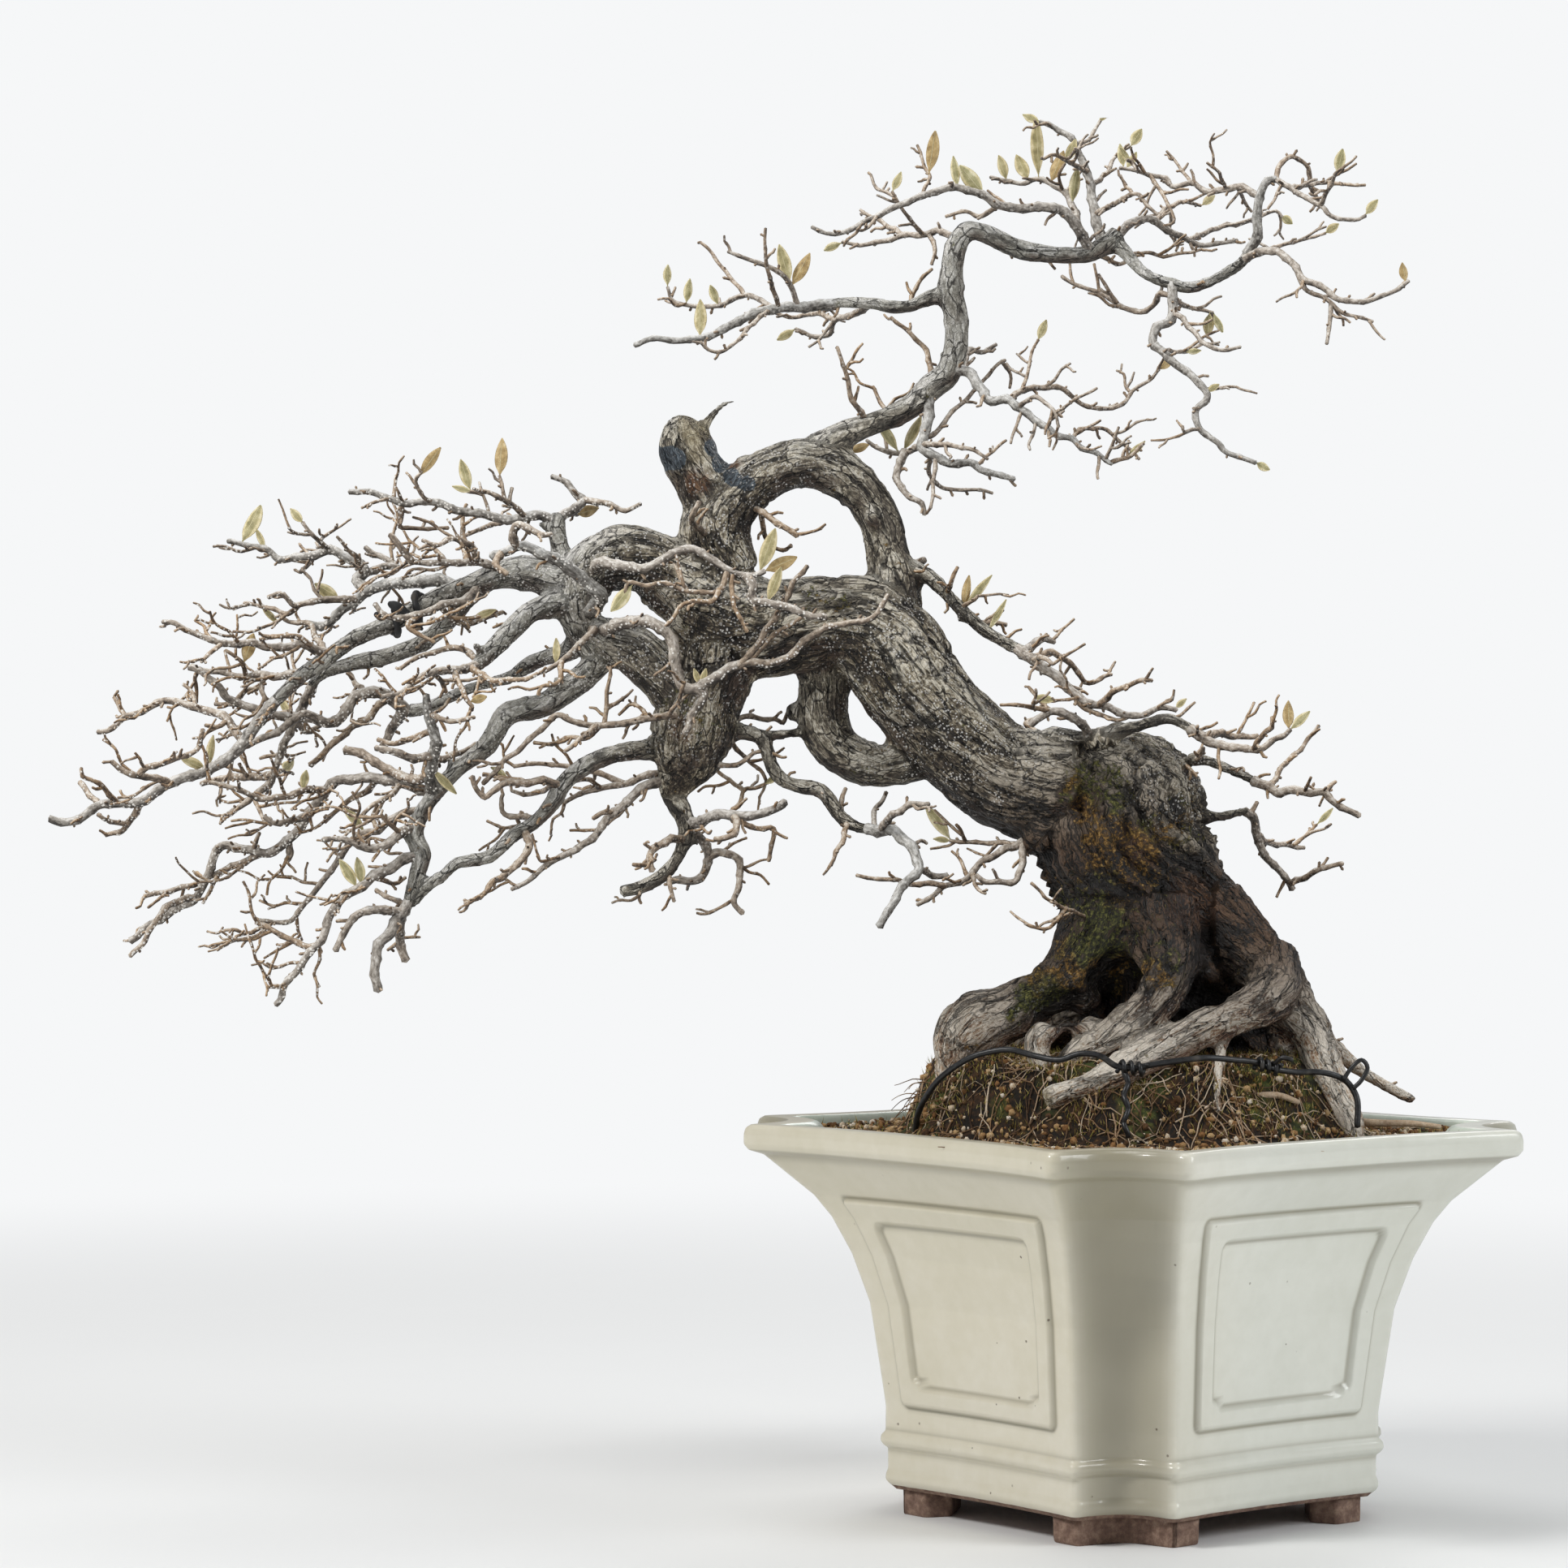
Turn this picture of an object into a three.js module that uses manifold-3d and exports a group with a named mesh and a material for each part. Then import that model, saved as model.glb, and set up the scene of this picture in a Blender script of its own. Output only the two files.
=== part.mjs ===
// Variegated elaeagnus bonsai in its square glazed pot, in millimetres, +Z up.
// +X is to the right and +Y to the back, seen from the front of the tree. The tree is laid out as it
// is seen from the front: every branch is a list of places on the plane through the pot's axis, and
// its depth then moves it along the line of sight, so that the front view keeps its outline.
import * as THREE from 'three';
import { mergeVertices } from 'three/addons/utils/BufferGeometryUtils.js';
import Module from 'manifold-3d';

const wasm = await Module();
wasm.setup();

// Driving dimensions

const GAP = 0.3; // between pieces that touch
const EYE = { x: -171.6, distance: 2280, z: 358 }; // the front view's eye, before the pot's axis

const POT = {
  turn: THREE.MathUtils.degToRad(-6), // the front groove looks a little to the left
  footHeight: 12.5,
  footInset: 6,
  footReach: 17, // along each wall, from the groove
  footThickness: 13,
  floorTop: 22,
  height: 191,
  baseReach: 120, // from the axis to the groove's edges, along the corner's direction
  rimReach: 193,
  baseGroove: 45.5, // the groove's width
  rimGroove: 62,
  grooveDepth: 0.3, // as a share of the groove's width
  baseBow: 4.2, // how far a wall bows inwards
  rimBow: 13,
  panelRise: 2,
  panelOuter: 0.785, // shares of half a wall's length
  panelInner: 0.62,
  drainRadius: 22,
};

// Outside of the pot, as [height, reach], from the unglazed band to the rim's rounded top edge
const POT_OUTSIDE = [
  [12.5, 116.8], [15.2, 117.5], [15.8, 120.5], [33.5, 121], [34.6, 123.7], [39.4, 123.9],
  [40.5, 121.5], [53.2, 122], [54.2, 122.1], [61.5, 123.2], [62.5, 123.4], [104, 130], [128, 139],
  [145.5, 148.6], [146.5, 149.2], [156, 157.2], [157, 158.2], [178, 184], [180, 193],
  [188.8, 193], [191, 190.8],
];
const PANEL = { bottom: 53.5, innerBottom: 62, innerTop: 146, top: 156.5 };

// Inside of the pot, as [height, reach]
const POT_INSIDE = [[22, 106], [104, 118], [140, 133], [175, 164.5], [191, 171.5]];

const SOIL = {
  clearance: 0.4, // to the pot's wall
  edge: 186, // height of the soil along the wall
  top: 224, // height of the root ball
  frontShoulder: 52, // where the root ball starts to fall away
  sideShoulder: 92,
  backShoulder: 78,
  frontFoot: 104, // where it meets the level soil
  sideFoot: 118,
  rings: [0.24, 0.42, 0.54, 0.64, 0.78],
  roughness: 1.6,
};

const MESH = { width: 62, thickness: 1, holes: 3, holeWidth: 9, pitch: 15 };
const WIRE = { radius: 1.6, sides: 5 };
const STRAP = { limb: 'left_main', from: -370, to: -347, turns: 2.25, steps: 8, radius: 1.7, sides: 5 };
const TWIG = { tolerance: 2.7, collar: 3, stout: 2.9, spread: 1.5 };
const LEAF = { thickness: 0.7, fold: 0.16 };
const SHOOT = {
  spacing: 300, // stretch of twig for each shoot
  shortest: 16,
  longest: 34,
  radius: 1.2,
  tip: 0.8,
  clearance: 0.6, // to the wood of other nodes
  leafShare: 0.3, // share of the shoots that carry a leaf
};
const BEND_STEPS = [0, 6, -6, 12, -12, 18, -18, 24, -24, 32, -32, 40, -40, 50, -50];
const BARK = {
  roughness: 0.055, // how far the bark's ridges stand out, as a share of the radius
  tolerance: 0.9, // how closely a limb follows its stops
  share: 0.09, // the same for a stout limb, as a share of its radius
  sidesByRadius: [[24, 9], [12, 7], [5, 6], [0, 4]],
};

// Trunk, roots and limbs: [x, depth, z, radius] along each. They grew as one piece.
const LIMBS = {
  "butt": [[24, 34, 178, 52], [22, 32, 225, 49], [16, 24, 255, 46], [10, 12, 280, 46], [5, 4, 305, 43],
    [-6, 0, 330, 43], [-6, 0, 346, 41], [-8, 0, 362, 34], [-10, 0, 374, 25], [-12, 0, 381, 11]],
  "diagonal": [[-8, -2, 344, 34], [-36, -2, 353, 30], [-64, -3, 362.4, 26], [-80, -3, 375, 25.5],
    [-95, -4, 389.6, 25.6], [-108, -4, 406, 26.5], [-119, -4, 424, 27], [-131, -3, 435, 25],
    [-146, -1, 438, 23], [-162, 0, 437, 23], [-180, 2, 435, 25], [-197, 3, 438, 27],
    [-209, 3, 443, 26], [-220, 2, 449, 22]],
  "descent": [[-200, 3, 436, 25], [-207, 2, 412, 22], [-213, 0, 397, 21], [-217, -1, 382, 21],
    [-220, -1, 370, 17], [-224, -1, 361, 11], [-227, -2, 355, 6.5]],
  "knuckle": [[-212, 2, 452, 23], [-226, 1, 460, 19], [-240, 0, 468, 16], [-252, 0, 469, 17],
    [-263, 0, 465, 15.5], [-270, -1, 457, 13.5], [-273, -2, 446, 12], [-270, -2, 435, 10.5],
    [-264, -3, 426, 9]],
  "cross_limb": [[-268, -2, 434, 9], [-256, -6, 428, 10.5], [-245, -8, 423, 12.5],
    [-235, -8, 414, 12.5], [-226, -6, 403, 11], [-217, -3, 390, 10]],
  "arch": [[-198, -2, 460, 16], [-205, -2, 477, 17.6], [-203, -2, 491, 17.2], [-192, -2, 503, 14.5],
    [-180, -1, 511, 13], [-168, 0, 515.5, 12.7], [-155, 1, 515.5, 12.4], [-143, 2, 510.5, 11.8],
    [-133, 2, 502, 10.8], [-126.5, 2, 492, 10.3], [-122.5, 1, 482, 10.6], [-120.5, 1, 471, 10.8],
    [-118, 0, 459, 12], [-116, -1, 444, 13]],
  "stub": [[-204, -3, 490, 14], [-211, -4, 506, 14], [-218, -5, 519, 13.5], [-221, -5, 527, 12.5],
    [-222, -5, 535, 8.5], [-222, -5, 539, 3.5]],
  "stub_spike": [[-214, -5, 530, 3.4], [-209, -5, 537, 2.4], [-202.6, -6, 544.5, 1.9],
    [-195.6, -7, 546.6, 1.4]],
  "lower_loop": [[-154, 4, 430, 12], [-152, 6, 413, 12.5], [-152.5, 7, 400, 12.5],
    [-152, 7, 388, 12.4], [-147, 6, 377.5, 12], [-138, 4, 371, 11.5], [-127, 2, 367.5, 10.6],
    [-115, 0, 367.5, 10], [-103, -2, 370, 10], [-88, -3, 375, 10]],
  "left_buttress": [[-4, -10, 302, 28], [-16, -18, 281, 22], [-33, -20, 258, 18], [-50, -22, 250, 15],
    [-64, -24, 244, 15], [-76, -25, 239, 18], [-83, -24, 231, 16.5], [-87, -22, 218, 11],
    [-90, -20, 203, 8], [-92, -18, 186, 6]],
  "middle_root": [[12, -20, 292, 24], [16, -33, 271, 18], [14, -41, 258, 15], [7, -47, 247, 13],
    [-3, -50, 238, 11], [-13, -50, 231, 9], [-24, -48, 226, 7.5], [-34, -46, 219, 6]],
  "cut_root": [[68, -16, 270, 16], [70, -34, 257, 13], [60, -46, 248, 11], [45, -54, 242, 10],
    [28, -59, 234, 9.5], [10, -63, 225, 9], [-6, -67, 217, 8], [-22, -71, 209, 7],
    [-42, -76, 202.5, 6]],
  "knob_root": [[-16, -44, 236, 6], [-28, -48, 240, 6], [-40, -51, 238, 6.5], [-47, -53, 230, 6.5],
    [-45, -54, 221, 6], [-40, -52, 212, 5]],
  "right_root": [[38, -6, 296, 20], [57, -14, 276, 17], [70, -22, 262, 14.5], [79, -28, 248, 12],
    [88, -32, 236, 10.5], [93, -36, 222, 9.5], [100, -40, 207, 8.5], [107, -44, 192, 7.5],
    [110, -46, 178, 6]],
  "right_flank": [[26, 6, 304, 22], [50, 8, 278, 20], [66, 10, 259, 15.5], [78, 10, 244, 11],
    [91, 6, 234, 6], [103, 0, 225, 4], [112, -6, 217, 3.4], [122, -10, 211, 3.1],
    [131, -12, 206, 3], [139, -14, 202, 2.6]],
  "back_root": [[30, 46, 256, 22], [44, 66, 232, 15], [56, 82, 208, 10], [64, 92, 184, 6]],
  "back_left_root": [[-8, 46, 256, 20], [-28, 74, 230, 13], [-42, 96, 204, 8], [-50, 108, 182, 5]],
  "left_back_root": [[-22, 28, 254, 18], [-54, 44, 230, 11], [-80, 56, 208, 7], [-94, 62, 184, 5]],
  "hanging_root": [[46, -50, 239, 3.4], [44, -60, 226, 3.1], [42, -70, 210, 2.9], [42, -78, 197, 2.6],
    [43, -84, 184, 2.2]],
  "left_main": [[-266, -1, 458, 12], [-282, 0, 459, 10], [-296, 2, 462, 9], [-308, 4, 462, 8],
    [-320, 6, 458, 6.2], [-333, 8, 453.5, 5.2], [-345, 8, 448.5, 5], [-355, 7, 442.5, 4.8],
    [-366, 5, 437, 4.5], [-376, 3, 433, 4.4], [-386, 1, 428, 4.4], [-394, -1, 422, 4.4],
    [-402, -3, 416.5, 4.4], [-411, -5, 410, 4.1], [-418, -7, 403, 3.7], [-425, -9, 396.5, 3.1]],
  "left_second": [[-316, 6, 459, 5], [-327, 14, 449, 4.2], [-334, 20, 441, 4.3],
    [-342, 24, 433.5, 4.6], [-351, 27, 427, 4.7], [-361, 28, 423, 4.5], [-372, 28, 420, 4.3],
    [-382, 27, 418, 4.1], [-391, 26, 415.5, 3.8], [-399, 24, 412.5, 3.2], [-405, 22, 406, 2.7]],
  "left_third": [[-272, -2, 448, 9], [-286, -8, 446, 7], [-296, -14, 443, 5.8],
    [-304, -19, 436, 5.4], [-311, -24, 428.5, 5.2], [-318, -28, 421.5, 4.6], [-324, -31, 415, 3.4]],
  "left_fourth": [[-268, -2, 432, 8], [-278, 6, 423.5, 5.2], [-287, 14, 421, 4.6],
    [-297, 22, 417, 4.2], [-307, 28, 410.5, 3.5], [-318, 32, 407.5, 3], [-328, 34, 404.5, 3.1],
    [-338, 35, 400, 3.3], [-348, 36, 395.5, 3.6], [-358, 36, 393.5, 3.7]],
  "post": [[-279, 0, 462, 5], [-282, 2, 474, 4.6], [-283.5, 4, 484, 4.4], [-283, 6, 491, 3.6]],
  "left_falling": [[-265, -3, 430, 8], [-262, -4, 420, 7], [-270, -6, 411, 6.8],
    [-280, -8, 403, 6.6], [-290, -9, 397, 6.2], [-300, -10, 394.5, 5.8], [-309, -11, 392, 5.8],
    [-314, -12, 383, 5.3], [-320, -14, 375, 4.8], [-328, -16, 369, 4.4], [-336, -18, 362, 4.2],
    [-343, -18, 354, 4.2], [-350, -18, 344, 4.2], [-354, -18, 333, 4.8], [-350, -19, 323, 4.8],
    [-353, -20, 312, 4], [-356, -20, 303, 3.4], [-357, -20, 297, 3]],
  "low_limb": [[-224, -2, 376, 9], [-238, -6, 375, 5.6], [-250, -9, 374, 5], [-262, -12, 370.5, 5],
    [-272, -14, 365, 4.6], [-280, -15, 358.5, 4.4], [-284, -16, 351, 4.2], [-290, -17, 343.5, 3.8],
    [-297, -18, 337.5, 4], [-304, -19, 333.5, 4.1], [-311, -20, 327, 3.7], [-317, -21, 322, 3.5],
    [-325, -22, 320.5, 3.4], [-333, -23, 319, 3.5], [-339, -23, 313.5, 3.1], [-346, -22, 308.5, 3],
    [-354, -20, 300, 2.6]],
  "tail": [[-225, -1, 364, 9], [-228, -2, 356, 5.4], [-226, -3, 351, 5.4], [-222.5, -4, 345, 5],
    [-220, -5, 338, 4.6], [-220.5, -6, 330, 3.9], [-223.5, -7, 323, 3.5], [-227, -8, 317.5, 3.6],
    [-232, -9, 312.5, 3.8], [-239, -10, 308.5, 3.8], [-246, -11, 306, 3.6], [-252, -12, 305, 3.5]],
  "crown_stem": [[-160, 1, 519, 9], [-150, 2, 526, 7.4], [-140, 4, 531, 6.8], [-125, 6, 536.7, 5.8],
    [-114, 7, 541, 5.7], [-106, 8, 546.6, 6.2], [-99.8, 8, 553, 6.7], [-91, 8, 560, 6.6],
    [-87.7, 8, 570.5, 6.1], [-86.7, 7, 580, 6.2], [-87, 6, 590, 6.4], [-88.8, 5, 599, 6.2],
    [-88.6, 4, 608, 6.1], [-87.8, 3, 618.7, 5.5], [-86, 2, 625.5, 5.4], [-82, 2, 630.5, 5.1],
    [-76.6, 2, 630.8, 4.9], [-69, 2, 627.8, 5.1], [-61.6, 2, 624, 5], [-53, 2, 620.8, 4.6],
    [-40, 1, 619, 4.4], [-29.4, 0, 618.5, 4.3], [-19.8, 0, 619.8, 4.6], [-11.2, -1, 624.9, 4.9],
    [-7, -1, 630, 4.4]],
  "crown_right": [[-10, -1, 627, 4.2], [-2.8, -3, 619.3, 3.6], [3.6, -5, 611.8, 3.2],
    [10, -7, 607.5, 3.1], [20.8, -9, 604.3, 3.2], [28.3, -10, 602.6, 3], [40, -12, 606.4, 3.1],
    [47.6, -13, 610.7, 3], [54, -14, 615, 3.1], [58.3, -15, 621.4, 3]],
  "crown_left": [[-88.5, 5, 600, 5.5], [-97.5, 7, 598, 4.2], [-104, 8, 596, 3.8],
    [-110.4, 9, 593.2, 3.6], [-120, 10, 593.2, 3.4], [-127.6, 11, 594.8, 3.4],
    [-141.5, 12, 595.4, 3.2], [-152, 12, 593.7, 3]],
  "right_long": [[-120, 0, 463, 8], [-111, -2, 464, 5], [-104, -4, 462.3, 4.1],
    [-96.8, -6, 457.3, 3.9], [-91, -8, 451, 3.6], [-85.5, -10, 445.3, 3.6], [-80, -12, 440, 3.5],
    [-74, -13, 434.5, 3.4], [-67, -14, 430, 3.1], [-60, -15, 426, 3], [-53, -16, 423.5, 3]],
  "shoulder_branch": [[-46, -8, 370, 8], [-42, -12, 381, 4.6], [-35, -16, 382, 4.2],
    [-27, -19, 380, 4.2], [-20, -21, 380, 4.2], [-13, -23, 381.5, 3.6], [-6, -24, 384.5, 3.2],
    [2, -25, 386.3, 3], [11, -26, 389, 3.2], [18, -27, 390.3, 3.2], [25, -28, 387.7, 3],
    [32, -29, 382.6, 2.8]],
  "under_branch": [[-206, 0, 384, 8], [-196, -3, 384, 4.4], [-189, -5, 383, 4.1],
    [-183, -7, 381, 4], [-180, -9, 375, 3.8], [-178, -10, 367.5, 3.8], [-174, -11, 361.5, 3.8],
    [-168, -12, 358, 3.6], [-161, -13, 356.3, 4.1], [-155, -14, 355.5, 4], [-150, -15, 351.5, 3.9],
    [-146.5, -16, 345.5, 3.7], [-141.5, -17, 340, 3.5], [-135, -18, 336.8, 3.2],
    [-128, -19, 335.3, 3]],
  "bridge": [[-182, -7, 381, 3], [-175, -4, 382.3, 2.7], [-168, 0, 382.8, 2.7], [-156, 5, 385, 3]],
  "right_middle": [[16, -4, 358, 9], [25, -5, 367, 3.8], [29, -6, 369.8, 3.1], [35, -8, 370, 3],
    [42, -10, 367.6, 2.9], [50, -12, 364.4, 2.8], [57, -14, 361.3, 2.7], [63, -16, 357.7, 2.5]],
  "right_low": [[26, 4, 343, 9], [36, 5, 342.5, 3.6], [44, 6, 342, 2.6], [51, 7, 343.6, 2.3],
    [57.5, 8, 345, 2.3]],
};

// Twigs: [step out of the parent, depth gained to the tip, radius at the root, radius at the tip,
// x, z, x, z, ...]. The first point moves onto the nearest wood of its own node, the first twig of a
// node onto the nearest limb.
const TRUNK_TWIGS = [
  [0, -10, 1.8, 1.4, -188, 493, -175, 487, -165, 480],
  [0, 12, 1.4, 0.9, -190, 481, -180, 478, -172, 473, -168, 476],
  [0, -26, 1.8, 1.3, -218, 476, -217, 488, -213, 497],
  [0, 8, 1.3, 0.8, -110, 594, -106, 604, -98.6, 612],
  [0, 12, 1.6, 0.9, -99.7, 554, -100.8, 570, -110.4, 581, -119, 588],
  [0, -10, 1.6, 0.9, -129.7, 535, -138.3, 548.7, -141.5, 562.7, -145.8, 573.4],
  [0, 14, 1.2, 0.8, -18, 618, -6, 614.5, 4.7, 619.8, 15.4, 618.2, 26, 619.8, 34.7, 621.4],
  [0, -14, 1.6, 1, -141, 339, -142, 332, -145, 326, -147, 321, -149, 318],
  [0, -30, 1.1, 0.8, -34, 301, -38, 299, -45, 305, -50, 309],
  [0, 10, 1.6, 1, -206, 391, -192, 391, -182, 390, -176, 390, -172, 388, -170, 393],
  [0, -6, 1.6, 1, -206, 366, -198, 367, -192, 369, -187, 373, -183, 374],
  [0, 16, 1.4, 0.9, -202, 380, -190, 370, -183, 365, -180, 358],
];

const SPRAYS = {
  "crown_tip_spray": [
    [0, -6, 2.7, 1.9, 57, 619, 61.3, 627.8, 61.9, 636.4, 62, 645, 63.6, 650.3, 66.9, 655, 71, 656],
    [0, -22, 1.5, 0.9, 71, 656, 80.8, 650, 87.2, 646, 93.6, 642.8, 98, 638, 109.7, 635.9, 115, 638.5],
    [0, 14, 1.4, 0.8, 71, 656, 72.2, 662, 77.6, 667, 83.5, 665.3, 87.2, 660, 89.4, 650],
    [0, 24, 1.4, 0.8, 78, 652, 88.3, 653.5, 95.8, 655, 102.2, 659],
    [0, 26, 1.9, 0.9, 61.9, 648, 57.2, 650.9, 50.8, 652.3, 40, 649.8, 33.6, 651.9, 29.4, 654,
      19.7, 652.7, 16.5, 656.2, 4.7, 659.4, -6, 662],
    [0, -14, 1.1, 0.7, 9, 659, 15.4, 648, 19.2, 640.7, 20.3, 635, 15.4, 633],
  ],
  "crown_right_spray": [
    [0, -30, 2.2, 1, 55, 616.5, 63, 620.5, 69, 620.3, 73.3, 619.8, 78.6, 615, 84, 607.5,
      90.4, 604.3, 96.9, 601, 101, 597.3, 107.6, 595.7, 118.3, 596.8, 128, 600.5, 136.5, 606],
    [0, -8, 1.3, 0.8, 80.5, 611, 85, 602, 93.6, 598.4, 102, 591.5, 109.7, 588.5, 118.8, 586],
    [0, 26, 1.1, 0.7, 64, 621, 73.3, 623.5, 81.9, 625.7, 95.3, 629.4],
  ],
  "crown_knob_spray": [
    [0, 24, 2.4, 1, -9, 628, 0.4, 634.8, 5.8, 637, 11, 635.3, 17.6, 631, 26, 626.8, 35.8, 623.5,
      51.9, 626.2],
    [0, 26, 1.4, 0.8, 28, 626.3, 36.9, 630, 45.4, 633.2, 54, 634.3, 62.6, 637.5, 71, 640.7,
      73.8, 637.5],
    [0, 34, 1.5, 0.8, 12, 634.8, 16, 641, 26, 645, 34, 643],
  ],
  "crown_hanging_spray": [
    [0, -20, 2.6, 1.2, 19.5, 604.5, 20.3, 593.5, 18.1, 586, 12.2, 582.8, 10, 575.3, 15.4, 571,
      21.9, 564.6, 29.4, 559.3, 36.3, 551.8, 36.3, 547.5, 31.5, 542, 33.6, 532.5, 42.7, 526,
      47, 521.2, 61, 516.5],
    [0, -24, 1.5, 0.9, 19.7, 592, 25, 587, 30.4, 580.7, 35.8, 575.3, 42.2, 572, 53.5, 573.2],
    [0, 26, 1.6, 0.9, 20.3, 598, 13.8, 600, 11, 594.6, 5.8, 591, -0.6, 591.4, -10, 596.2,
      -16.6, 600.5, -27.3, 603.7, -34.8, 608.5],
  ],
  "crown_top_spray": [
    [0, 10, 2.8, 1.2, -14.5, 622.5, -17.6, 635.8, -18.7, 641, -20.3, 651, -21.9, 659.4, -25, 665.8,
      -27.8, 673.3, -31.6, 677.6, -38, 681.4, -45.5, 684.6],
    [0, -26, 1.5, 0.8, -17.8, 639, -8, 644.4, 1.5, 649, 6.9, 644, 12.2, 638.5],
    [0, 30, 1.4, 0.8, -20.5, 652, -12, 660, -8, 668, -1, 672],
    [0, -30, 1.4, 0.8, -22, 660, -30, 664, -38, 668, -44, 666],
  ],
  "crown_left_spray": [
    [0, -26, 2.8, 1, -20, 620, -25, 629, -29.4, 635.8, -35.9, 641.2, -44.4, 642.3, -56.2, 641.7,
      -65.9, 643.3, -72.3, 647.6, -79.8, 650.3, -89.4, 651.9, -105.5, 647, -122.6, 639.6,
      -139.8, 631, -148.4, 629, -158, 632.6],
    [0, 30, 2, 0.9, -24, 630, -29.4, 643.3, -33.7, 649.8, -40, 654, -47.6, 656.2, -55, 654,
      -70, 657.3],
    [0, 12, 1, 0.7, -104, 647.5, -100, 657, -102, 662, -106, 673],
    [0, 14, 1.4, 0.8, -66, 643.5, -74, 638, -82, 640, -92, 638],
  ],
  "crown_middle_spray": [
    [0, 22, 1.9, 0.9, -86, 625.5, -94.8, 631, -100, 629, -112, 628.3, -130, 624, -143, 624.8],
    [0, -12, 1.2, 0.8, -103, 628.8, -107.6, 634, -113, 641, -118.4, 650],
    [0, 26, 1.5, 0.8, -112, 628.3, -122, 634, -134, 641],
  ],
  "crown_far_left_spray": [
    [0, -14, 2.9, 1.3, -148, 594.5, -163, 593.2, -173.6, 592.7, -184.4, 590.5, -194, 586.3,
      -202.6, 581.4, -211, 578.2, -222, 576.6, -235.8, 577.5, -245.4, 574.5],
    [0, 26, 1.5, 0.9, -176, 592.6, -190, 599, -203, 594, -215, 593.5, -226, 596, -229, 603],
    [0, 12, 1.2, 0.8, -190.8, 598.6, -196, 605.5, -202.6, 613, -206.8, 619.5, -213, 625],
    [0, -20, 1.3, 0.8, -174, 592.7, -179, 608.8, -181, 621.6, -180.6, 632],
    [0, -8, 1.5, 0.9, -165, 593.2, -168, 603, -174.7, 610.8, -189.7, 616.8, -199.3, 620.5],
    [0, -28, 1.3, 0.8, -179, 591.5, -188, 584, -194, 577, -201.5, 571.5, -209, 572, -213, 576],
  ],
  "crown_low_left_spray": [
    [0, 24, 1.9, 0.9, -128.6, 594.8, -136, 590, -146.8, 586.3, -149, 579.8, -157.6, 578.7,
      -166, 582.5],
    [0, 26, 1.5, 0.8, -146, 586.6, -156, 590, -166, 588, -176, 590],
  ],
  "under_crown_spray": [
    [0, -12, 3, 1.4, -100, 553, -100.5, 540, -102, 531, -104, 524, -96.6, 519.5, -90, 515.8,
      -79.4, 516.3, -75, 513, -64.4, 510, -58, 508.3],
    [0, -16, 1.6, 0.9, -103.5, 525, -97.6, 525.5, -91, 525, -80.5, 523.3, -75, 520.6, -71, 518.3],
    [0, 16, 1.8, 0.9, -103.5, 525, -110, 522, -118, 521, -126, 524, -131, 527.5],
    [0, 20, 1.2, 0.8, -100, 521, -99.8, 511, -94.4, 504.5, -86, 503, -75, 503, -68.7, 501.3],
    [0, -14, 2.2, 1.2, -112, 521.6, -116, 511, -113.8, 503.7, -109, 499.5, -104, 496, -101.8, 491],
    [0, 12, 1.4, 0.9, -102.5, 529, -97.6, 530, -91, 538.8, -82.6, 547, -75, 555, -67.6, 563.6,
      -62.3, 566.8],
  ],
  "crown_inner_spray": [
    [0, -22, 2.8, 1.1, -90, 563, -81.6, 561.3, -75, 553.8, -71, 547.4, -62.3, 547.4, -58, 545.3,
      -51.6, 540, -45, 535.6, -37.6, 530.3, -30, 528, -24.8, 523.8, -17.3, 520.6, -9.8, 515.8],
    [0, 24, 1.6, 0.8, -61, 547, -53.7, 552.2, -45, 553.3, -35.5, 553.3, -29, 548.5, -23.7, 544.7,
      -14, 543, -4.4, 545.3, 0, 551.7, 8.4, 557, 13.3, 562.4],
    [0, -16, 1.3, 0.8, -56, 543.5, -49.4, 548.5, -43, 546.3, -38.2, 541, -36, 534],
    [0, 14, 1.2, 0.8, -30, 528, -25.8, 532.4, -19.4, 533.5, -13, 532.4, -2.3, 523.8, 3.6, 518],
    [0, -24, 1, 0.7, -42, 533.5, -38.7, 540, -28, 547.4, -17.3, 553.3],
    [0, 12, 1, 0.7, -54.8, 551.7, -51.6, 560, -49.4, 571, -46.2, 577],
    [0, 18, 1.7, 1, -83, 561.5, -80.5, 572, -73, 570.8, -67, 575],
  ],
  "right_long_spray": [
    [0, -16, 2.9, 1.3, -57, 425, -45, 416.5, -40, 413, -35, 409, -29, 403, -24, 399, -17, 397,
      -12, 396, -5, 393, 0, 391.5, 5, 392, 9, 394, 14, 395.5, 22, 395],
    [0, -20, 1.8, 1, -16, 397, -11, 402, -6, 405, 0, 407.5, 5, 409, 10, 409],
    [0, 22, 1.8, 1, -43, 429.5, -41, 423, -36, 421, -30, 417, -26, 412, -23, 408, -19, 408,
      -14, 411, -10, 412],
    [0, 18, 1.4, 0.9, -29, 403, -24.5, 396, -15, 392, -8, 389.5, -2, 391],
  ],
  "shoulder_spray": [
    [0, -16, 2.7, 1.2, 29, 384.8, 36, 380, 44, 377, 52, 376, 60, 375, 65, 376, 70, 380, 75, 382,
      78, 385],
    [0, 18, 2.2, 1.3, 36, 380, 40, 383, 48, 382, 56, 381, 62, 382],
  ],
  "shoulder_left_spray": [
    [0, -14, 2.4, 1.8, -21, 380, -22, 384, -26, 388, -29, 391, -35, 393, -41, 394, -45, 391,
      -50, 387],
    [0, -10, 1.4, 0.8, -41, 394, -50, 396, -58, 397, -65, 397],
  ],
  "right_middle_spray": [
    [0, -16, 2.5, 1.5, 60, 359.5, 68, 356, 72, 354, 78, 355, 86, 354, 94, 354, 98, 350, 105, 346,
      112, 342],
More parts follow.
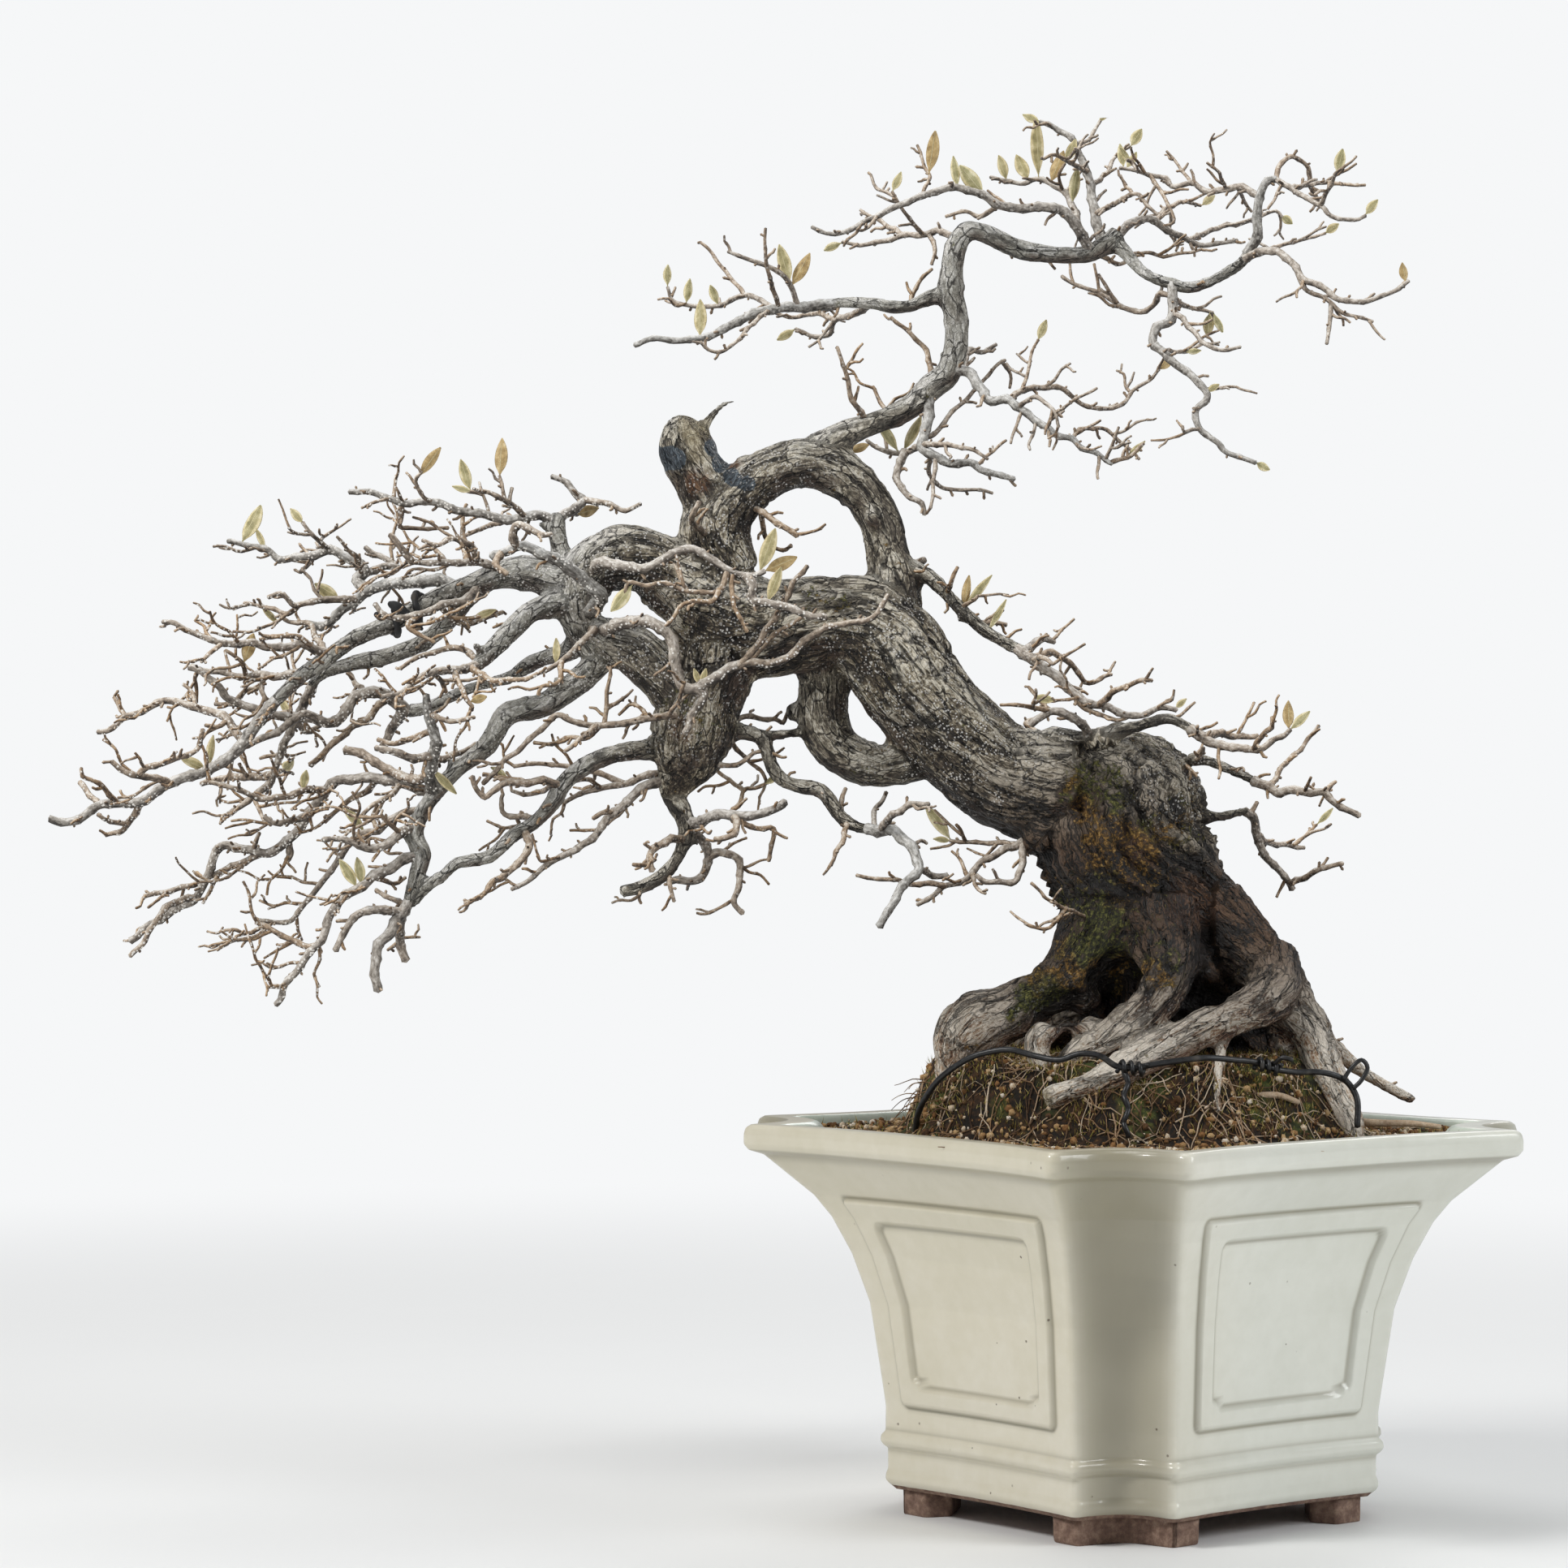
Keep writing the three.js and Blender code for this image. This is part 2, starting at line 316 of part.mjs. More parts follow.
    [0, 18, 1.5, 0.9, 68, 356, 72, 363, 75, 368, 81, 373, 86, 379, 92, 387],
  ],
  "right_low_spray": [
    [0, 14, 2.3, 1.6, 55.5, 344.4, 60, 341, 61, 334, 63, 328, 66, 322, 70, 318, 74, 314, 77, 310,
      79, 306],
    [0, -16, 1.7, 1.1, 77.5, 309, 83, 311, 89, 314, 95, 317, 104, 318.5],
    [0, 20, 1.8, 1, 61.2, 333, 67, 329, 75, 328, 85, 326.5],
  ],
  "base_left_spray": [
    [0, -14, 2.4, 1.2, -40, 333, -55, 329, -62, 326.5, -68, 322.5, -74, 320, -78, 315, -82, 311,
      -87, 309, -93, 307.5, -98, 303, -106, 298.5],
    [0, -10, 1.5, 0.9, -92, 307.8, -100, 309, -110, 308.5, -116, 311, -125, 311, -136, 313],
    [0, -14, 2, 1.2, -53, 329.3, -54, 320, -56, 313, -58, 310, -66, 309.5, -72, 310, -77, 313],
    [0, 14, 1.4, 0.9, -57, 328.5, -65, 329, -75, 329, -83, 329.5, -90, 330],
  ],
  "under_loop_spray": [
    [0, -12, 3, 1.9, -131, 336, -124, 335, -118, 335, -113, 331, -109, 327, -106, 321, -105, 316,
      -110, 311, -115, 305, -119, 297, -125, 288],
    [0, -18, 2, 1.4, -124, 335, -120, 341, -114, 345, -108, 348, -100, 348],
  ],
  "loop_hook_spray": [
    [0, -12, 2.9, 2, -220, 340, -213, 339, -208, 342, -203, 343.5, -198, 342.5, -190, 342.5,
      -182, 343.5, -176, 346, -171, 349.5],
    [0, 8, 1.6, 1, -195.3, 339, -188, 336.5, -180, 336.5, -177, 336, -177, 330, -178.5, 324,
      -179.5, 320],
    [0, 14, 1.3, 0.9, -199, 342.7, -194, 348, -191, 355, -186, 356, -181, 358],
  ],
  "tail_loop_spray": [
    [0, 14, 2.6, 1.8, -220, 336, -216, 334.5, -212, 330, -209.5, 325, -208.5, 321, -210, 316,
      -213, 312, -218, 310, -225, 310.5, -229, 309.5],
    [0, -6, 2.2, 1.3, -208.7, 322, -204, 324, -198, 323.5, -194, 320, -193, 313, -194.5, 306,
      -196, 300, -194, 296, -192, 294],
  ],
  "tail_left_spray": [
    [0, -14, 2.2, 1.6, -221, 331, -228, 330.5, -234, 327, -238, 323, -237.5, 318, -236, 315.5],
  ],
  "low_limb_spray": [
    [0, 12, 1.8, 1, -293, 340, -303, 342, -309, 343, -311, 346, -311, 351, -310, 353],
  ],
  "low_hook_spray": [
    [0, -12, 2.1, 1.6, -300, 336, -297, 328, -299, 323, -303, 319, -307, 315, -311, 311],
  ],
  "low_front_spray": [
    [0, -14, 2.7, 1.1, -228, 361, -240, 357, -246, 352, -250, 348, -254, 345, -258, 342, -262, 336,
      -266, 331, -271, 328, -275, 325, -282, 322, -290, 317, -298, 310, -306, 306],
  ],
  "low_cross_spray": [
    [0, 18, 2.2, 1.1, -229, 366, -240, 362, -250, 358, -262, 356, -272, 353, -280, 349],
    [0, 20, 1.6, 1, -250, 358, -262, 363, -275, 366, -290, 368, -305, 367],
  ],
  "center_low_spray": [
    [0, -14, 2.2, 1.2, -281, 357, -290, 359.5, -300, 358.5, -310, 358, -316, 354, -319, 351,
      -323, 355, -325, 362],
  ],
  "hip_spray": [
    [-24, -8, 1.9, 1.2, -216, 392, -230, 391.5, -240, 390, -250, 388, -258, 387, -268, 387,
      -276, 389, -283, 392, -290, 386, -297, 380, -303, 374, -309, 370, -314, 364, -320, 358],
    [0, 2, 1.3, 0.8, -260, 387, -259, 400, -258, 408, -257, 416],
    [0, 12, 1.4, 0.9, -262, 387, -268, 381, -276, 381, -286, 378, -295, 378],
  ],
  "front_spray": [
    [-22, -10, 3.2, 2.4, -262, 434, -255, 436, -247, 438, -240, 438, -234, 436, -229, 432,
      -226, 425, -225, 418, -224, 411, -221, 406, -215, 405, -208, 409, -200, 414, -193, 417],
    [0, -6, 2.2, 1.2, -194, 416.6, -188, 418, -180, 417.5, -172, 419, -167, 423, -162, 428,
      -155, 433, -147, 436, -140, 437.5, -133, 438, -127, 441, -123, 446, -120.5, 451.5],
    [0, -8, 1.9, 1.2, -193, 417, -187, 423, -182, 431, -177, 439, -172, 447, -168, 455, -165, 460,
      -160, 465.5],
    [0, -4, 1.5, 1, -188, 418, -183, 425, -178, 430, -170, 436, -163, 440, -162, 445],
    [0, 2, 3, 1.5, -216, 405, -211, 402, -214, 397, -217, 391, -219, 386, -221, 383],
  ],
  "front_upper_spray": [
    [-24, -10, 3, 1.3, -268, 462, -262, 467, -255, 466, -248, 465, -240, 464, -232, 468, -225, 472,
      -218, 474, -212, 472, -206, 468, -198, 463, -192, 461, -186, 461, -181, 463],
    [0, -5, 1.6, 1, -199, 463.5, -203, 454, -210, 452, -218, 453, -225, 455, -232, 457, -240, 456,
      -248, 457, -250, 452],
    [0, -3, 1.4, 0.9, -197, 462, -197, 448, -193, 440, -190, 433],
    [0, -8, 1.5, 1, -203.5, 454, -207, 448, -215, 448, -222, 446, -226, 440, -230, 436],
    [0, -3, 2.4, 1.6, -191, 461, -187, 456, -187, 449, -180, 447, -172, 446, -165, 443, -158, 441,
      -151, 440],
  ],
  "front_grey_spray": [
    [-18, -8, 4, 2, -264, 440, -262, 450, -266, 455, -272, 460, -278, 465, -283, 468, -290, 471,
      -296, 474, -303, 475, -310, 472, -316, 470],
    [0, -8, 2.4, 1.3, -304, 475, -305, 482, -303, 486, -298, 484, -291, 481, -286, 481],
  ],
  "front_brown_spray": [
    [-14, -12, 2, 1.1, -266, 438, -265, 434, -269, 430, -275, 424, -282, 418, -290, 413],
  ],
  "post_spray": [
    [0, 8, 2.8, 1.3, -283, 488, -280, 491, -276, 493, -270, 498, -274, 501, -280, 507, -286, 510],
    [0, -10, 1.8, 1, -270, 498, -262, 497, -256, 495, -250, 493, -242, 496],
  ],
  "post_left_spray": [
    [0, -8, 2.6, 1.4, -283, 485, -290, 490, -296, 490, -302, 489, -308, 488, -320, 491, -328, 492,
      -334, 493, -340, 496, -345, 497, -352, 497, -358, 496, -364, 498, -370, 500, -376, 502,
      -386, 502],
    [0, -12, 1.6, 1, -299, 489.5, -306, 496, -312, 499, -318, 502, -326, 502],
    [0, 12, 1.5, 1, -306, 488.3, -318, 485, -325, 482, -332, 479],
    [0, 10, 1.4, 1, -360, 496.5, -360, 492, -361, 485, -355, 484, -345, 484, -337, 484],
  ],
  "left_top_spray": [
    [0, 16, 3.4, 2, -332, 454, -340, 458, -350, 458, -358, 457, -366, 457, -372, 455, -378, 452,
      -383, 448, -388, 445, -392, 441, -395, 438, -400, 436, -408, 437],
    [0, 12, 3, 1.2, -376, 453, -382, 458, -378, 463, -384, 468, -389, 471, -395, 473, -403, 471,
      -412, 469.5, -420, 469, -426, 473, -434, 475.5, -446, 477.5],
    [0, 10, 2.2, 1.2, -379, 460.5, -370, 465, -362, 465, -366, 468, -373, 471, -378, 475],
    [0, -14, 2, 1.1, -382, 449, -390, 449, -400, 448.5, -408, 447, -413, 446, -417, 450,
      -420, 452, -426, 450],
    [0, 8, 1.4, 0.9, -410, 446.6, -416, 442, -423, 444, -430, 446, -438, 447],
  ],
  "left_upper_spray": [
    [0, -16, 2.3, 1.3, -308, 462, -320, 467, -330, 467, -340, 467, -350, 467, -358, 468],
    [0, -12, 1.8, 1, -322, 467, -326, 475, -334, 479, -342, 476, -350, 478],
    [0, 14, 1.6, 0.9, -328, 467, -330, 478, -330, 488, -328, 496],
  ],
  "left_core_upper_spray": [
    [0, -18, 2.4, 1.3, -321, 457.6, -328, 449, -337, 447, -345, 444, -353, 441, -362, 440,
      -369, 441, -373, 447],
    [0, -6, 1.5, 0.9, -350, 442, -357, 436, -352, 432, -344, 428],
    [0, 12, 1.5, 1, -341, 445.5, -334, 438, -326, 437, -318, 440, -310, 443],
  ],
  "left_far_spray": [
    [0, -14, 3.1, 2, -422, 399.5, -430, 390, -434, 384, -438, 379, -442, 374, -448, 369, -454, 366,
      -460, 363, -468, 361, -475, 358, -480, 355, -485, 351, -490, 349, -498, 348.5, -508, 348,
      -513, 345, -517, 342, -521, 340, -528, 339, -534, 341],
    [0, 8, 2, 1.1, -488, 349.5, -492, 343, -495, 338, -498, 335, -502, 334, -506, 332.5],
    [0, -10, 1.5, 0.9, -500, 348.4, -504, 353, -508, 357, -513, 360, -517, 362, -518, 366],
    [0, -14, 2, 1.3, -474, 358.5, -480, 360.5, -486, 361.5, -493, 362.5, -498, 365, -503, 369],
    [0, -8, 1.7, 1.2, -490, 362.2, -486, 366, -478, 368, -470, 371, -464, 373, -460, 376,
      -459, 381, -458, 385],
    [0, 16, 2.3, 1.3, -438, 379, -443, 385, -447, 391, -455, 394, -463, 396, -470, 398.5,
      -477, 399, -484, 396, -490, 393, -496, 391, -501, 387, -506, 384, -510, 383.5],
  ],
  "left_middle_spray": [
    [0, 18, 2.2, 1.3, -402, 416.5, -412, 413, -420, 411, -428, 412, -435, 411, -443, 411.5,
      -450, 413, -457, 414, -464, 416],
  ],
  "left_raised_spray": [
    [0, -14, 2.4, 1.2, -394, 422, -402, 424, -409, 427, -414, 426, -420, 425, -428, 426,
      -435, 427.5, -442, 427, -449, 427, -453, 429, -460, 431, -466, 434, -472, 437, -478, 438],
    [0, -8, 1.5, 1, -404, 424.8, -410, 430, -418, 431, -430, 429.5],
    [0, 12, 1.8, 0.9, -398, 423, -402, 430, -406, 437, -416, 438, -420, 441],
  ],
  "left_drop_spray": [
    [0, 10, 2.6, 1.5, -404, 407.5, -408, 398, -411, 392, -414, 386, -418, 378, -421, 370, -423, 363,
      -426, 356],
    [0, 10, 2.2, 1.4, -423, 363, -430, 361.5, -440, 361.5, -450, 360.5, -459, 358],
    [0, -8, 2, 1.2, -425, 358, -433, 352, -438, 348, -446, 343],
  ],
  "left_hook_spray": [
    [0, -16, 3.2, 1.6, -357, 394, -363, 398, -368, 402, -374, 403, -381, 402, -384, 400, -387, 395,
      -391, 390, -397, 388, -403, 390, -410, 391, -418, 391, -428, 393.5, -436, 396, -443, 399,
      -447, 401, -450, 406, -455, 410, -460, 414, -465, 415.5],
    [0, -12, 2.2, 1.5, -401, 389.5, -408, 393, -411, 391, -418, 386, -425, 382, -432, 379,
      -440, 376],
    [0, -14, 1.9, 1.5, -366, 400.5, -372, 396, -378, 389, -385, 386, -390, 381, -396, 376,
      -401, 371, -405, 367],
  ],
  "left_core_spray": [
    [0, -14, 2.4, 1.2, -322, 417, -330, 414.5, -338, 414, -346, 413, -353, 409, -360, 403,
      -370, 401],
    [0, 8, 1.8, 1, -321, 418, -328, 424, -338, 424.5, -348, 422, -356, 418, -361, 415],
    [0, -16, 1.8, 1, -326, 416, -318, 410, -309, 409, -299, 410, -291, 413],
  ],
  "stem_top_spray": [
    [0, -18, 4, 1.8, -342, 353, -346, 362, -345, 370, -343, 378, -345, 386, -347, 393, -348, 402],
    [0, -12, 2.4, 1.6, -345, 371, -355, 371, -362, 373, -367, 375, -373, 376],
    [0, 14, 2.5, 2.2, -346, 364, -352, 360, -360, 362, -367, 365, -373, 369, -380, 373, -388, 375],
    [0, 10, 1.8, 1.2, -344.5, 384, -352, 382, -362, 378, -372, 380],
    [0, 18, 2, 1.1, -345, 369, -338, 371, -330, 374, -322, 378],
  ],
  "left_low_spray": [
    [0, 14, 2.8, 1.8, -344, 353, -355, 357, -366, 360, -376, 361, -385, 360.5, -391, 360,
      -397, 355, -401, 350, -405, 344, -410, 337, -415, 331, -420, 327, -427, 324, -433, 325,
      -440, 326.5, -446, 328, -450, 326, -453, 321, -455, 315, -457, 309, -460, 304, -464, 300,
      -470, 297, -476, 293, -482, 290, -486, 287, -490, 283, -494, 281],
    [0, 8, 1.8, 1.2, -428, 324, -436, 320.5, -444, 317, -450, 314.5, -464, 308, -472, 306,
      -480, 304, -487, 303],
    [0, -10, 1.8, 1.2, -462, 302, -468, 301, -475, 298, -480, 292, -484, 286, -488, 279, -494, 273],
    [0, -14, 2, 1.1, -404, 345, -410, 341, -417, 339.5, -420, 338.5, -424, 339, -428, 342],
    [0, -16, 2, 1.1, -397, 355, -408, 355, -415, 352, -420, 351.5, -428, 350.5, -433, 352,
      -440, 355, -448, 357.5, -455, 359],
    [0, 12, 1.8, 1, -372, 360.8, -378, 354, -386, 350, -392, 345, -398, 339],
    [0, -12, 1.6, 1, -360, 358.5, -366, 352, -374, 348, -380, 342],
  ],
  "left_low_tip_spray": [
    [0, -12, 2.8, 1.6, -351, 323, -358, 321, -365, 317, -373, 313, -378, 309, -384, 305, -390, 301,
      -395, 294, -397, 287, -400, 281, -404, 276, -409, 270, -413, 264, -418, 258, -420, 252,
      -422, 249],
    [0, 4, 1.6, 1.2, -402, 278.5, -408, 278, -416, 282, -424, 286, -432, 290],
  ],
  "left_low_long_spray": [
    [0, 22, 2.1, 1.1, -349, 345, -358, 344, -366, 340, -372, 335, -378, 334, -385, 330, -390, 322,
      -396, 314, -402, 306, -408, 299, -413, 292, -417, 290, -424, 290, -431, 291],
  ],
  "left_low_front_spray": [
    [0, -14, 2.8, 1.3, -353, 337, -358, 335, -364, 331, -370, 327, -376, 326, -383, 329, -392, 331,
      -399, 331],
  ],
  "hub_spray": [
    [0, -10, 3, 2.2, -356, 300, -361, 293, -366, 285, -371, 279, -373, 272, -373, 264, -372, 256],
    [0, 12, 2.6, 2.1, -359, 296, -361, 288, -360.5, 278, -358, 271],
    [0, -10, 2.5, 1.5, -360, 294.5, -370, 296, -378, 295, -384, 292, -388, 285, -393, 276],
  ],
};

// Leaves that show from the front: [x, z] of the root, [x, z] of the tip, width
const LEAVES = {
  "trunk": [[-76, 451, -80, 461, 4], [-76, 451, -69, 461, 4], [-66, 441, -62, 449, 3]],
  "crown_tip_spray": [[101, 658, 104, 671, 5], [-4, 662, -6, 674, 4], [-3, 661, 2, 670, 4],
    [115, 638, 121, 646, 4]],
  "crown_right_spray": [[135, 605, 133, 615, 4], [95, 629, 102, 634, 4]],
  "crown_knob_spray": [[73, 638, 79, 634, 4], [34, 643, 41, 648, 4]],
  "crown_hanging_spray": [[36, 551, 43, 555, 3], [61, 517, 68, 513, 4]],
  "crown_top_spray": [[-45, 685, -54, 688, 4], [-1, 672, 5, 681, 5]],
  "crown_left_spray": [[-100, 658, -97, 680, 6], [-86, 652, -88, 668, 4], [-72, 649, -85, 663, 7],
    [-46, 656, -47, 687, 6], [-40, 655, -34, 671, 6], [-51, 655, -57, 669, 6],
    [-29, 644, -27, 662, 5], [-62, 655, -66, 668, 5]],
  "crown_middle_spray": [[-118, 650, -114, 660, 4], [-143, 625, -152, 621, 4]],
  "crown_far_left_spray": [[-229, 603, -229, 614, 4], [-213, 577, -213, 597, 6],
    [-204, 593, -208, 604, 4], [-220, 594, -218, 607, 4], [-168, 604, -174, 624, 6],
    [-167, 604, -159, 620, 6]],
  "crown_low_left_spray": [[-166, 582, -175, 577, 4]],
  "under_crown_spray": [[-113, 522, -104, 540, 5], [-115, 522, -126, 537, 5],
    [-129, 525, -140, 522, 4]],
  "crown_inner_spray": [[13, 562, 20, 568, 4], [-46, 576, -42, 587, 4]],
  "right_long_spray": [[21, 395, 27, 400, 3]],
  "shoulder_spray": [[77.5, 384, 77, 399, 5], [78, 384, 88, 394, 4]],
  "base_left_spray": [[-89, 330, -102, 347, 6], [-89, 330, -98, 331, 3]],
  "loop_hook_spray": [[-181, 358, -175, 362, 3]],
  "front_spray": [[-213, 407, -216, 415, 3], [-213, 407, -210, 415, 3]],
  "front_upper_spray": [[-184, 462, -176, 484, 6.5], [-182, 463, -165, 470, 6],
    [-180, 447, -173, 465, 5], [-246, 457, -257, 443, 6]],
  "front_brown_spray": [[-283, 415, -284, 430, 4]],
  "post_left_spray": [[-325, 502, -335, 505, 3], [-326, 502, -331, 518, 5]],
  "left_top_spray": [[-439, 477, -430, 496, 8], [-427, 474, -432, 484, 3],
    [-390, 449, -403, 457, 6], [-430, 445, -421, 437, 3]],
  "left_far_spray": [[-456, 365, -469, 371, 5], [-456, 365, -453, 382, 4]],
  "left_low_spray": [[-409, 354, -407, 365, 4]],
  "left_low_tip_spray": [[-382, 307, -391, 321, 5], [-380, 308, -382, 322, 5]],
  "left_low_long_spray": [[-378, 334, -389, 347, 5]],
  "stem_top_spray": [[-346, 366, -333, 353, 4]],
};

const WIRE_ROUTE = [
  [-107, -34, 186], [-105, -40, 197], [-98, -50, 209], [-91, -56, 216], [-80, -62, 223],
  [-70, -66, 226], [-60, -70, 227], [-48, -74, 224], [-36, -80, 222], [-26, -84, 225],
  [-16, -86, 224], [-8, -88, 219], [0, -89, 218], [12, -88, 220], [26, -85, 222], [38, -82, 223],
  [50, -76, 222], [60, -70, 221], [68, -66, 218], [80, -62, 216], [92, -60, 216], [101, -58, 214],
  [107, -56, 210], [111, -59, 202], [111, -62, 189],
];
const WIRE_DROP = [[-3, -89, 217], [-3, -94, 208], [-3, -98, 198], [-3, -101, 184]];
const WIRE_KNOTS = [[-6, -90, 219, 6, -90, 217], [62, -70, 220, 72, -68, 217]];

// Small helpers

const lerp = (a, b, t) => a + (b - a) * t;

/** Moves a place on the front view's plane back by its depth, along the line of sight. */
function seen([x, depth, z, radius = 0]) {
  const scale = 1 + depth / EYE.distance;
  const place = new THREE.Vector3(lerp(EYE.x, x, scale), depth, lerp(EYE.z, z, scale));
  return { place, radius: radius * scale };
}

/** The same seeded draws every time, 0 to 1. */
function draws(seed) {
  let state = seed >>> 0;
  return () => {
    state = (state + 0x6d2b79f5) >>> 0;
    let mixed = Math.imul(state ^ (state >>> 15), state | 1);
    mixed = (mixed + Math.imul(mixed ^ (mixed >>> 7), mixed | 61)) ^ mixed;
    return ((mixed ^ (mixed >>> 14)) >>> 0) / 4294967296;
  };
}

const seedOf = (name) => [...name].reduce((sum, letter) => (sum * 31 + letter.charCodeAt(0)) % 65521, 7);

/** A closed solid from corner places and triangles. */
function solid(corners, triangles) {
  const vertProperties = new Float32Array(corners.flatMap((corner) => corner.toArray()));
  const triVerts = new Uint32Array(triangles.flat());
  return new wasm.Manifold(new wasm.Mesh({ numProp: 3, vertProperties, triVerts }));
}

/** A closed three.js geometry as a solid. */
function solidOf(geometry) {
  const bare = geometry.clone();
  bare.deleteAttribute('normal');
  bare.deleteAttribute('uv');
  const merged = mergeVertices(bare, 1e-4);
  const vertProperties = new Float32Array(merged.attributes.position.array);
  const triVerts = new Uint32Array(merged.index.array);
  return new wasm.Manifold(new wasm.Mesh({ numProp: 3, vertProperties, triVerts }));
}

/** Joins solids two by two. */
function join(solids) {
  let left = solids;
  while (left.length > 1) {
    const next = [];
    for (let i = 0; i < left.length; i += 2) {
      next.push(i + 1 < left.length ? left[i].add(left[i + 1]) : left[i]);
    }
    left = next;
  }
  return left[0];
}

/** The largest loose part of a solid: scraps that a cut leaves are dropped. */
function largest(body) {
  return body.decompose().reduce((best, part) => (part.volume() > best.volume() ? part : best));
}

/** Rings of places, each joined to the next, with flat ends, or pointed ones at the apexes given. */
function loft(rings, rootApex = null, tipApex = null) {
  const sides = rings[0].length;
  const corners = rings.flat();
  const triangles = [];
  for (let i = 0; i + 1 < rings.length; i += 1) {
    for (let j = 0; j < sides; j += 1) {
      const next = (j + 1) % sides;
      const [a, b] = [i * sides + j, i * sides + next];
      const [c, d] = [a + sides, b + sides];
      triangles.push([a, b, d], [a, d, c]);
    }
  }
  const close = (first, apex, turn) => {
    if (apex) corners.push(apex);
    const hub = apex ? corners.length - 1 : first;
    for (let j = apex ? 0 : 1; j + (apex ? 0 : 1) < sides; j += 1) {
      const [a, b] = [first + j, first + ((j + 1) % sides)];
      triangles.push(turn ? [hub, b, a] : [hub, a, b]);
    }
  };
  close(0, rootApex, true);
  close((rings.length - 1) * sides, tipApex, false);
  return solid(corners, triangles);
}

/**
 * A tapered tube along stops of {place, radius}, with a frame carried along without twisting.
 * With extra, it is that much larger all round, past its ends too.
 */
function tube(path, sides, { extra = 0, roughness = 0, seed = 1, rooted = false } = {}) {
  const draw = draws(seed);
  const stops = path.map(({ place, radius }) => ({ place: place.clone(), radius }));
  const [head, tail] = [stops[0].place, stops[stops.length - 1].place];
  head.addScaledVector(stops[1].place.clone().sub(head).normalize(), -extra);
  tail.addScaledVector(stops[stops.length - 2].place.clone().sub(tail).normalize(), -extra);
  const swell = extra / Math.cos(Math.PI / sides);
  let across = null;
  const rings = stops.map(({ place, radius }, i) => {
    const before = stops[Math.max(i - 1, 0)].place;
    const after = stops[Math.min(i + 1, stops.length - 1)].place;
    const along = after.clone().sub(before).normalize();
    if (!across) {
      across = new THREE.Vector3(0, 1, 0).cross(along);
      if (across.length() < 0.2) across = new THREE.Vector3(1, 0, 0).cross(along);
    }
    across = across.clone().addScaledVector(along, -across.dot(along)).normalize();
    const up = along.clone().cross(across);
    return Array.from({ length: sides }, (_, j) => {
      const angle = (2 * Math.PI * (j + 0.25)) / sides;
      const reach = radius * (1 + roughness * (2 * draw() - 1)) + swell;
      return place.clone()
        .addScaledVector(across, reach * Math.cos(angle))
        .addScaledVector(up, reach * Math.sin(angle));
    });
  });
  return rooted ? loft(rings.slice(1), stops[0].place) : loft(rings);
}

/** Keeps the stops that a line needs to stay within a tolerance of them all. */
function simplified(stops, tolerance) {
  if (stops.length < 3) return stops;
  const [first, last] = [stops[0], stops[stops.length - 1]];
  const line = new THREE.Line3(first.place, last.place);
  const foot = new THREE.Vector3();
  let worst = 0;
  let at = 0;
  for (let i = 1; i + 1 < stops.length; i += 1) {
    const share = line.closestPointToPointParameter(stops[i].place, true);
    const radius = Math.abs(stops[i].radius - lerp(first.radius, last.radius, share));
    const off = line.at(share, foot).distanceTo(stops[i].place) + radius;
    if (off > worst) [worst, at] = [off, i];
  }
  if (worst <= tolerance) return [first, last];
  const head = simplified(stops.slice(0, at + 1), tolerance);
  return [...head.slice(0, -1), ...simplified(stops.slice(at), tolerance)];
}

// Wood: where every twig lies, clear of the wood of the other nodes

const wood = []; // { node, line: [[x, depth, z, radius], ...], stops: [{ place, radius }, ...], box }

function addStops(node, stops, line = []) {
  const box = new THREE.Box3().setFromPoints(stops.map((stop) => stop.place));
  box.expandByScalar(Math.max(...stops.map((stop) => stop.radius)) + SHOOT.clearance);
  const entry = { node, line, stops, box };
  wood.push(entry);
  return entry;
}

const addWood = (node, line) => addStops(node, line.map(seen), line);

/** The place nearest to x, z on the wood of a node, as [x, depth, z, radius]. */
function nearestWood(node, x, z) {
  let best = null;
  let least = Infinity;
  for (const { node: owner, line } of wood) {
    if (owner !== node) continue;
    for (let i = 0; i + 1 < line.length; i += 1) {
      const [a, b] = [line[i], line[i + 1]];
      const [dx, dz] = [b[0] - a[0], b[2] - a[2]];
      const length = dx * dx + dz * dz || 1;
      const share = THREE.MathUtils.clamp(((x - a[0]) * dx + (z - a[2]) * dz) / length, 0, 1);
      const near = a.map((value, k) => lerp(value, b[k], share));
      const off = Math.hypot(near[0] - x, near[2] - z);
      if (off < least) [least, best] = [off, near];
    }
  }
  return best;
}

/** The least distance between two straight stretches. */
function stretchDistance(p0, p1, q0, q1) {
  const u = p1.clone().sub(p0);
  const v = q1.clone().sub(q0);
  const w = p0.clone().sub(q0);
  const [a, b, c, d, e] = [u.dot(u), u.dot(v), v.dot(v), u.dot(w), v.dot(w)];
  const across = a * c - b * b;
  let s = across > 1e-9 ? THREE.MathUtils.clamp((b * e - c * d) / across, 0, 1) : 0;
  const t = THREE.MathUtils.clamp(c > 1e-9 ? (b * s + e) / c : 0, 0, 1);
  s = THREE.MathUtils.clamp(a > 1e-9 ? (b * t - d) / a : 0, 0, 1);
  return w.addScaledVector(u, s).addScaledVector(v, -t).length();
}

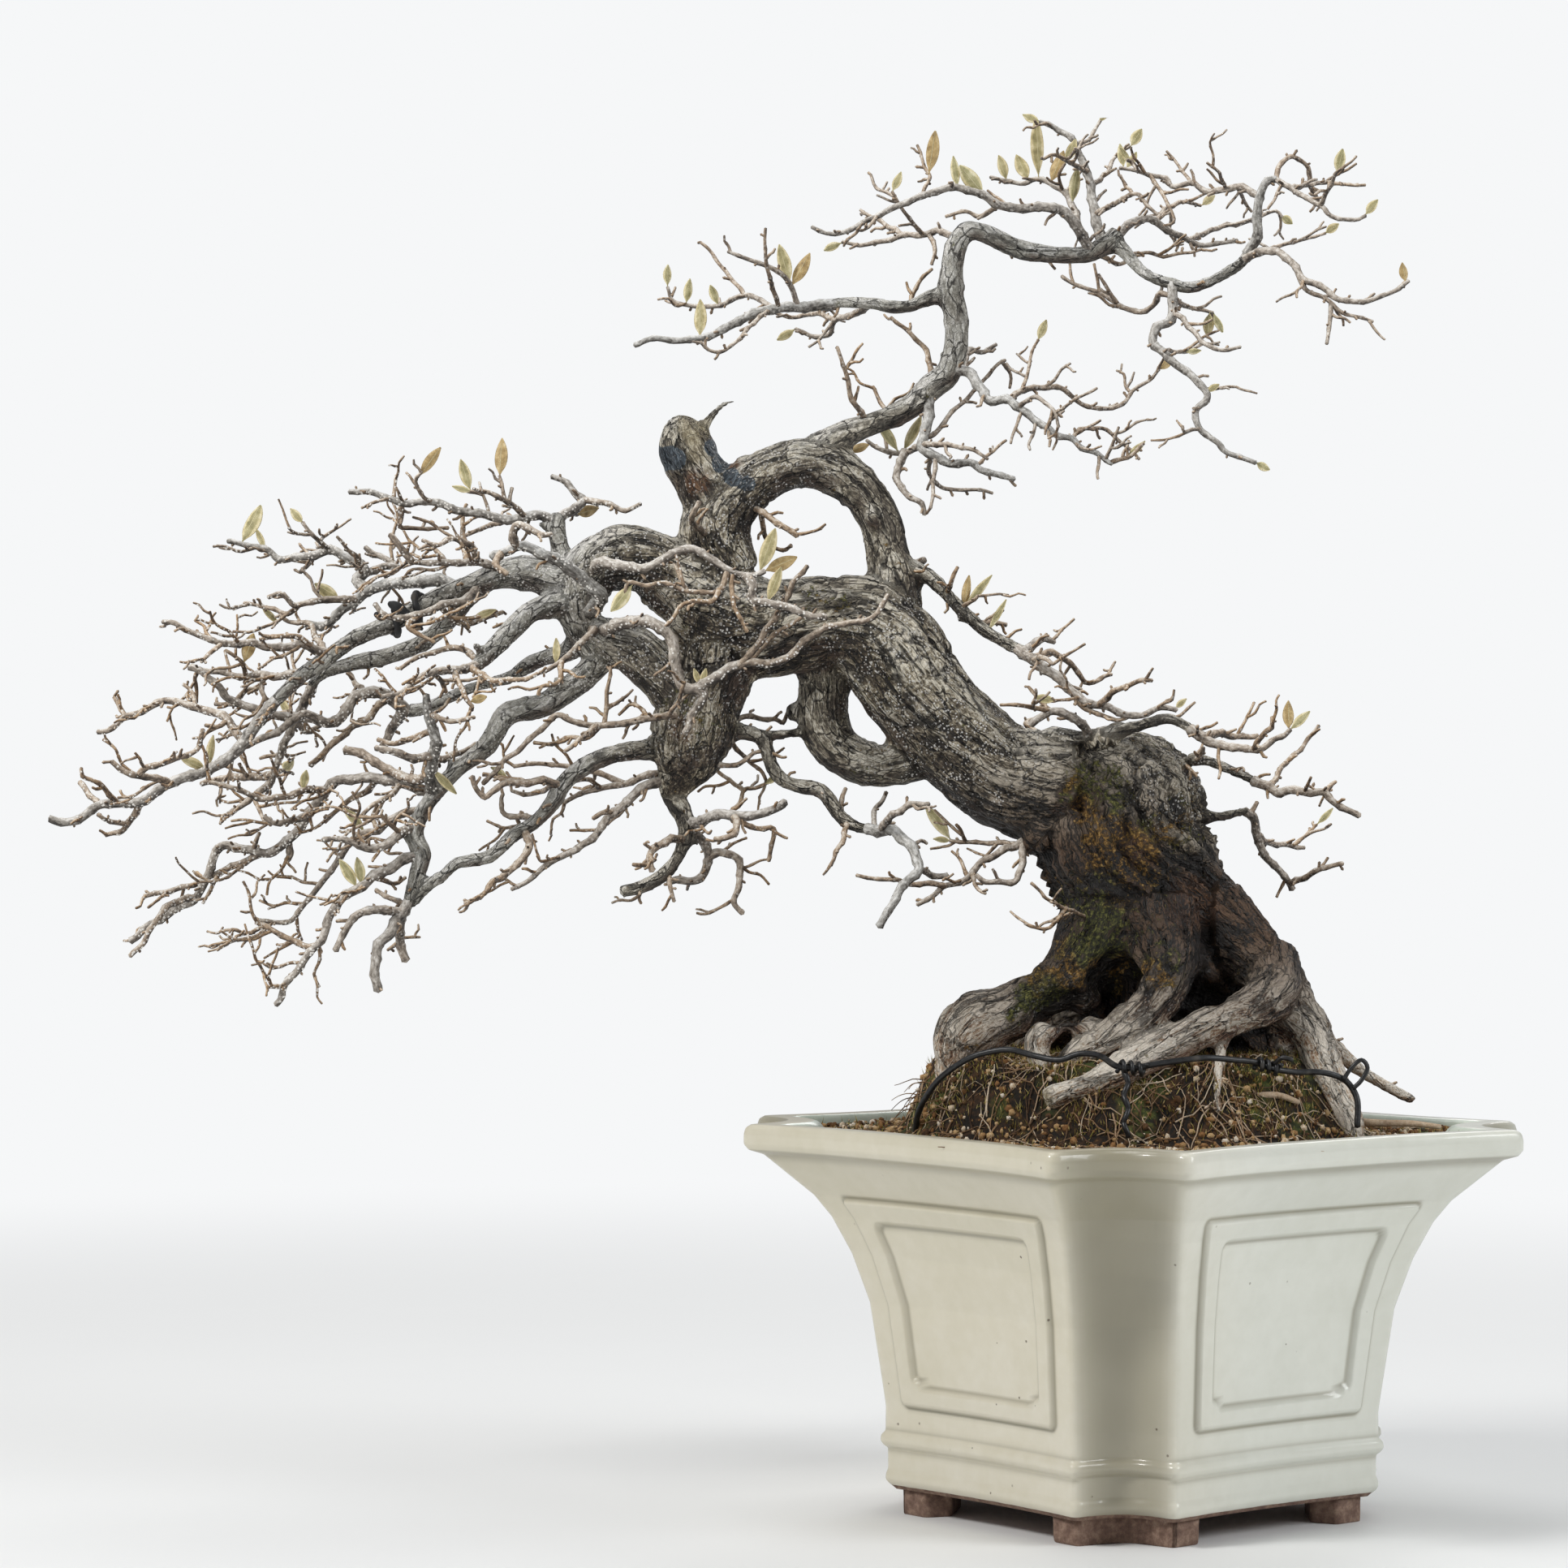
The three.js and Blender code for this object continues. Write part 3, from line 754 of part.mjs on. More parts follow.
/** Whether stops stay clear of all wood of other nodes, past a start inside what they grow from. */
function isClear(node, stops, start, startRadius) {
  const box = new THREE.Box3().setFromPoints(stops.map((stop) => stop.place));
  box.expandByScalar(stops[0].radius + SHOOT.clearance);
  for (const other of wood) {
    if (other.node === node || !other.box.intersectsBox(box)) continue;
    for (let i = 0; i + 1 < stops.length; i += 1) {
      const [a, b] = [stops[i], stops[i + 1]];
      if (b.place.distanceTo(start) < startRadius) continue;
      const inside = a.place.distanceTo(start) < startRadius;
      const from = inside ? a.place.clone().lerp(b.place, 0.7) : a.place;
      for (let j = 0; j + 1 < other.stops.length; j += 1) {
        const [c, d] = [other.stops[j], other.stops[j + 1]];
        const need = Math.max(a.radius, b.radius) + Math.max(c.radius, d.radius) + SHOOT.clearance;
        if (stretchDistance(from, b.place, c.place, d.place) < need) return false;
      }
    }
  }
  return true;
}

/** Lays a twig from its row, bent back or forward until it is clear of the other nodes. */
function layTwig(node, [step, gain, rootRadius, tipRadius, ...places], parent) {
  const root = nearestWood(parent, places[0], places[1]);
  const points = [];
  for (let i = 0; i < places.length; i += 2) points.push([places[i], places[i + 1]]);
  points[0] = [root[0], root[2]];
  const run = points.map((point, i) => {
    const before = points[Math.max(i - 1, 0)];
    return Math.hypot(point[0] - before[0], point[1] - before[1]);
  });
  const length = run.reduce((sum, part) => sum + part, 0);
  const reach = seen(root).place;
  const startRadius = root[3] + (parent === node ? 2 : 9);
  const spread = step ? 1 : TWIG.spread;
  const lineWith = (bend) => {
    let gone = 0;
    return points.map(([x, z], i) => {
      gone += run[i];
      const share = gone / length;
      const depth = root[1] + (i ? step : 0) + (spread * gain + bend) * (1 - (1 - share) ** 2);
      return [x, depth, z, lerp(rootRadius, tipRadius, share)];
    });
  };
  const clear = BEND_STEPS.find((bend) => isClear(node, lineWith(bend).map(seen), reach, startRadius));
  return addWood(node, lineWith(clear ?? 0));
}

/** Short side shoots at seeded places along the twigs of a node, where they are clear. */
function growShoots(node, twigs) {
  const draw = draws(seedOf(node));
  const shoots = [];
  for (const { stops } of twigs) {
    for (let i = 0; i + 1 < stops.length; i += 1) {
      const [a, b] = [stops[i], stops[i + 1]];
      const chance = draw() * SHOOT.spacing;
      const [turn, lean, size, share] = [draw() * 2 * Math.PI, draw(), draw(), draw()];
      if (chance > a.place.distanceTo(b.place) || b.radius > 3.2) continue;
      const along = b.place.clone().sub(a.place).normalize();
      const side = new THREE.Vector3(Math.cos(turn), Math.sin(turn), 0.35 * Math.sin(3 * turn));
      side.addScaledVector(along, -side.dot(along)).normalize();
      const heading = along.clone().multiplyScalar(0.35 + 0.5 * lean).add(side).normalize();
      const length = lerp(SHOOT.shortest, SHOOT.longest, size);
      const root = a.place.clone().lerp(b.place, share);
      const elbow = root.clone().addScaledVector(heading, length * 0.55);
      const rise = heading.clone().add(new THREE.Vector3(0, 0, lean - 0.3)).normalize();
      const tip = elbow.clone().addScaledVector(rise, length * 0.45);
      const path = [
        { place: root, radius: SHOOT.radius },
        { place: elbow, radius: lerp(SHOOT.radius, SHOOT.tip, 0.5) },
        { place: tip, radius: SHOOT.tip },
      ];
      if (isClear(node, path, root, 4)) shoots.push(addStops(node, path));
    }
  }
  return shoots;
}

// Pot

/** The plan of the pot at a reach from the axis: four bowed walls between four hollow grooves. */
function potPlan(reach, wallShares, grooveSteps) {
  const up = (reach - POT.baseReach) / (POT.rimReach - POT.baseReach);
  const groove = lerp(POT.baseGroove, POT.rimGroove, up);
  const bow = lerp(POT.baseBow, POT.rimBow, up);
  const flare = 2 + Math.max(up, 0);
  const plan = [];
  for (let corner = 0; corner < 4; corner += 1) {
    const angle = -Math.PI / 2 + POT.turn + (corner * Math.PI) / 2;
    const out = new THREE.Vector2(Math.cos(angle), Math.sin(angle));
    const side = new THREE.Vector2(-out.y, out.x);
    const at = (d, t) => out.clone().multiplyScalar(d).addScaledVector(side, t);
    for (let i = 0; i <= grooveSteps; i += 1) {
      const share = (2 * i) / grooveSteps - 1;
      const depth = POT.grooveDepth * groove * (1 - share * share);
      plan.push({ at: at(reach - depth, (share * groove) / 2), out, share: 1, groove: true });
    }
    const start = at(reach, groove / 2);
    const end = side.clone().multiplyScalar(reach).addScaledVector(out, groove / 2);
    const inward = out.clone().add(side).normalize().negate();
    for (const share of wallShares) {
      const along = start.clone().lerp(end, (share + 1) / 2);
      along.addScaledVector(inward, bow * (1 - Math.abs(share) ** flare));
      plan.push({ at: along, out: inward.clone().negate(), share: Math.abs(share), groove: false });
    }
  }
  return plan;
}

function potRing(reach, height, wallShares, grooveSteps, rise = () => 0) {
  return potPlan(reach, wallShares, grooveSteps).map((point) => {
    const place = point.at.clone().addScaledVector(point.out, point.groove ? 0 : rise(point.share, height));
    return new THREE.Vector3(place.x, place.y, height);
  });
}

/** The raised frame on each wall. */
function panelRise(share, height) {
  if (height < PANEL.bottom || height > PANEL.top || share > POT.panelOuter) return 0;
  const inField = height > PANEL.innerBottom && height < PANEL.innerTop && share < POT.panelInner;
  return inField ? 0 : POT.panelRise;
}

const WALL_SHARES = [-0.8, -0.785, -0.62, -0.605, 0, 0.605, 0.62, 0.785, 0.8];
const GROOVE_STEPS = 3;
const PLAIN_SHARES = [-0.6, 0, 0.6];

function potFoot(corner) {
  const reach = POT.baseReach - 2 - POT.footInset;
  const half = POT.baseGroove / 2;
  const slant = POT.footReach * Math.SQRT1_2;
  const inset = POT.footThickness;
  const shape = new THREE.Shape([
    [reach - slant, half + slant], [reach - slant - inset, half + slant - inset * 0.4],
    [reach - slant - inset * 1.2, 0], [reach - slant - inset, -half - slant + inset * 0.4],
    [reach - slant, -half - slant], [reach, -half], [reach - 10, -half / 2], [reach - 13.5, 0],
    [reach - 10, half / 2], [reach, half],
  ].map(([d, t]) => new THREE.Vector2(d, t)));
  const geometry = new THREE.ExtrudeGeometry(shape, { depth: POT.footHeight + 1, bevelEnabled: false });
  geometry.rotateZ(-Math.PI / 2 + POT.turn + (corner * Math.PI) / 2);
  return solidOf(geometry);
}

function makePot() {
  const outside = loft(POT_OUTSIDE.map(([height, reach]) => (
    potRing(reach, height, WALL_SHARES, GROOVE_STEPS, panelRise)
  )));
  const rings = POT_INSIDE.map(([height, reach]) => potRing(reach, height, PLAIN_SHARES, GROOVE_STEPS));
  const [last] = rings.slice(-1);
  rings.push(last.map((place) => place.clone().setZ(POT.height + 1)));
  const drain = new THREE.CylinderGeometry(POT.drainRadius, POT.drainRadius, 30, 16).rotateX(Math.PI / 2);
  const feet = [0, 1, 2, 3].map(potFoot);
  const body = outside.subtract(loft(rings)).subtract(solidOf(drain.translate(0, 0, POT.floorTop)));
  return join([body, ...feet]);
}

function makeDrainMesh() {
  const middle = POT.floorTop + GAP + MESH.thickness / 2;
  const plate = new THREE.BoxGeometry(MESH.width, MESH.width, MESH.thickness).translate(0, 0, middle);
  const holes = [];
  for (let i = 0; i < MESH.holes; i += 1) {
    for (let j = 0; j < MESH.holes; j += 1) {
      const x = (i - (MESH.holes - 1) / 2) * MESH.pitch;
      const y = (j - (MESH.holes - 1) / 2) * MESH.pitch;
      const hole = new THREE.BoxGeometry(MESH.holeWidth, MESH.holeWidth, 2 * MESH.thickness);
      holes.push(solidOf(hole.translate(x, y, middle)));
    }
  }
  return solidOf(plate).subtract(join(holes));
}

// Soil

/** Height of the soil: level along the wall, with the root ball standing up in the middle. */
function soilHeight(x, y) {
  const distance = Math.hypot(x, y) || 1;
  const sideways = Math.abs(x / distance) ** 1.5;
  const shoulder = lerp(y < 0 ? SOIL.frontShoulder : SOIL.backShoulder, SOIL.sideShoulder, sideways);
  const foot = lerp(SOIL.frontFoot, SOIL.sideFoot, sideways);
  const share = THREE.MathUtils.smoothstep(foot - distance, 0, foot - shoulder);
  return lerp(SOIL.edge, SOIL.top, share);
}

function makeSoil(sunk) {
  const bottom = POT.floorTop + MESH.thickness + 2 * GAP + 0.2;
  const inner = POT_INSIDE.map(([height, reach]) => [Math.max(height, bottom), reach - SOIL.clearance]);
  const [heightBelow, reachBelow] = inner[inner.length - 2];
  const [heightAbove, reachAbove] = inner[inner.length - 1];
  const edgeShare = (SOIL.edge - heightBelow) / (heightAbove - heightBelow);
  const levels = [...inner.slice(0, -1), [SOIL.edge, lerp(reachBelow, reachAbove, edgeShare)]];
  const rings = levels.map(([height, reach]) => potRing(reach, height, PLAIN_SHARES, GROOVE_STEPS));
  const brim = rings[rings.length - 1];
  const draw = draws(11);
  for (const share of [...SOIL.rings].reverse()) {
    rings.push(brim.map((place) => {
      const [x, y] = [place.x * share, place.y * share];
      return new THREE.Vector3(x, y, soilHeight(x, y) + SOIL.roughness * (2 * draw() - 1));
    }));
  }
  return largest(loft(rings).subtract(sunk));
}

// Tie wire

function makeWire() {
  const run = (route) => {
    const curve = new THREE.CatmullRomCurve3(route.map(([x, y, z]) => seen([x, y, z]).place));
    const steps = Math.round(curve.getLength() / 13);
    const stops = curve.getSpacedPoints(steps).map((place) => ({ place, radius: WIRE.radius }));
    return (extra) => tube(stops, WIRE.sides, { extra });
  };
  const knot = ([x0, y0, z0, x1, y1, z1]) => {
    const stops = [seen([x0, y0, z0]), seen([x1, y1, z1])].map(({ place }) => ({ place, radius: 3.4 }));
    return (extra) => tube(stops, 8, { extra });
  };
  const pieces = [run(WIRE_ROUTE), run(WIRE_DROP), ...WIRE_KNOTS.map(knot)];
  return (extra) => join(pieces.map((piece) => piece(extra)));
}

/** Stops of the rubber tie that is wound around a limb. */
function strapStops() {
  const count = Math.round(STRAP.turns * STRAP.steps);
  const line = LIMBS[STRAP.limb];
  return Array.from({ length: count + 1 }, (_, i) => {
    const x = lerp(STRAP.from, STRAP.to, i / count);
    const at = line.findIndex((stop) => stop[0] < x);
    const [a, b] = [line[at - 1], line[at]];
    const centre = a.map((value, k) => lerp(value, b[k], (x - a[0]) / (b[0] - a[0])));
    const out = new THREE.Vector3(b[2] - a[2], 0, a[0] - b[0]).normalize();
    const angle = (2 * Math.PI * i) / STRAP.steps;
    const reach = (centre[3] + GAP + STRAP.radius) / Math.cos(Math.PI / STRAP.steps);
    const { place } = seen(centre);
    place.addScaledVector(out, reach * Math.cos(angle));
    place.y += reach * Math.sin(angle);
    return { place, radius: STRAP.radius };
  });
}

// Leaves

/** A leaf blade with six corners, folded along its rib, with its root inside the twig. */
function leafSolid(root, tip, width, roll) {
  const along = tip.clone().sub(root);
  const length = along.length();
  along.normalize();
  const side = new THREE.Vector3(0, 1, 0).cross(along).normalize().applyAxisAngle(along, roll);
  const face = along.clone().cross(side);
  const outline = [[0, 0], [0.38, 1], [0.74, 0.8], [1, 0], [0.74, -0.8], [0.38, -1]];
  const sheet = (lift) => outline.map(([share, across]) => (
    root.clone()
      .addScaledVector(along, share * length)
      .addScaledVector(side, (across * width) / 2)
      .addScaledVector(face, lift + LEAF.fold * width * Math.abs(across))
  ));
  const corners = [...sheet(LEAF.thickness / 2), ...sheet(-LEAF.thickness / 2)];
  const triangles = [[0, 3, 1], [1, 3, 2], [0, 5, 3], [5, 4, 3]];
  triangles.push(...triangles.map(([a, b, c]) => [a + 6, c + 6, b + 6]));
  for (let i = 0; i < 6; i += 1) {
    const next = (i + 1) % 6;
    triangles.push([i, next, next + 6], [i, next + 6, i + 6]);
  }
  return solid(corners, triangles);
}

function growLeaves(node, rows, shoots) {
  const draw = draws(seedOf(node) + 5);
  const blades = rows.map(([x0, z0, x1, z1, width]) => {
    const near = nearestWood(node, x0, z0);
    const [tilt, roll] = [draw() - 0.5, (draw() - 0.5) * 0.9];
    const depth = near[1] + tilt * 0.7 * Math.hypot(x1 - x0, z1 - z0);
    return leafSolid(seen(near).place, seen([x1, depth, z1]).place, width, roll);
  });
  shoots.forEach(({ stops: [elbow, end] }, i) => {
    const [pick, roll, size, swing] = [draw(), (draw() - 0.5) * 1.2, draw(), draw() - 0.5];
    if (pick > SHOOT.leafShare) return;
    const heading = end.place.clone().sub(elbow.place).normalize();
    heading.add(new THREE.Vector3(swing, swing * (i % 2 ? 1 : -1), 0.35)).normalize();
    const root = elbow.place.clone().lerp(end.place, 0.8);
    const length = lerp(12, 20, size);
    const tip = root.clone().addScaledVector(heading, length);
    const path = [root, tip].map((place) => ({ place, radius: length * 0.15 }));
    if (isClear(node, path, root, 2)) blades.push(leafSolid(root, tip, length * 0.3, roll));
  });
  return blades;
}

// The tree

const sidesFor = (radius) => BARK.sidesByRadius.find(([least]) => radius >= least)[1];

function limbSolid(line, seed, extra = 0) {
  const widest = Math.max(...line.map((stop) => stop[3]));
  const stops = simplified(line.map(seen), Math.max(BARK.tolerance, BARK.share * widest));
  return tube(stops, sidesFor(widest), { extra, roughness: widest > 8 ? BARK.roughness : 0, seed });
}

/** A twig starts as a point on the centre of what it grows from. */
function twigSolid({ stops }) {
  const [root, ...rest] = simplified(stops, TWIG.tolerance);
  const length = root.place.distanceTo(rest[0].place);
  const share = Math.min(TWIG.collar / length, 0.5);
  const collar = { place: root.place.clone().lerp(rest[0].place, share), radius: root.radius };
  return tube([root, collar, ...rest], root.radius > TWIG.stout ? 4 : 3, { rooted: true });
}

function makeTree() {
  const limbs = Object.values(LIMBS);
  limbs.forEach((line) => addWood('trunk', line));
  const strap = strapStops();
  addStops('branch_strap', strap);
  const trunkTwigs = TRUNK_TWIGS.map((row) => layTwig('trunk', row, 'trunk'));
  const nodes = {};
  for (const [node, rows] of Object.entries(SPRAYS)) {
    nodes[node] = rows.map((row, i) => layTwig(node, row, i ? node : 'trunk'));
  }
  const solids = {};
  for (const [node, twigs] of Object.entries(nodes)) {
    const shoots = growShoots(node, twigs);
    const leaves = growLeaves(node, LEAVES[node] ?? [], shoots);
    solids[node] = join([...twigs, ...shoots].map(twigSolid).concat(leaves));
  }
  const trunkLeaves = growLeaves('trunk', LEAVES.trunk, []);
  const trunk = join([
    ...limbs.map((line, i) => limbSolid(line, i + 1)),
    ...trunkTwigs.map(twigSolid),
    ...trunkLeaves,
  ]);
  const around = join(limbs.map((line, i) => limbSolid(line, i + 1, GAP + 0.1)));
  const cut = { trunk: largest(trunk) };
  for (const [node, body] of Object.entries(solids)) cut[node] = largest(body.subtract(around));
  return { cut, around, strap: tube(strap, STRAP.sides).subtract(around) };
}

// Materials and the group

const FINISH = {
  glaze: new THREE.MeshStandardMaterial({ color: 0xe6e1cc, roughness: 0.28, metalness: 0 }),
  bark: new THREE.MeshStandardMaterial({ color: 0x6d6558, roughness: 0.92, metalness: 0 }),
  twig: new THREE.MeshStandardMaterial({ color: 0x8a7764, roughness: 0.85, metalness: 0 }),
  soil: new THREE.MeshStandardMaterial({ color: 0x4b3b28, roughness: 1, metalness: 0 }),
  wire: new THREE.MeshStandardMaterial({ color: 0x141517, roughness: 0.35, metalness: 0.2 }),
  rubber: new THREE.MeshStandardMaterial({ color: 0x1b1b1c, roughness: 0.7, metalness: 0 }),
  plastic: new THREE.MeshStandardMaterial({ color: 0x1d1d1d, roughness: 0.6, metalness: 0 }),
};

function meshOf(name, body, material) {
  const { vertProperties, triVerts } = body.getMesh();
  const geometry = new THREE.BufferGeometry();
  geometry.setAttribute('position', new THREE.BufferAttribute(new Float32Array(vertProperties), 3));
  geometry.setIndex(new THREE.BufferAttribute(new Uint32Array(triVerts), 1));
  geometry.computeVertexNormals();
  const mesh = new THREE.Mesh(geometry, material);
  mesh.name = name;
  return mesh;
}

const { cut, around, strap } = makeTree();
const wire = makeWire();
const group = new THREE.Group();
group.add(meshOf('pot', makePot(), FINISH.glaze));
group.add(meshOf('drain_mesh', makeDrainMesh(), FINISH.plastic));
group.add(meshOf('soil', makeSoil(around.add(wire(GAP + 0.1))), FINISH.soil));
group.add(meshOf('tie_wire', wire(0), FINISH.wire));
group.add(meshOf('branch_strap', largest(strap), FINISH.rubber));
for (const [node, body] of Object.entries(cut)) {
  group.add(meshOf(node, body, node === 'trunk' ? FINISH.bark : FINISH.twig));
}

// The origin is at the middle of the whole plant's footprint, on the surface that it stands on
const bounds = new THREE.Box3().setFromObject(group);
group.position.set(-(bounds.min.x + bounds.max.x) / 2, -(bounds.min.y + bounds.max.y) / 2, 0);
group.updateMatrixWorld(true);

export default group;
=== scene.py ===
"""A variegated elaeagnus bonsai in its square glazed pot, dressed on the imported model.

Lengths are in millimetres from the pot's axis and foot, +X to the right and +Y to the back, until
a mesh is made in metres. A branch is a list of places on the front view's plane through the pot's
axis, and its depth moves it along the line of sight, as in the part's own source.
"""
import sys

import logging
import math
from collections.abc import Iterable
from dataclasses import dataclass, field
from enum import Enum, IntEnum

import bpy
import numpy as np
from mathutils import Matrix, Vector


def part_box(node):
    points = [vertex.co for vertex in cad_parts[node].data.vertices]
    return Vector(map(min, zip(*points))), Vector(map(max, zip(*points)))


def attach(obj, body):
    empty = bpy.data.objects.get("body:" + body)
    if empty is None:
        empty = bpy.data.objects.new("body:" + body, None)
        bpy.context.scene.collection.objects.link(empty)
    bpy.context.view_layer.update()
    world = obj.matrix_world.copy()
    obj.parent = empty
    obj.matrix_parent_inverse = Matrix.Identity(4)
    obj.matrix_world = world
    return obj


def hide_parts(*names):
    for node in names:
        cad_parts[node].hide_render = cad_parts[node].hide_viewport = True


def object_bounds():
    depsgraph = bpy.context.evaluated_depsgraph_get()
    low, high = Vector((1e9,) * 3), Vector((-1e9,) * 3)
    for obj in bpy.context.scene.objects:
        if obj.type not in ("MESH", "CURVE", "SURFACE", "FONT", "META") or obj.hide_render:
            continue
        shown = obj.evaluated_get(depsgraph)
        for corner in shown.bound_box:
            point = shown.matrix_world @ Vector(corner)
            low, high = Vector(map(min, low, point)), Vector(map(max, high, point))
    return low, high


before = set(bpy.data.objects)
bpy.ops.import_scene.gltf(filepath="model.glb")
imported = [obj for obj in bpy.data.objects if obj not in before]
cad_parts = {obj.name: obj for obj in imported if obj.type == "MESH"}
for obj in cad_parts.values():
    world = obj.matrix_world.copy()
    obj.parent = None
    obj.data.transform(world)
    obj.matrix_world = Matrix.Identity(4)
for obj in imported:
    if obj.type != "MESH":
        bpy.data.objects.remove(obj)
CAD_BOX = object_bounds()

LOG = logging.getLogger("bonsai")
Array = np.ndarray
Triple = tuple[float, float, float]
Colour = Triple

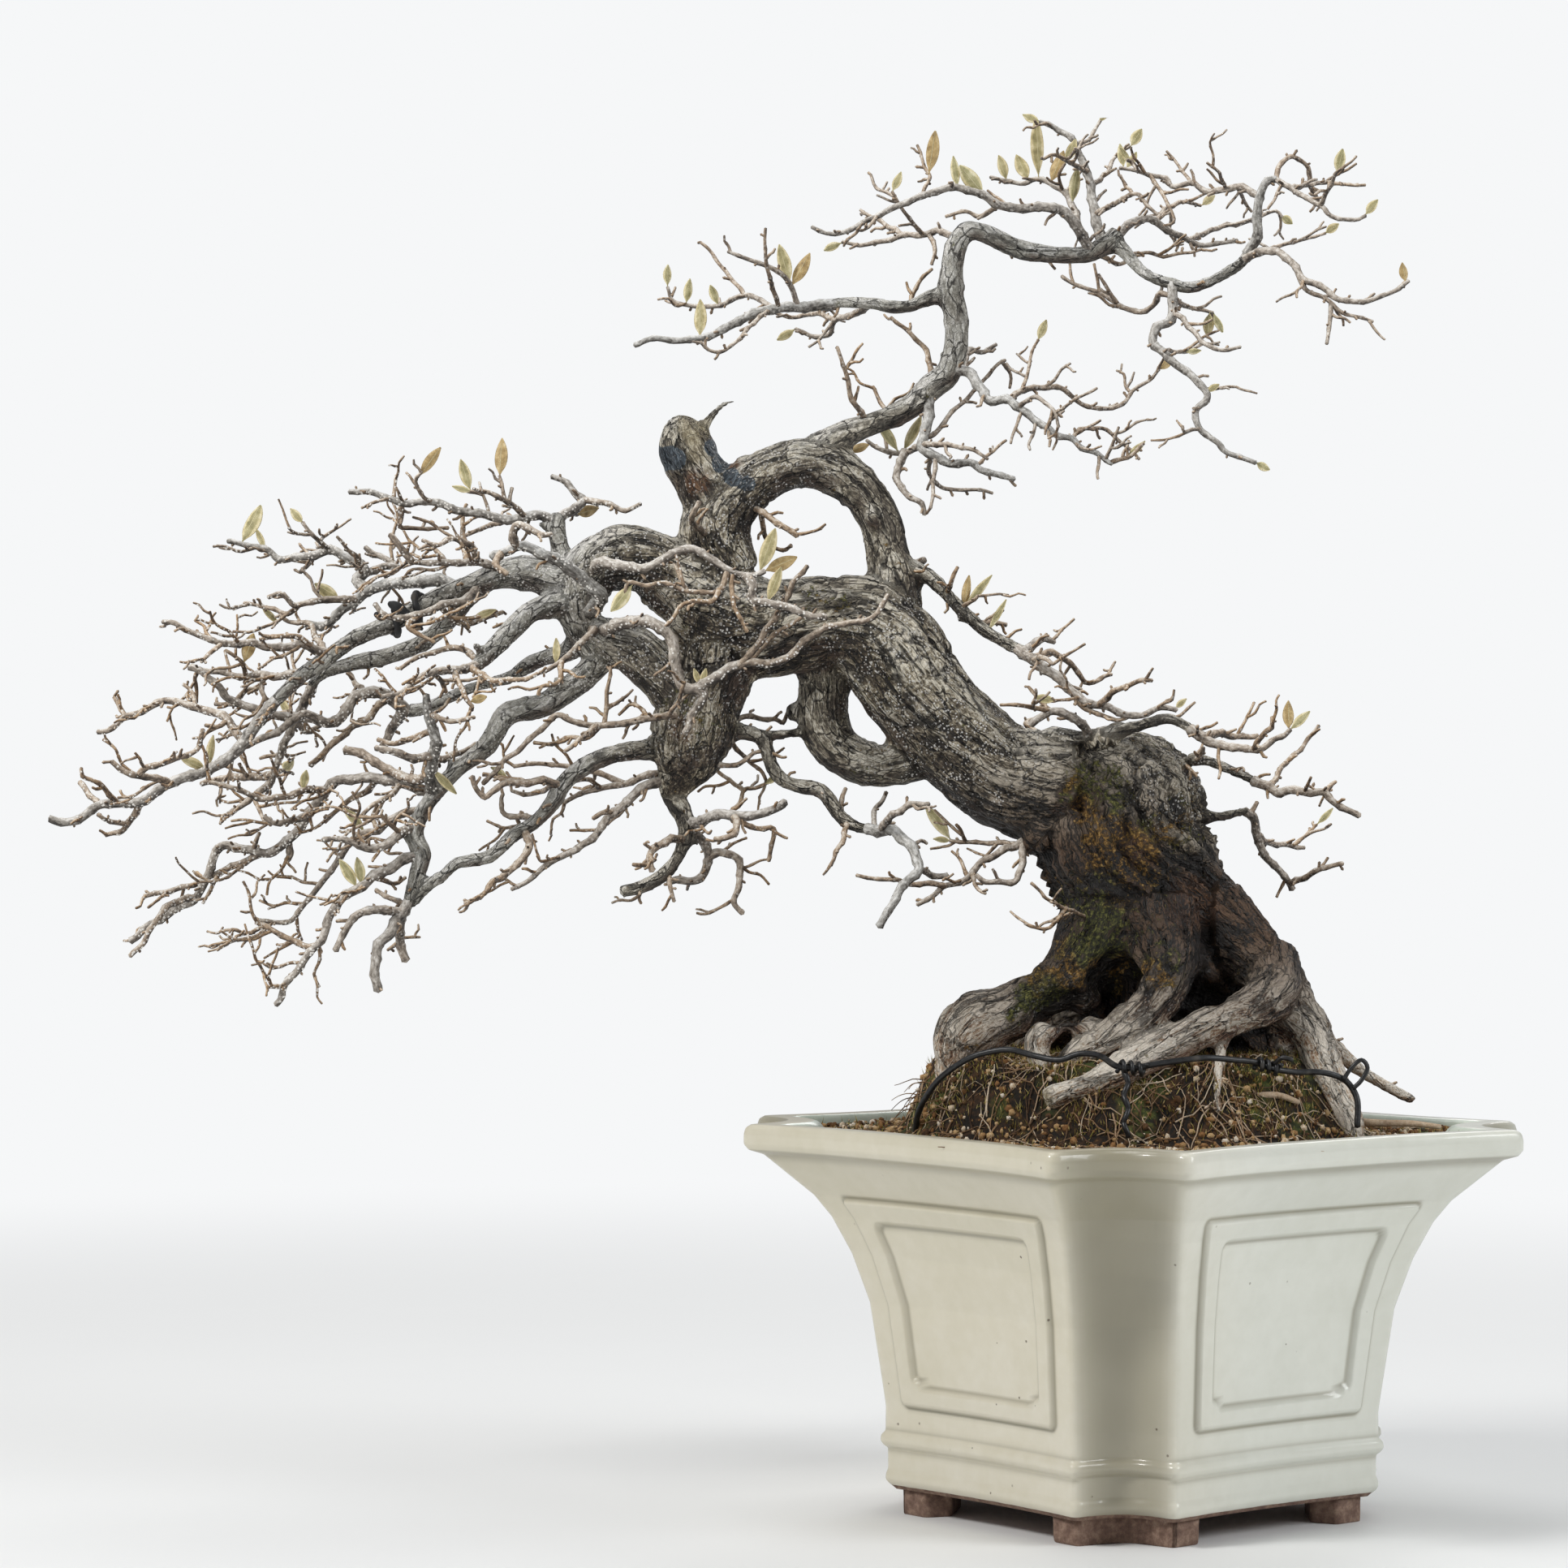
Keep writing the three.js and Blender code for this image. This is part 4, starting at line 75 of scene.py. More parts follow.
# Limbs, roots and trunk: [x, depth, z, radius] along each
LIMBS: dict[str, list[list[float]]] = {
    "butt": [[24, 34, 178, 52], [22, 32, 225, 49], [16, 24, 255, 46], [10, 12, 280, 46], [5, 4, 305, 43],
      [-6, 0, 330, 43], [-6, 0, 346, 41], [-8, 0, 362, 34], [-10, 0, 374, 25], [-12, 0, 381, 11]],
    "diagonal": [[-8, -2, 344, 34], [-36, -2, 353, 30], [-64, -3, 362.4, 26], [-80, -3, 375, 25.5],
      [-95, -4, 389.6, 25.6], [-108, -4, 406, 26.5], [-119, -4, 424, 27], [-131, -3, 435, 25],
      [-146, -1, 438, 23], [-162, 0, 437, 23], [-180, 2, 435, 25], [-197, 3, 438, 27],
      [-209, 3, 443, 26], [-220, 2, 449, 22]],
    "descent": [[-200, 3, 436, 25], [-207, 2, 412, 22], [-213, 0, 397, 21], [-217, -1, 382, 21],
      [-220, -1, 370, 17], [-224, -1, 361, 11], [-227, -2, 355, 6.5]],
    "knuckle": [[-212, 2, 452, 23], [-226, 1, 460, 19], [-240, 0, 468, 16], [-252, 0, 469, 17],
      [-263, 0, 465, 15.5], [-270, -1, 457, 13.5], [-273, -2, 446, 12], [-270, -2, 435, 10.5],
      [-264, -3, 426, 9]],
    "cross_limb": [[-268, -2, 434, 9], [-256, -6, 428, 10.5], [-245, -8, 423, 12.5],
      [-235, -8, 414, 12.5], [-226, -6, 403, 11], [-217, -3, 390, 10]],
    "arch": [[-198, -2, 460, 16], [-205, -2, 477, 17.6], [-203, -2, 491, 17.2], [-192, -2, 503, 14.5],
      [-180, -1, 511, 13], [-168, 0, 515.5, 12.7], [-155, 1, 515.5, 12.4], [-143, 2, 510.5, 11.8],
      [-133, 2, 502, 10.8], [-126.5, 2, 492, 10.3], [-122.5, 1, 482, 10.6], [-120.5, 1, 471, 10.8],
      [-118, 0, 459, 12], [-116, -1, 444, 13]],
    "stub": [[-204, -3, 490, 14], [-211, -4, 506, 14], [-218, -5, 519, 13.5], [-221, -5, 527, 12.5],
      [-222, -5, 535, 8.5], [-222, -5, 539, 3.5]],
    "stub_spike": [[-214, -5, 530, 3.4], [-209, -5, 537, 2.4], [-202.6, -6, 544.5, 1.9],
      [-195.6, -7, 546.6, 1.4]],
    "lower_loop": [[-154, 4, 430, 12], [-152, 6, 413, 12.5], [-152.5, 7, 400, 12.5],
      [-152, 7, 388, 12.4], [-147, 6, 377.5, 12], [-138, 4, 371, 11.5], [-127, 2, 367.5, 10.6],
      [-115, 0, 367.5, 10], [-103, -2, 370, 10], [-88, -3, 375, 10]],
    "left_buttress": [[-4, -10, 302, 28], [-16, -18, 281, 22], [-33, -20, 258, 18], [-50, -22, 250, 15],
      [-64, -24, 244, 15], [-76, -25, 239, 18], [-83, -24, 231, 16.5], [-87, -22, 218, 11],
      [-90, -20, 203, 8], [-92, -18, 186, 6]],
    "middle_root": [[12, -20, 292, 24], [16, -33, 271, 18], [14, -41, 258, 15], [7, -47, 247, 13],
      [-3, -50, 238, 11], [-13, -50, 231, 9], [-24, -48, 226, 7.5], [-34, -46, 219, 6]],
    "cut_root": [[68, -16, 270, 16], [70, -34, 257, 13], [60, -46, 248, 11], [45, -54, 242, 10],
      [28, -59, 234, 9.5], [10, -63, 225, 9], [-6, -67, 217, 8], [-22, -71, 209, 7],
      [-42, -76, 202.5, 6]],
    "knob_root": [[-16, -44, 236, 6], [-28, -48, 240, 6], [-40, -51, 238, 6.5], [-47, -53, 230, 6.5],
      [-45, -54, 221, 6], [-40, -52, 212, 5]],
    "right_root": [[38, -6, 296, 20], [57, -14, 276, 17], [70, -22, 262, 14.5], [79, -28, 248, 12],
      [88, -32, 236, 10.5], [93, -36, 222, 9.5], [100, -40, 207, 8.5], [107, -44, 192, 7.5],
      [110, -46, 178, 6]],
    "right_flank": [[26, 6, 304, 22], [50, 8, 278, 20], [66, 10, 259, 15.5], [78, 10, 244, 11],
      [91, 6, 234, 6], [103, 0, 225, 4], [112, -6, 217, 3.4], [122, -10, 211, 3.1],
      [131, -12, 206, 3], [139, -14, 202, 2.6]],
    "back_root": [[30, 46, 256, 22], [44, 66, 232, 15], [56, 82, 208, 10], [64, 92, 184, 6]],
    "back_left_root": [[-8, 46, 256, 20], [-28, 74, 230, 13], [-42, 96, 204, 8], [-50, 108, 182, 5]],
    "left_back_root": [[-22, 28, 254, 18], [-54, 44, 230, 11], [-80, 56, 208, 7], [-94, 62, 184, 5]],
    "hanging_root": [[46, -50, 239, 3.4], [44, -60, 226, 3.1], [42, -70, 210, 2.9], [42, -78, 197, 2.6],
      [43, -84, 184, 2.2]],
    "left_main": [[-266, -1, 458, 12], [-282, 0, 459, 10], [-296, 2, 462, 9], [-308, 4, 462, 8],
      [-320, 6, 458, 6.2], [-333, 8, 453.5, 5.2], [-345, 8, 448.5, 5], [-355, 7, 442.5, 4.8],
      [-366, 5, 437, 4.5], [-376, 3, 433, 4.4], [-386, 1, 428, 4.4], [-394, -1, 422, 4.4],
      [-402, -3, 416.5, 4.4], [-411, -5, 410, 4.1], [-418, -7, 403, 3.7], [-425, -9, 396.5, 3.1]],
    "left_second": [[-316, 6, 459, 5], [-327, 14, 449, 4.2], [-334, 20, 441, 4.3],
      [-342, 24, 433.5, 4.6], [-351, 27, 427, 4.7], [-361, 28, 423, 4.5], [-372, 28, 420, 4.3],
      [-382, 27, 418, 4.1], [-391, 26, 415.5, 3.8], [-399, 24, 412.5, 3.2], [-405, 22, 406, 2.7]],
    "left_third": [[-272, -2, 448, 9], [-286, -8, 446, 7], [-296, -14, 443, 5.8],
      [-304, -19, 436, 5.4], [-311, -24, 428.5, 5.2], [-318, -28, 421.5, 4.6], [-324, -31, 415, 3.4]],
    "left_fourth": [[-268, -2, 432, 8], [-278, 6, 423.5, 5.2], [-287, 14, 421, 4.6],
      [-297, 22, 417, 4.2], [-307, 28, 410.5, 3.5], [-318, 32, 407.5, 3], [-328, 34, 404.5, 3.1],
      [-338, 35, 400, 3.3], [-348, 36, 395.5, 3.6], [-358, 36, 393.5, 3.7]],
    "post": [[-279, 0, 462, 5], [-282, 2, 474, 4.6], [-283.5, 4, 484, 4.4], [-283, 6, 491, 3.6]],
    "left_falling": [[-265, -3, 430, 8], [-262, -4, 420, 7], [-270, -6, 411, 6.8],
      [-280, -8, 403, 6.6], [-290, -9, 397, 6.2], [-300, -10, 394.5, 5.8], [-309, -11, 392, 5.8],
      [-314, -12, 383, 5.3], [-320, -14, 375, 4.8], [-328, -16, 369, 4.4], [-336, -18, 362, 4.2],
      [-343, -18, 354, 4.2], [-350, -18, 344, 4.2], [-354, -18, 333, 4.8], [-350, -19, 323, 4.8],
      [-353, -20, 312, 4], [-356, -20, 303, 3.4], [-357, -20, 297, 3]],
    "low_limb": [[-224, -2, 376, 9], [-238, -6, 375, 5.6], [-250, -9, 374, 5], [-262, -12, 370.5, 5],
      [-272, -14, 365, 4.6], [-280, -15, 358.5, 4.4], [-284, -16, 351, 4.2], [-290, -17, 343.5, 3.8],
      [-297, -18, 337.5, 4], [-304, -19, 333.5, 4.1], [-311, -20, 327, 3.7], [-317, -21, 322, 3.5],
      [-325, -22, 320.5, 3.4], [-333, -23, 319, 3.5], [-339, -23, 313.5, 3.1], [-346, -22, 308.5, 3],
      [-354, -20, 300, 2.6]],
    "tail": [[-225, -1, 364, 9], [-228, -2, 356, 5.4], [-226, -3, 351, 5.4], [-222.5, -4, 345, 5],
      [-220, -5, 338, 4.6], [-220.5, -6, 330, 3.9], [-223.5, -7, 323, 3.5], [-227, -8, 317.5, 3.6],
      [-232, -9, 312.5, 3.8], [-239, -10, 308.5, 3.8], [-246, -11, 306, 3.6], [-252, -12, 305, 3.5]],
    "crown_stem": [[-160, 1, 519, 9], [-150, 2, 526, 7.4], [-140, 4, 531, 6.8], [-125, 6, 536.7, 5.8],
      [-114, 7, 541, 5.7], [-106, 8, 546.6, 6.2], [-99.8, 8, 553, 6.7], [-91, 8, 560, 6.6],
      [-87.7, 8, 570.5, 6.1], [-86.7, 7, 580, 6.2], [-87, 6, 590, 6.4], [-88.8, 5, 599, 6.2],
      [-88.6, 4, 608, 6.1], [-87.8, 3, 618.7, 5.5], [-86, 2, 625.5, 5.4], [-82, 2, 630.5, 5.1],
      [-76.6, 2, 630.8, 4.9], [-69, 2, 627.8, 5.1], [-61.6, 2, 624, 5], [-53, 2, 620.8, 4.6],
      [-40, 1, 619, 4.4], [-29.4, 0, 618.5, 4.3], [-19.8, 0, 619.8, 4.6], [-11.2, -1, 624.9, 4.9],
      [-7, -1, 630, 4.4]],
    "crown_right": [[-10, -1, 627, 4.2], [-2.8, -3, 619.3, 3.6], [3.6, -5, 611.8, 3.2],
      [10, -7, 607.5, 3.1], [20.8, -9, 604.3, 3.2], [28.3, -10, 602.6, 3], [40, -12, 606.4, 3.1],
      [47.6, -13, 610.7, 3], [54, -14, 615, 3.1], [58.3, -15, 621.4, 3]],
    "crown_left": [[-88.5, 5, 600, 5.5], [-97.5, 7, 598, 4.2], [-104, 8, 596, 3.8],
      [-110.4, 9, 593.2, 3.6], [-120, 10, 593.2, 3.4], [-127.6, 11, 594.8, 3.4],
      [-141.5, 12, 595.4, 3.2], [-152, 12, 593.7, 3]],
    "right_long": [[-120, 0, 463, 8], [-111, -2, 464, 5], [-104, -4, 462.3, 4.1],
      [-96.8, -6, 457.3, 3.9], [-91, -8, 451, 3.6], [-85.5, -10, 445.3, 3.6], [-80, -12, 440, 3.5],
      [-74, -13, 434.5, 3.4], [-67, -14, 430, 3.1], [-60, -15, 426, 3], [-53, -16, 423.5, 3]],
    "shoulder_branch": [[-46, -8, 370, 8], [-42, -12, 381, 4.6], [-35, -16, 382, 4.2],
      [-27, -19, 380, 4.2], [-20, -21, 380, 4.2], [-13, -23, 381.5, 3.6], [-6, -24, 384.5, 3.2],
      [2, -25, 386.3, 3], [11, -26, 389, 3.2], [18, -27, 390.3, 3.2], [25, -28, 387.7, 3],
      [32, -29, 382.6, 2.8]],
    "under_branch": [[-206, 0, 384, 8], [-196, -3, 384, 4.4], [-189, -5, 383, 4.1],
      [-183, -7, 381, 4], [-180, -9, 375, 3.8], [-178, -10, 367.5, 3.8], [-174, -11, 361.5, 3.8],
      [-168, -12, 358, 3.6], [-161, -13, 356.3, 4.1], [-155, -14, 355.5, 4], [-150, -15, 351.5, 3.9],
      [-146.5, -16, 345.5, 3.7], [-141.5, -17, 340, 3.5], [-135, -18, 336.8, 3.2],
      [-128, -19, 335.3, 3]],
    "bridge": [[-182, -7, 381, 3], [-175, -4, 382.3, 2.7], [-168, 0, 382.8, 2.7], [-156, 5, 385, 3]],
    "right_middle": [[16, -4, 358, 9], [25, -5, 367, 3.8], [29, -6, 369.8, 3.1], [35, -8, 370, 3],
      [42, -10, 367.6, 2.9], [50, -12, 364.4, 2.8], [57, -14, 361.3, 2.7], [63, -16, 357.7, 2.5]],
    "right_low": [[26, 4, 343, 9], [36, 5, 342.5, 3.6], [44, 6, 342, 2.6], [51, 7, 343.6, 2.3],
      [57.5, 8, 345, 2.3]],
}

# Twigs: [step out of the parent, depth gained to the tip, radius at the root, radius at the tip,
# x, z, x, z, ...]. The first point moves onto the nearest wood of its own node, the first twig of a
# node onto the nearest limb.
TRUNK_TWIGS: list[list[float]] = [
    [0, -10, 1.8, 1.4, -188, 493, -175, 487, -165, 480],
    [0, 12, 1.4, 0.9, -190, 481, -180, 478, -172, 473, -168, 476],
    [0, -26, 1.8, 1.3, -218, 476, -217, 488, -213, 497],
    [0, 8, 1.3, 0.8, -110, 594, -106, 604, -98.6, 612],
    [0, 12, 1.6, 0.9, -99.7, 554, -100.8, 570, -110.4, 581, -119, 588],
    [0, -10, 1.6, 0.9, -129.7, 535, -138.3, 548.7, -141.5, 562.7, -145.8, 573.4],
    [0, 14, 1.2, 0.8, -18, 618, -6, 614.5, 4.7, 619.8, 15.4, 618.2, 26, 619.8, 34.7, 621.4],
    [0, -14, 1.6, 1, -141, 339, -142, 332, -145, 326, -147, 321, -149, 318],
    [0, -30, 1.1, 0.8, -34, 301, -38, 299, -45, 305, -50, 309],
    [0, 10, 1.6, 1, -206, 391, -192, 391, -182, 390, -176, 390, -172, 388, -170, 393],
    [0, -6, 1.6, 1, -206, 366, -198, 367, -192, 369, -187, 373, -183, 374],
    [0, 16, 1.4, 0.9, -202, 380, -190, 370, -183, 365, -180, 358],
]

SPRAYS: dict[str, list[list[float]]] = {
    "crown_tip_spray": [
      [0, -6, 2.7, 1.9, 57, 619, 61.3, 627.8, 61.9, 636.4, 62, 645, 63.6, 650.3, 66.9, 655, 71, 656],
      [0, -22, 1.5, 0.9, 71, 656, 80.8, 650, 87.2, 646, 93.6, 642.8, 98, 638, 109.7, 635.9, 115, 638.5],
      [0, 14, 1.4, 0.8, 71, 656, 72.2, 662, 77.6, 667, 83.5, 665.3, 87.2, 660, 89.4, 650],
      [0, 24, 1.4, 0.8, 78, 652, 88.3, 653.5, 95.8, 655, 102.2, 659],
      [0, 26, 1.9, 0.9, 61.9, 648, 57.2, 650.9, 50.8, 652.3, 40, 649.8, 33.6, 651.9, 29.4, 654,
        19.7, 652.7, 16.5, 656.2, 4.7, 659.4, -6, 662],
      [0, -14, 1.1, 0.7, 9, 659, 15.4, 648, 19.2, 640.7, 20.3, 635, 15.4, 633],
    ],
    "crown_right_spray": [
      [0, -30, 2.2, 1, 55, 616.5, 63, 620.5, 69, 620.3, 73.3, 619.8, 78.6, 615, 84, 607.5,
        90.4, 604.3, 96.9, 601, 101, 597.3, 107.6, 595.7, 118.3, 596.8, 128, 600.5, 136.5, 606],
      [0, -8, 1.3, 0.8, 80.5, 611, 85, 602, 93.6, 598.4, 102, 591.5, 109.7, 588.5, 118.8, 586],
      [0, 26, 1.1, 0.7, 64, 621, 73.3, 623.5, 81.9, 625.7, 95.3, 629.4],
    ],
    "crown_knob_spray": [
      [0, 24, 2.4, 1, -9, 628, 0.4, 634.8, 5.8, 637, 11, 635.3, 17.6, 631, 26, 626.8, 35.8, 623.5,
        51.9, 626.2],
      [0, 26, 1.4, 0.8, 28, 626.3, 36.9, 630, 45.4, 633.2, 54, 634.3, 62.6, 637.5, 71, 640.7,
        73.8, 637.5],
      [0, 34, 1.5, 0.8, 12, 634.8, 16, 641, 26, 645, 34, 643],
    ],
    "crown_hanging_spray": [
      [0, -20, 2.6, 1.2, 19.5, 604.5, 20.3, 593.5, 18.1, 586, 12.2, 582.8, 10, 575.3, 15.4, 571,
        21.9, 564.6, 29.4, 559.3, 36.3, 551.8, 36.3, 547.5, 31.5, 542, 33.6, 532.5, 42.7, 526,
        47, 521.2, 61, 516.5],
      [0, -24, 1.5, 0.9, 19.7, 592, 25, 587, 30.4, 580.7, 35.8, 575.3, 42.2, 572, 53.5, 573.2],
      [0, 26, 1.6, 0.9, 20.3, 598, 13.8, 600, 11, 594.6, 5.8, 591, -0.6, 591.4, -10, 596.2,
        -16.6, 600.5, -27.3, 603.7, -34.8, 608.5],
    ],
    "crown_top_spray": [
      [0, 10, 2.8, 1.2, -14.5, 622.5, -17.6, 635.8, -18.7, 641, -20.3, 651, -21.9, 659.4, -25, 665.8,
        -27.8, 673.3, -31.6, 677.6, -38, 681.4, -45.5, 684.6],
      [0, -26, 1.5, 0.8, -17.8, 639, -8, 644.4, 1.5, 649, 6.9, 644, 12.2, 638.5],
      [0, 30, 1.4, 0.8, -20.5, 652, -12, 660, -8, 668, -1, 672],
      [0, -30, 1.4, 0.8, -22, 660, -30, 664, -38, 668, -44, 666],
    ],
    "crown_left_spray": [
      [0, -26, 2.8, 1, -20, 620, -25, 629, -29.4, 635.8, -35.9, 641.2, -44.4, 642.3, -56.2, 641.7,
        -65.9, 643.3, -72.3, 647.6, -79.8, 650.3, -89.4, 651.9, -105.5, 647, -122.6, 639.6,
        -139.8, 631, -148.4, 629, -158, 632.6],
      [0, 30, 2, 0.9, -24, 630, -29.4, 643.3, -33.7, 649.8, -40, 654, -47.6, 656.2, -55, 654,
        -70, 657.3],
      [0, 12, 1, 0.7, -104, 647.5, -100, 657, -102, 662, -106, 673],
      [0, 14, 1.4, 0.8, -66, 643.5, -74, 638, -82, 640, -92, 638],
    ],
    "crown_middle_spray": [
      [0, 22, 1.9, 0.9, -86, 625.5, -94.8, 631, -100, 629, -112, 628.3, -130, 624, -143, 624.8],
      [0, -12, 1.2, 0.8, -103, 628.8, -107.6, 634, -113, 641, -118.4, 650],
      [0, 26, 1.5, 0.8, -112, 628.3, -122, 634, -134, 641],
    ],
    "crown_far_left_spray": [
      [0, -14, 2.9, 1.3, -148, 594.5, -163, 593.2, -173.6, 592.7, -184.4, 590.5, -194, 586.3,
        -202.6, 581.4, -211, 578.2, -222, 576.6, -235.8, 577.5, -245.4, 574.5],
      [0, 26, 1.5, 0.9, -176, 592.6, -190, 599, -203, 594, -215, 593.5, -226, 596, -229, 603],
      [0, 12, 1.2, 0.8, -190.8, 598.6, -196, 605.5, -202.6, 613, -206.8, 619.5, -213, 625],
      [0, -20, 1.3, 0.8, -174, 592.7, -179, 608.8, -181, 621.6, -180.6, 632],
      [0, -8, 1.5, 0.9, -165, 593.2, -168, 603, -174.7, 610.8, -189.7, 616.8, -199.3, 620.5],
      [0, -28, 1.3, 0.8, -179, 591.5, -188, 584, -194, 577, -201.5, 571.5, -209, 572, -213, 576],
    ],
    "crown_low_left_spray": [
      [0, 24, 1.9, 0.9, -128.6, 594.8, -136, 590, -146.8, 586.3, -149, 579.8, -157.6, 578.7,
        -166, 582.5],
      [0, 26, 1.5, 0.8, -146, 586.6, -156, 590, -166, 588, -176, 590],
    ],
    "under_crown_spray": [
      [0, -12, 3, 1.4, -100, 553, -100.5, 540, -102, 531, -104, 524, -96.6, 519.5, -90, 515.8,
        -79.4, 516.3, -75, 513, -64.4, 510, -58, 508.3],
      [0, -16, 1.6, 0.9, -103.5, 525, -97.6, 525.5, -91, 525, -80.5, 523.3, -75, 520.6, -71, 518.3],
      [0, 16, 1.8, 0.9, -103.5, 525, -110, 522, -118, 521, -126, 524, -131, 527.5],
      [0, 20, 1.2, 0.8, -100, 521, -99.8, 511, -94.4, 504.5, -86, 503, -75, 503, -68.7, 501.3],
      [0, -14, 2.2, 1.2, -112, 521.6, -116, 511, -113.8, 503.7, -109, 499.5, -104, 496, -101.8, 491],
      [0, 12, 1.4, 0.9, -102.5, 529, -97.6, 530, -91, 538.8, -82.6, 547, -75, 555, -67.6, 563.6,
        -62.3, 566.8],
    ],
    "crown_inner_spray": [
      [0, -22, 2.8, 1.1, -90, 563, -81.6, 561.3, -75, 553.8, -71, 547.4, -62.3, 547.4, -58, 545.3,
        -51.6, 540, -45, 535.6, -37.6, 530.3, -30, 528, -24.8, 523.8, -17.3, 520.6, -9.8, 515.8],
      [0, 24, 1.6, 0.8, -61, 547, -53.7, 552.2, -45, 553.3, -35.5, 553.3, -29, 548.5, -23.7, 544.7,
        -14, 543, -4.4, 545.3, 0, 551.7, 8.4, 557, 13.3, 562.4],
      [0, -16, 1.3, 0.8, -56, 543.5, -49.4, 548.5, -43, 546.3, -38.2, 541, -36, 534],
      [0, 14, 1.2, 0.8, -30, 528, -25.8, 532.4, -19.4, 533.5, -13, 532.4, -2.3, 523.8, 3.6, 518],
      [0, -24, 1, 0.7, -42, 533.5, -38.7, 540, -28, 547.4, -17.3, 553.3],
      [0, 12, 1, 0.7, -54.8, 551.7, -51.6, 560, -49.4, 571, -46.2, 577],
      [0, 18, 1.7, 1, -83, 561.5, -80.5, 572, -73, 570.8, -67, 575],
    ],
    "right_long_spray": [
      [0, -16, 2.9, 1.3, -57, 425, -45, 416.5, -40, 413, -35, 409, -29, 403, -24, 399, -17, 397,
        -12, 396, -5, 393, 0, 391.5, 5, 392, 9, 394, 14, 395.5, 22, 395],
      [0, -20, 1.8, 1, -16, 397, -11, 402, -6, 405, 0, 407.5, 5, 409, 10, 409],
      [0, 22, 1.8, 1, -43, 429.5, -41, 423, -36, 421, -30, 417, -26, 412, -23, 408, -19, 408,
        -14, 411, -10, 412],
      [0, 18, 1.4, 0.9, -29, 403, -24.5, 396, -15, 392, -8, 389.5, -2, 391],
    ],
    "shoulder_spray": [
      [0, -16, 2.7, 1.2, 29, 384.8, 36, 380, 44, 377, 52, 376, 60, 375, 65, 376, 70, 380, 75, 382,
        78, 385],
      [0, 18, 2.2, 1.3, 36, 380, 40, 383, 48, 382, 56, 381, 62, 382],
    ],
    "shoulder_left_spray": [
      [0, -14, 2.4, 1.8, -21, 380, -22, 384, -26, 388, -29, 391, -35, 393, -41, 394, -45, 391,
        -50, 387],
      [0, -10, 1.4, 0.8, -41, 394, -50, 396, -58, 397, -65, 397],
    ],
    "right_middle_spray": [
      [0, -16, 2.5, 1.5, 60, 359.5, 68, 356, 72, 354, 78, 355, 86, 354, 94, 354, 98, 350, 105, 346,
        112, 342],
      [0, 18, 1.5, 0.9, 68, 356, 72, 363, 75, 368, 81, 373, 86, 379, 92, 387],
    ],
    "right_low_spray": [
      [0, 14, 2.3, 1.6, 55.5, 344.4, 60, 341, 61, 334, 63, 328, 66, 322, 70, 318, 74, 314, 77, 310,
        79, 306],
      [0, -16, 1.7, 1.1, 77.5, 309, 83, 311, 89, 314, 95, 317, 104, 318.5],
      [0, 20, 1.8, 1, 61.2, 333, 67, 329, 75, 328, 85, 326.5],
    ],
    "base_left_spray": [
      [0, -14, 2.4, 1.2, -40, 333, -55, 329, -62, 326.5, -68, 322.5, -74, 320, -78, 315, -82, 311,
        -87, 309, -93, 307.5, -98, 303, -106, 298.5],
      [0, -10, 1.5, 0.9, -92, 307.8, -100, 309, -110, 308.5, -116, 311, -125, 311, -136, 313],
      [0, -14, 2, 1.2, -53, 329.3, -54, 320, -56, 313, -58, 310, -66, 309.5, -72, 310, -77, 313],
      [0, 14, 1.4, 0.9, -57, 328.5, -65, 329, -75, 329, -83, 329.5, -90, 330],
    ],
    "under_loop_spray": [
      [0, -12, 3, 1.9, -131, 336, -124, 335, -118, 335, -113, 331, -109, 327, -106, 321, -105, 316,
        -110, 311, -115, 305, -119, 297, -125, 288],
      [0, -18, 2, 1.4, -124, 335, -120, 341, -114, 345, -108, 348, -100, 348],
    ],
    "loop_hook_spray": [
      [0, -12, 2.9, 2, -220, 340, -213, 339, -208, 342, -203, 343.5, -198, 342.5, -190, 342.5,
        -182, 343.5, -176, 346, -171, 349.5],
      [0, 8, 1.6, 1, -195.3, 339, -188, 336.5, -180, 336.5, -177, 336, -177, 330, -178.5, 324,
        -179.5, 320],
      [0, 14, 1.3, 0.9, -199, 342.7, -194, 348, -191, 355, -186, 356, -181, 358],
    ],
    "tail_loop_spray": [
      [0, 14, 2.6, 1.8, -220, 336, -216, 334.5, -212, 330, -209.5, 325, -208.5, 321, -210, 316,
        -213, 312, -218, 310, -225, 310.5, -229, 309.5],
      [0, -6, 2.2, 1.3, -208.7, 322, -204, 324, -198, 323.5, -194, 320, -193, 313, -194.5, 306,
        -196, 300, -194, 296, -192, 294],
    ],
    "tail_left_spray": [
      [0, -14, 2.2, 1.6, -221, 331, -228, 330.5, -234, 327, -238, 323, -237.5, 318, -236, 315.5],
    ],
    "low_limb_spray": [
      [0, 12, 1.8, 1, -293, 340, -303, 342, -309, 343, -311, 346, -311, 351, -310, 353],
    ],
    "low_hook_spray": [
      [0, -12, 2.1, 1.6, -300, 336, -297, 328, -299, 323, -303, 319, -307, 315, -311, 311],
    ],
    "low_front_spray": [
      [0, -14, 2.7, 1.1, -228, 361, -240, 357, -246, 352, -250, 348, -254, 345, -258, 342, -262, 336,
        -266, 331, -271, 328, -275, 325, -282, 322, -290, 317, -298, 310, -306, 306],
    ],
    "low_cross_spray": [
      [0, 18, 2.2, 1.1, -229, 366, -240, 362, -250, 358, -262, 356, -272, 353, -280, 349],
      [0, 20, 1.6, 1, -250, 358, -262, 363, -275, 366, -290, 368, -305, 367],
    ],
    "center_low_spray": [
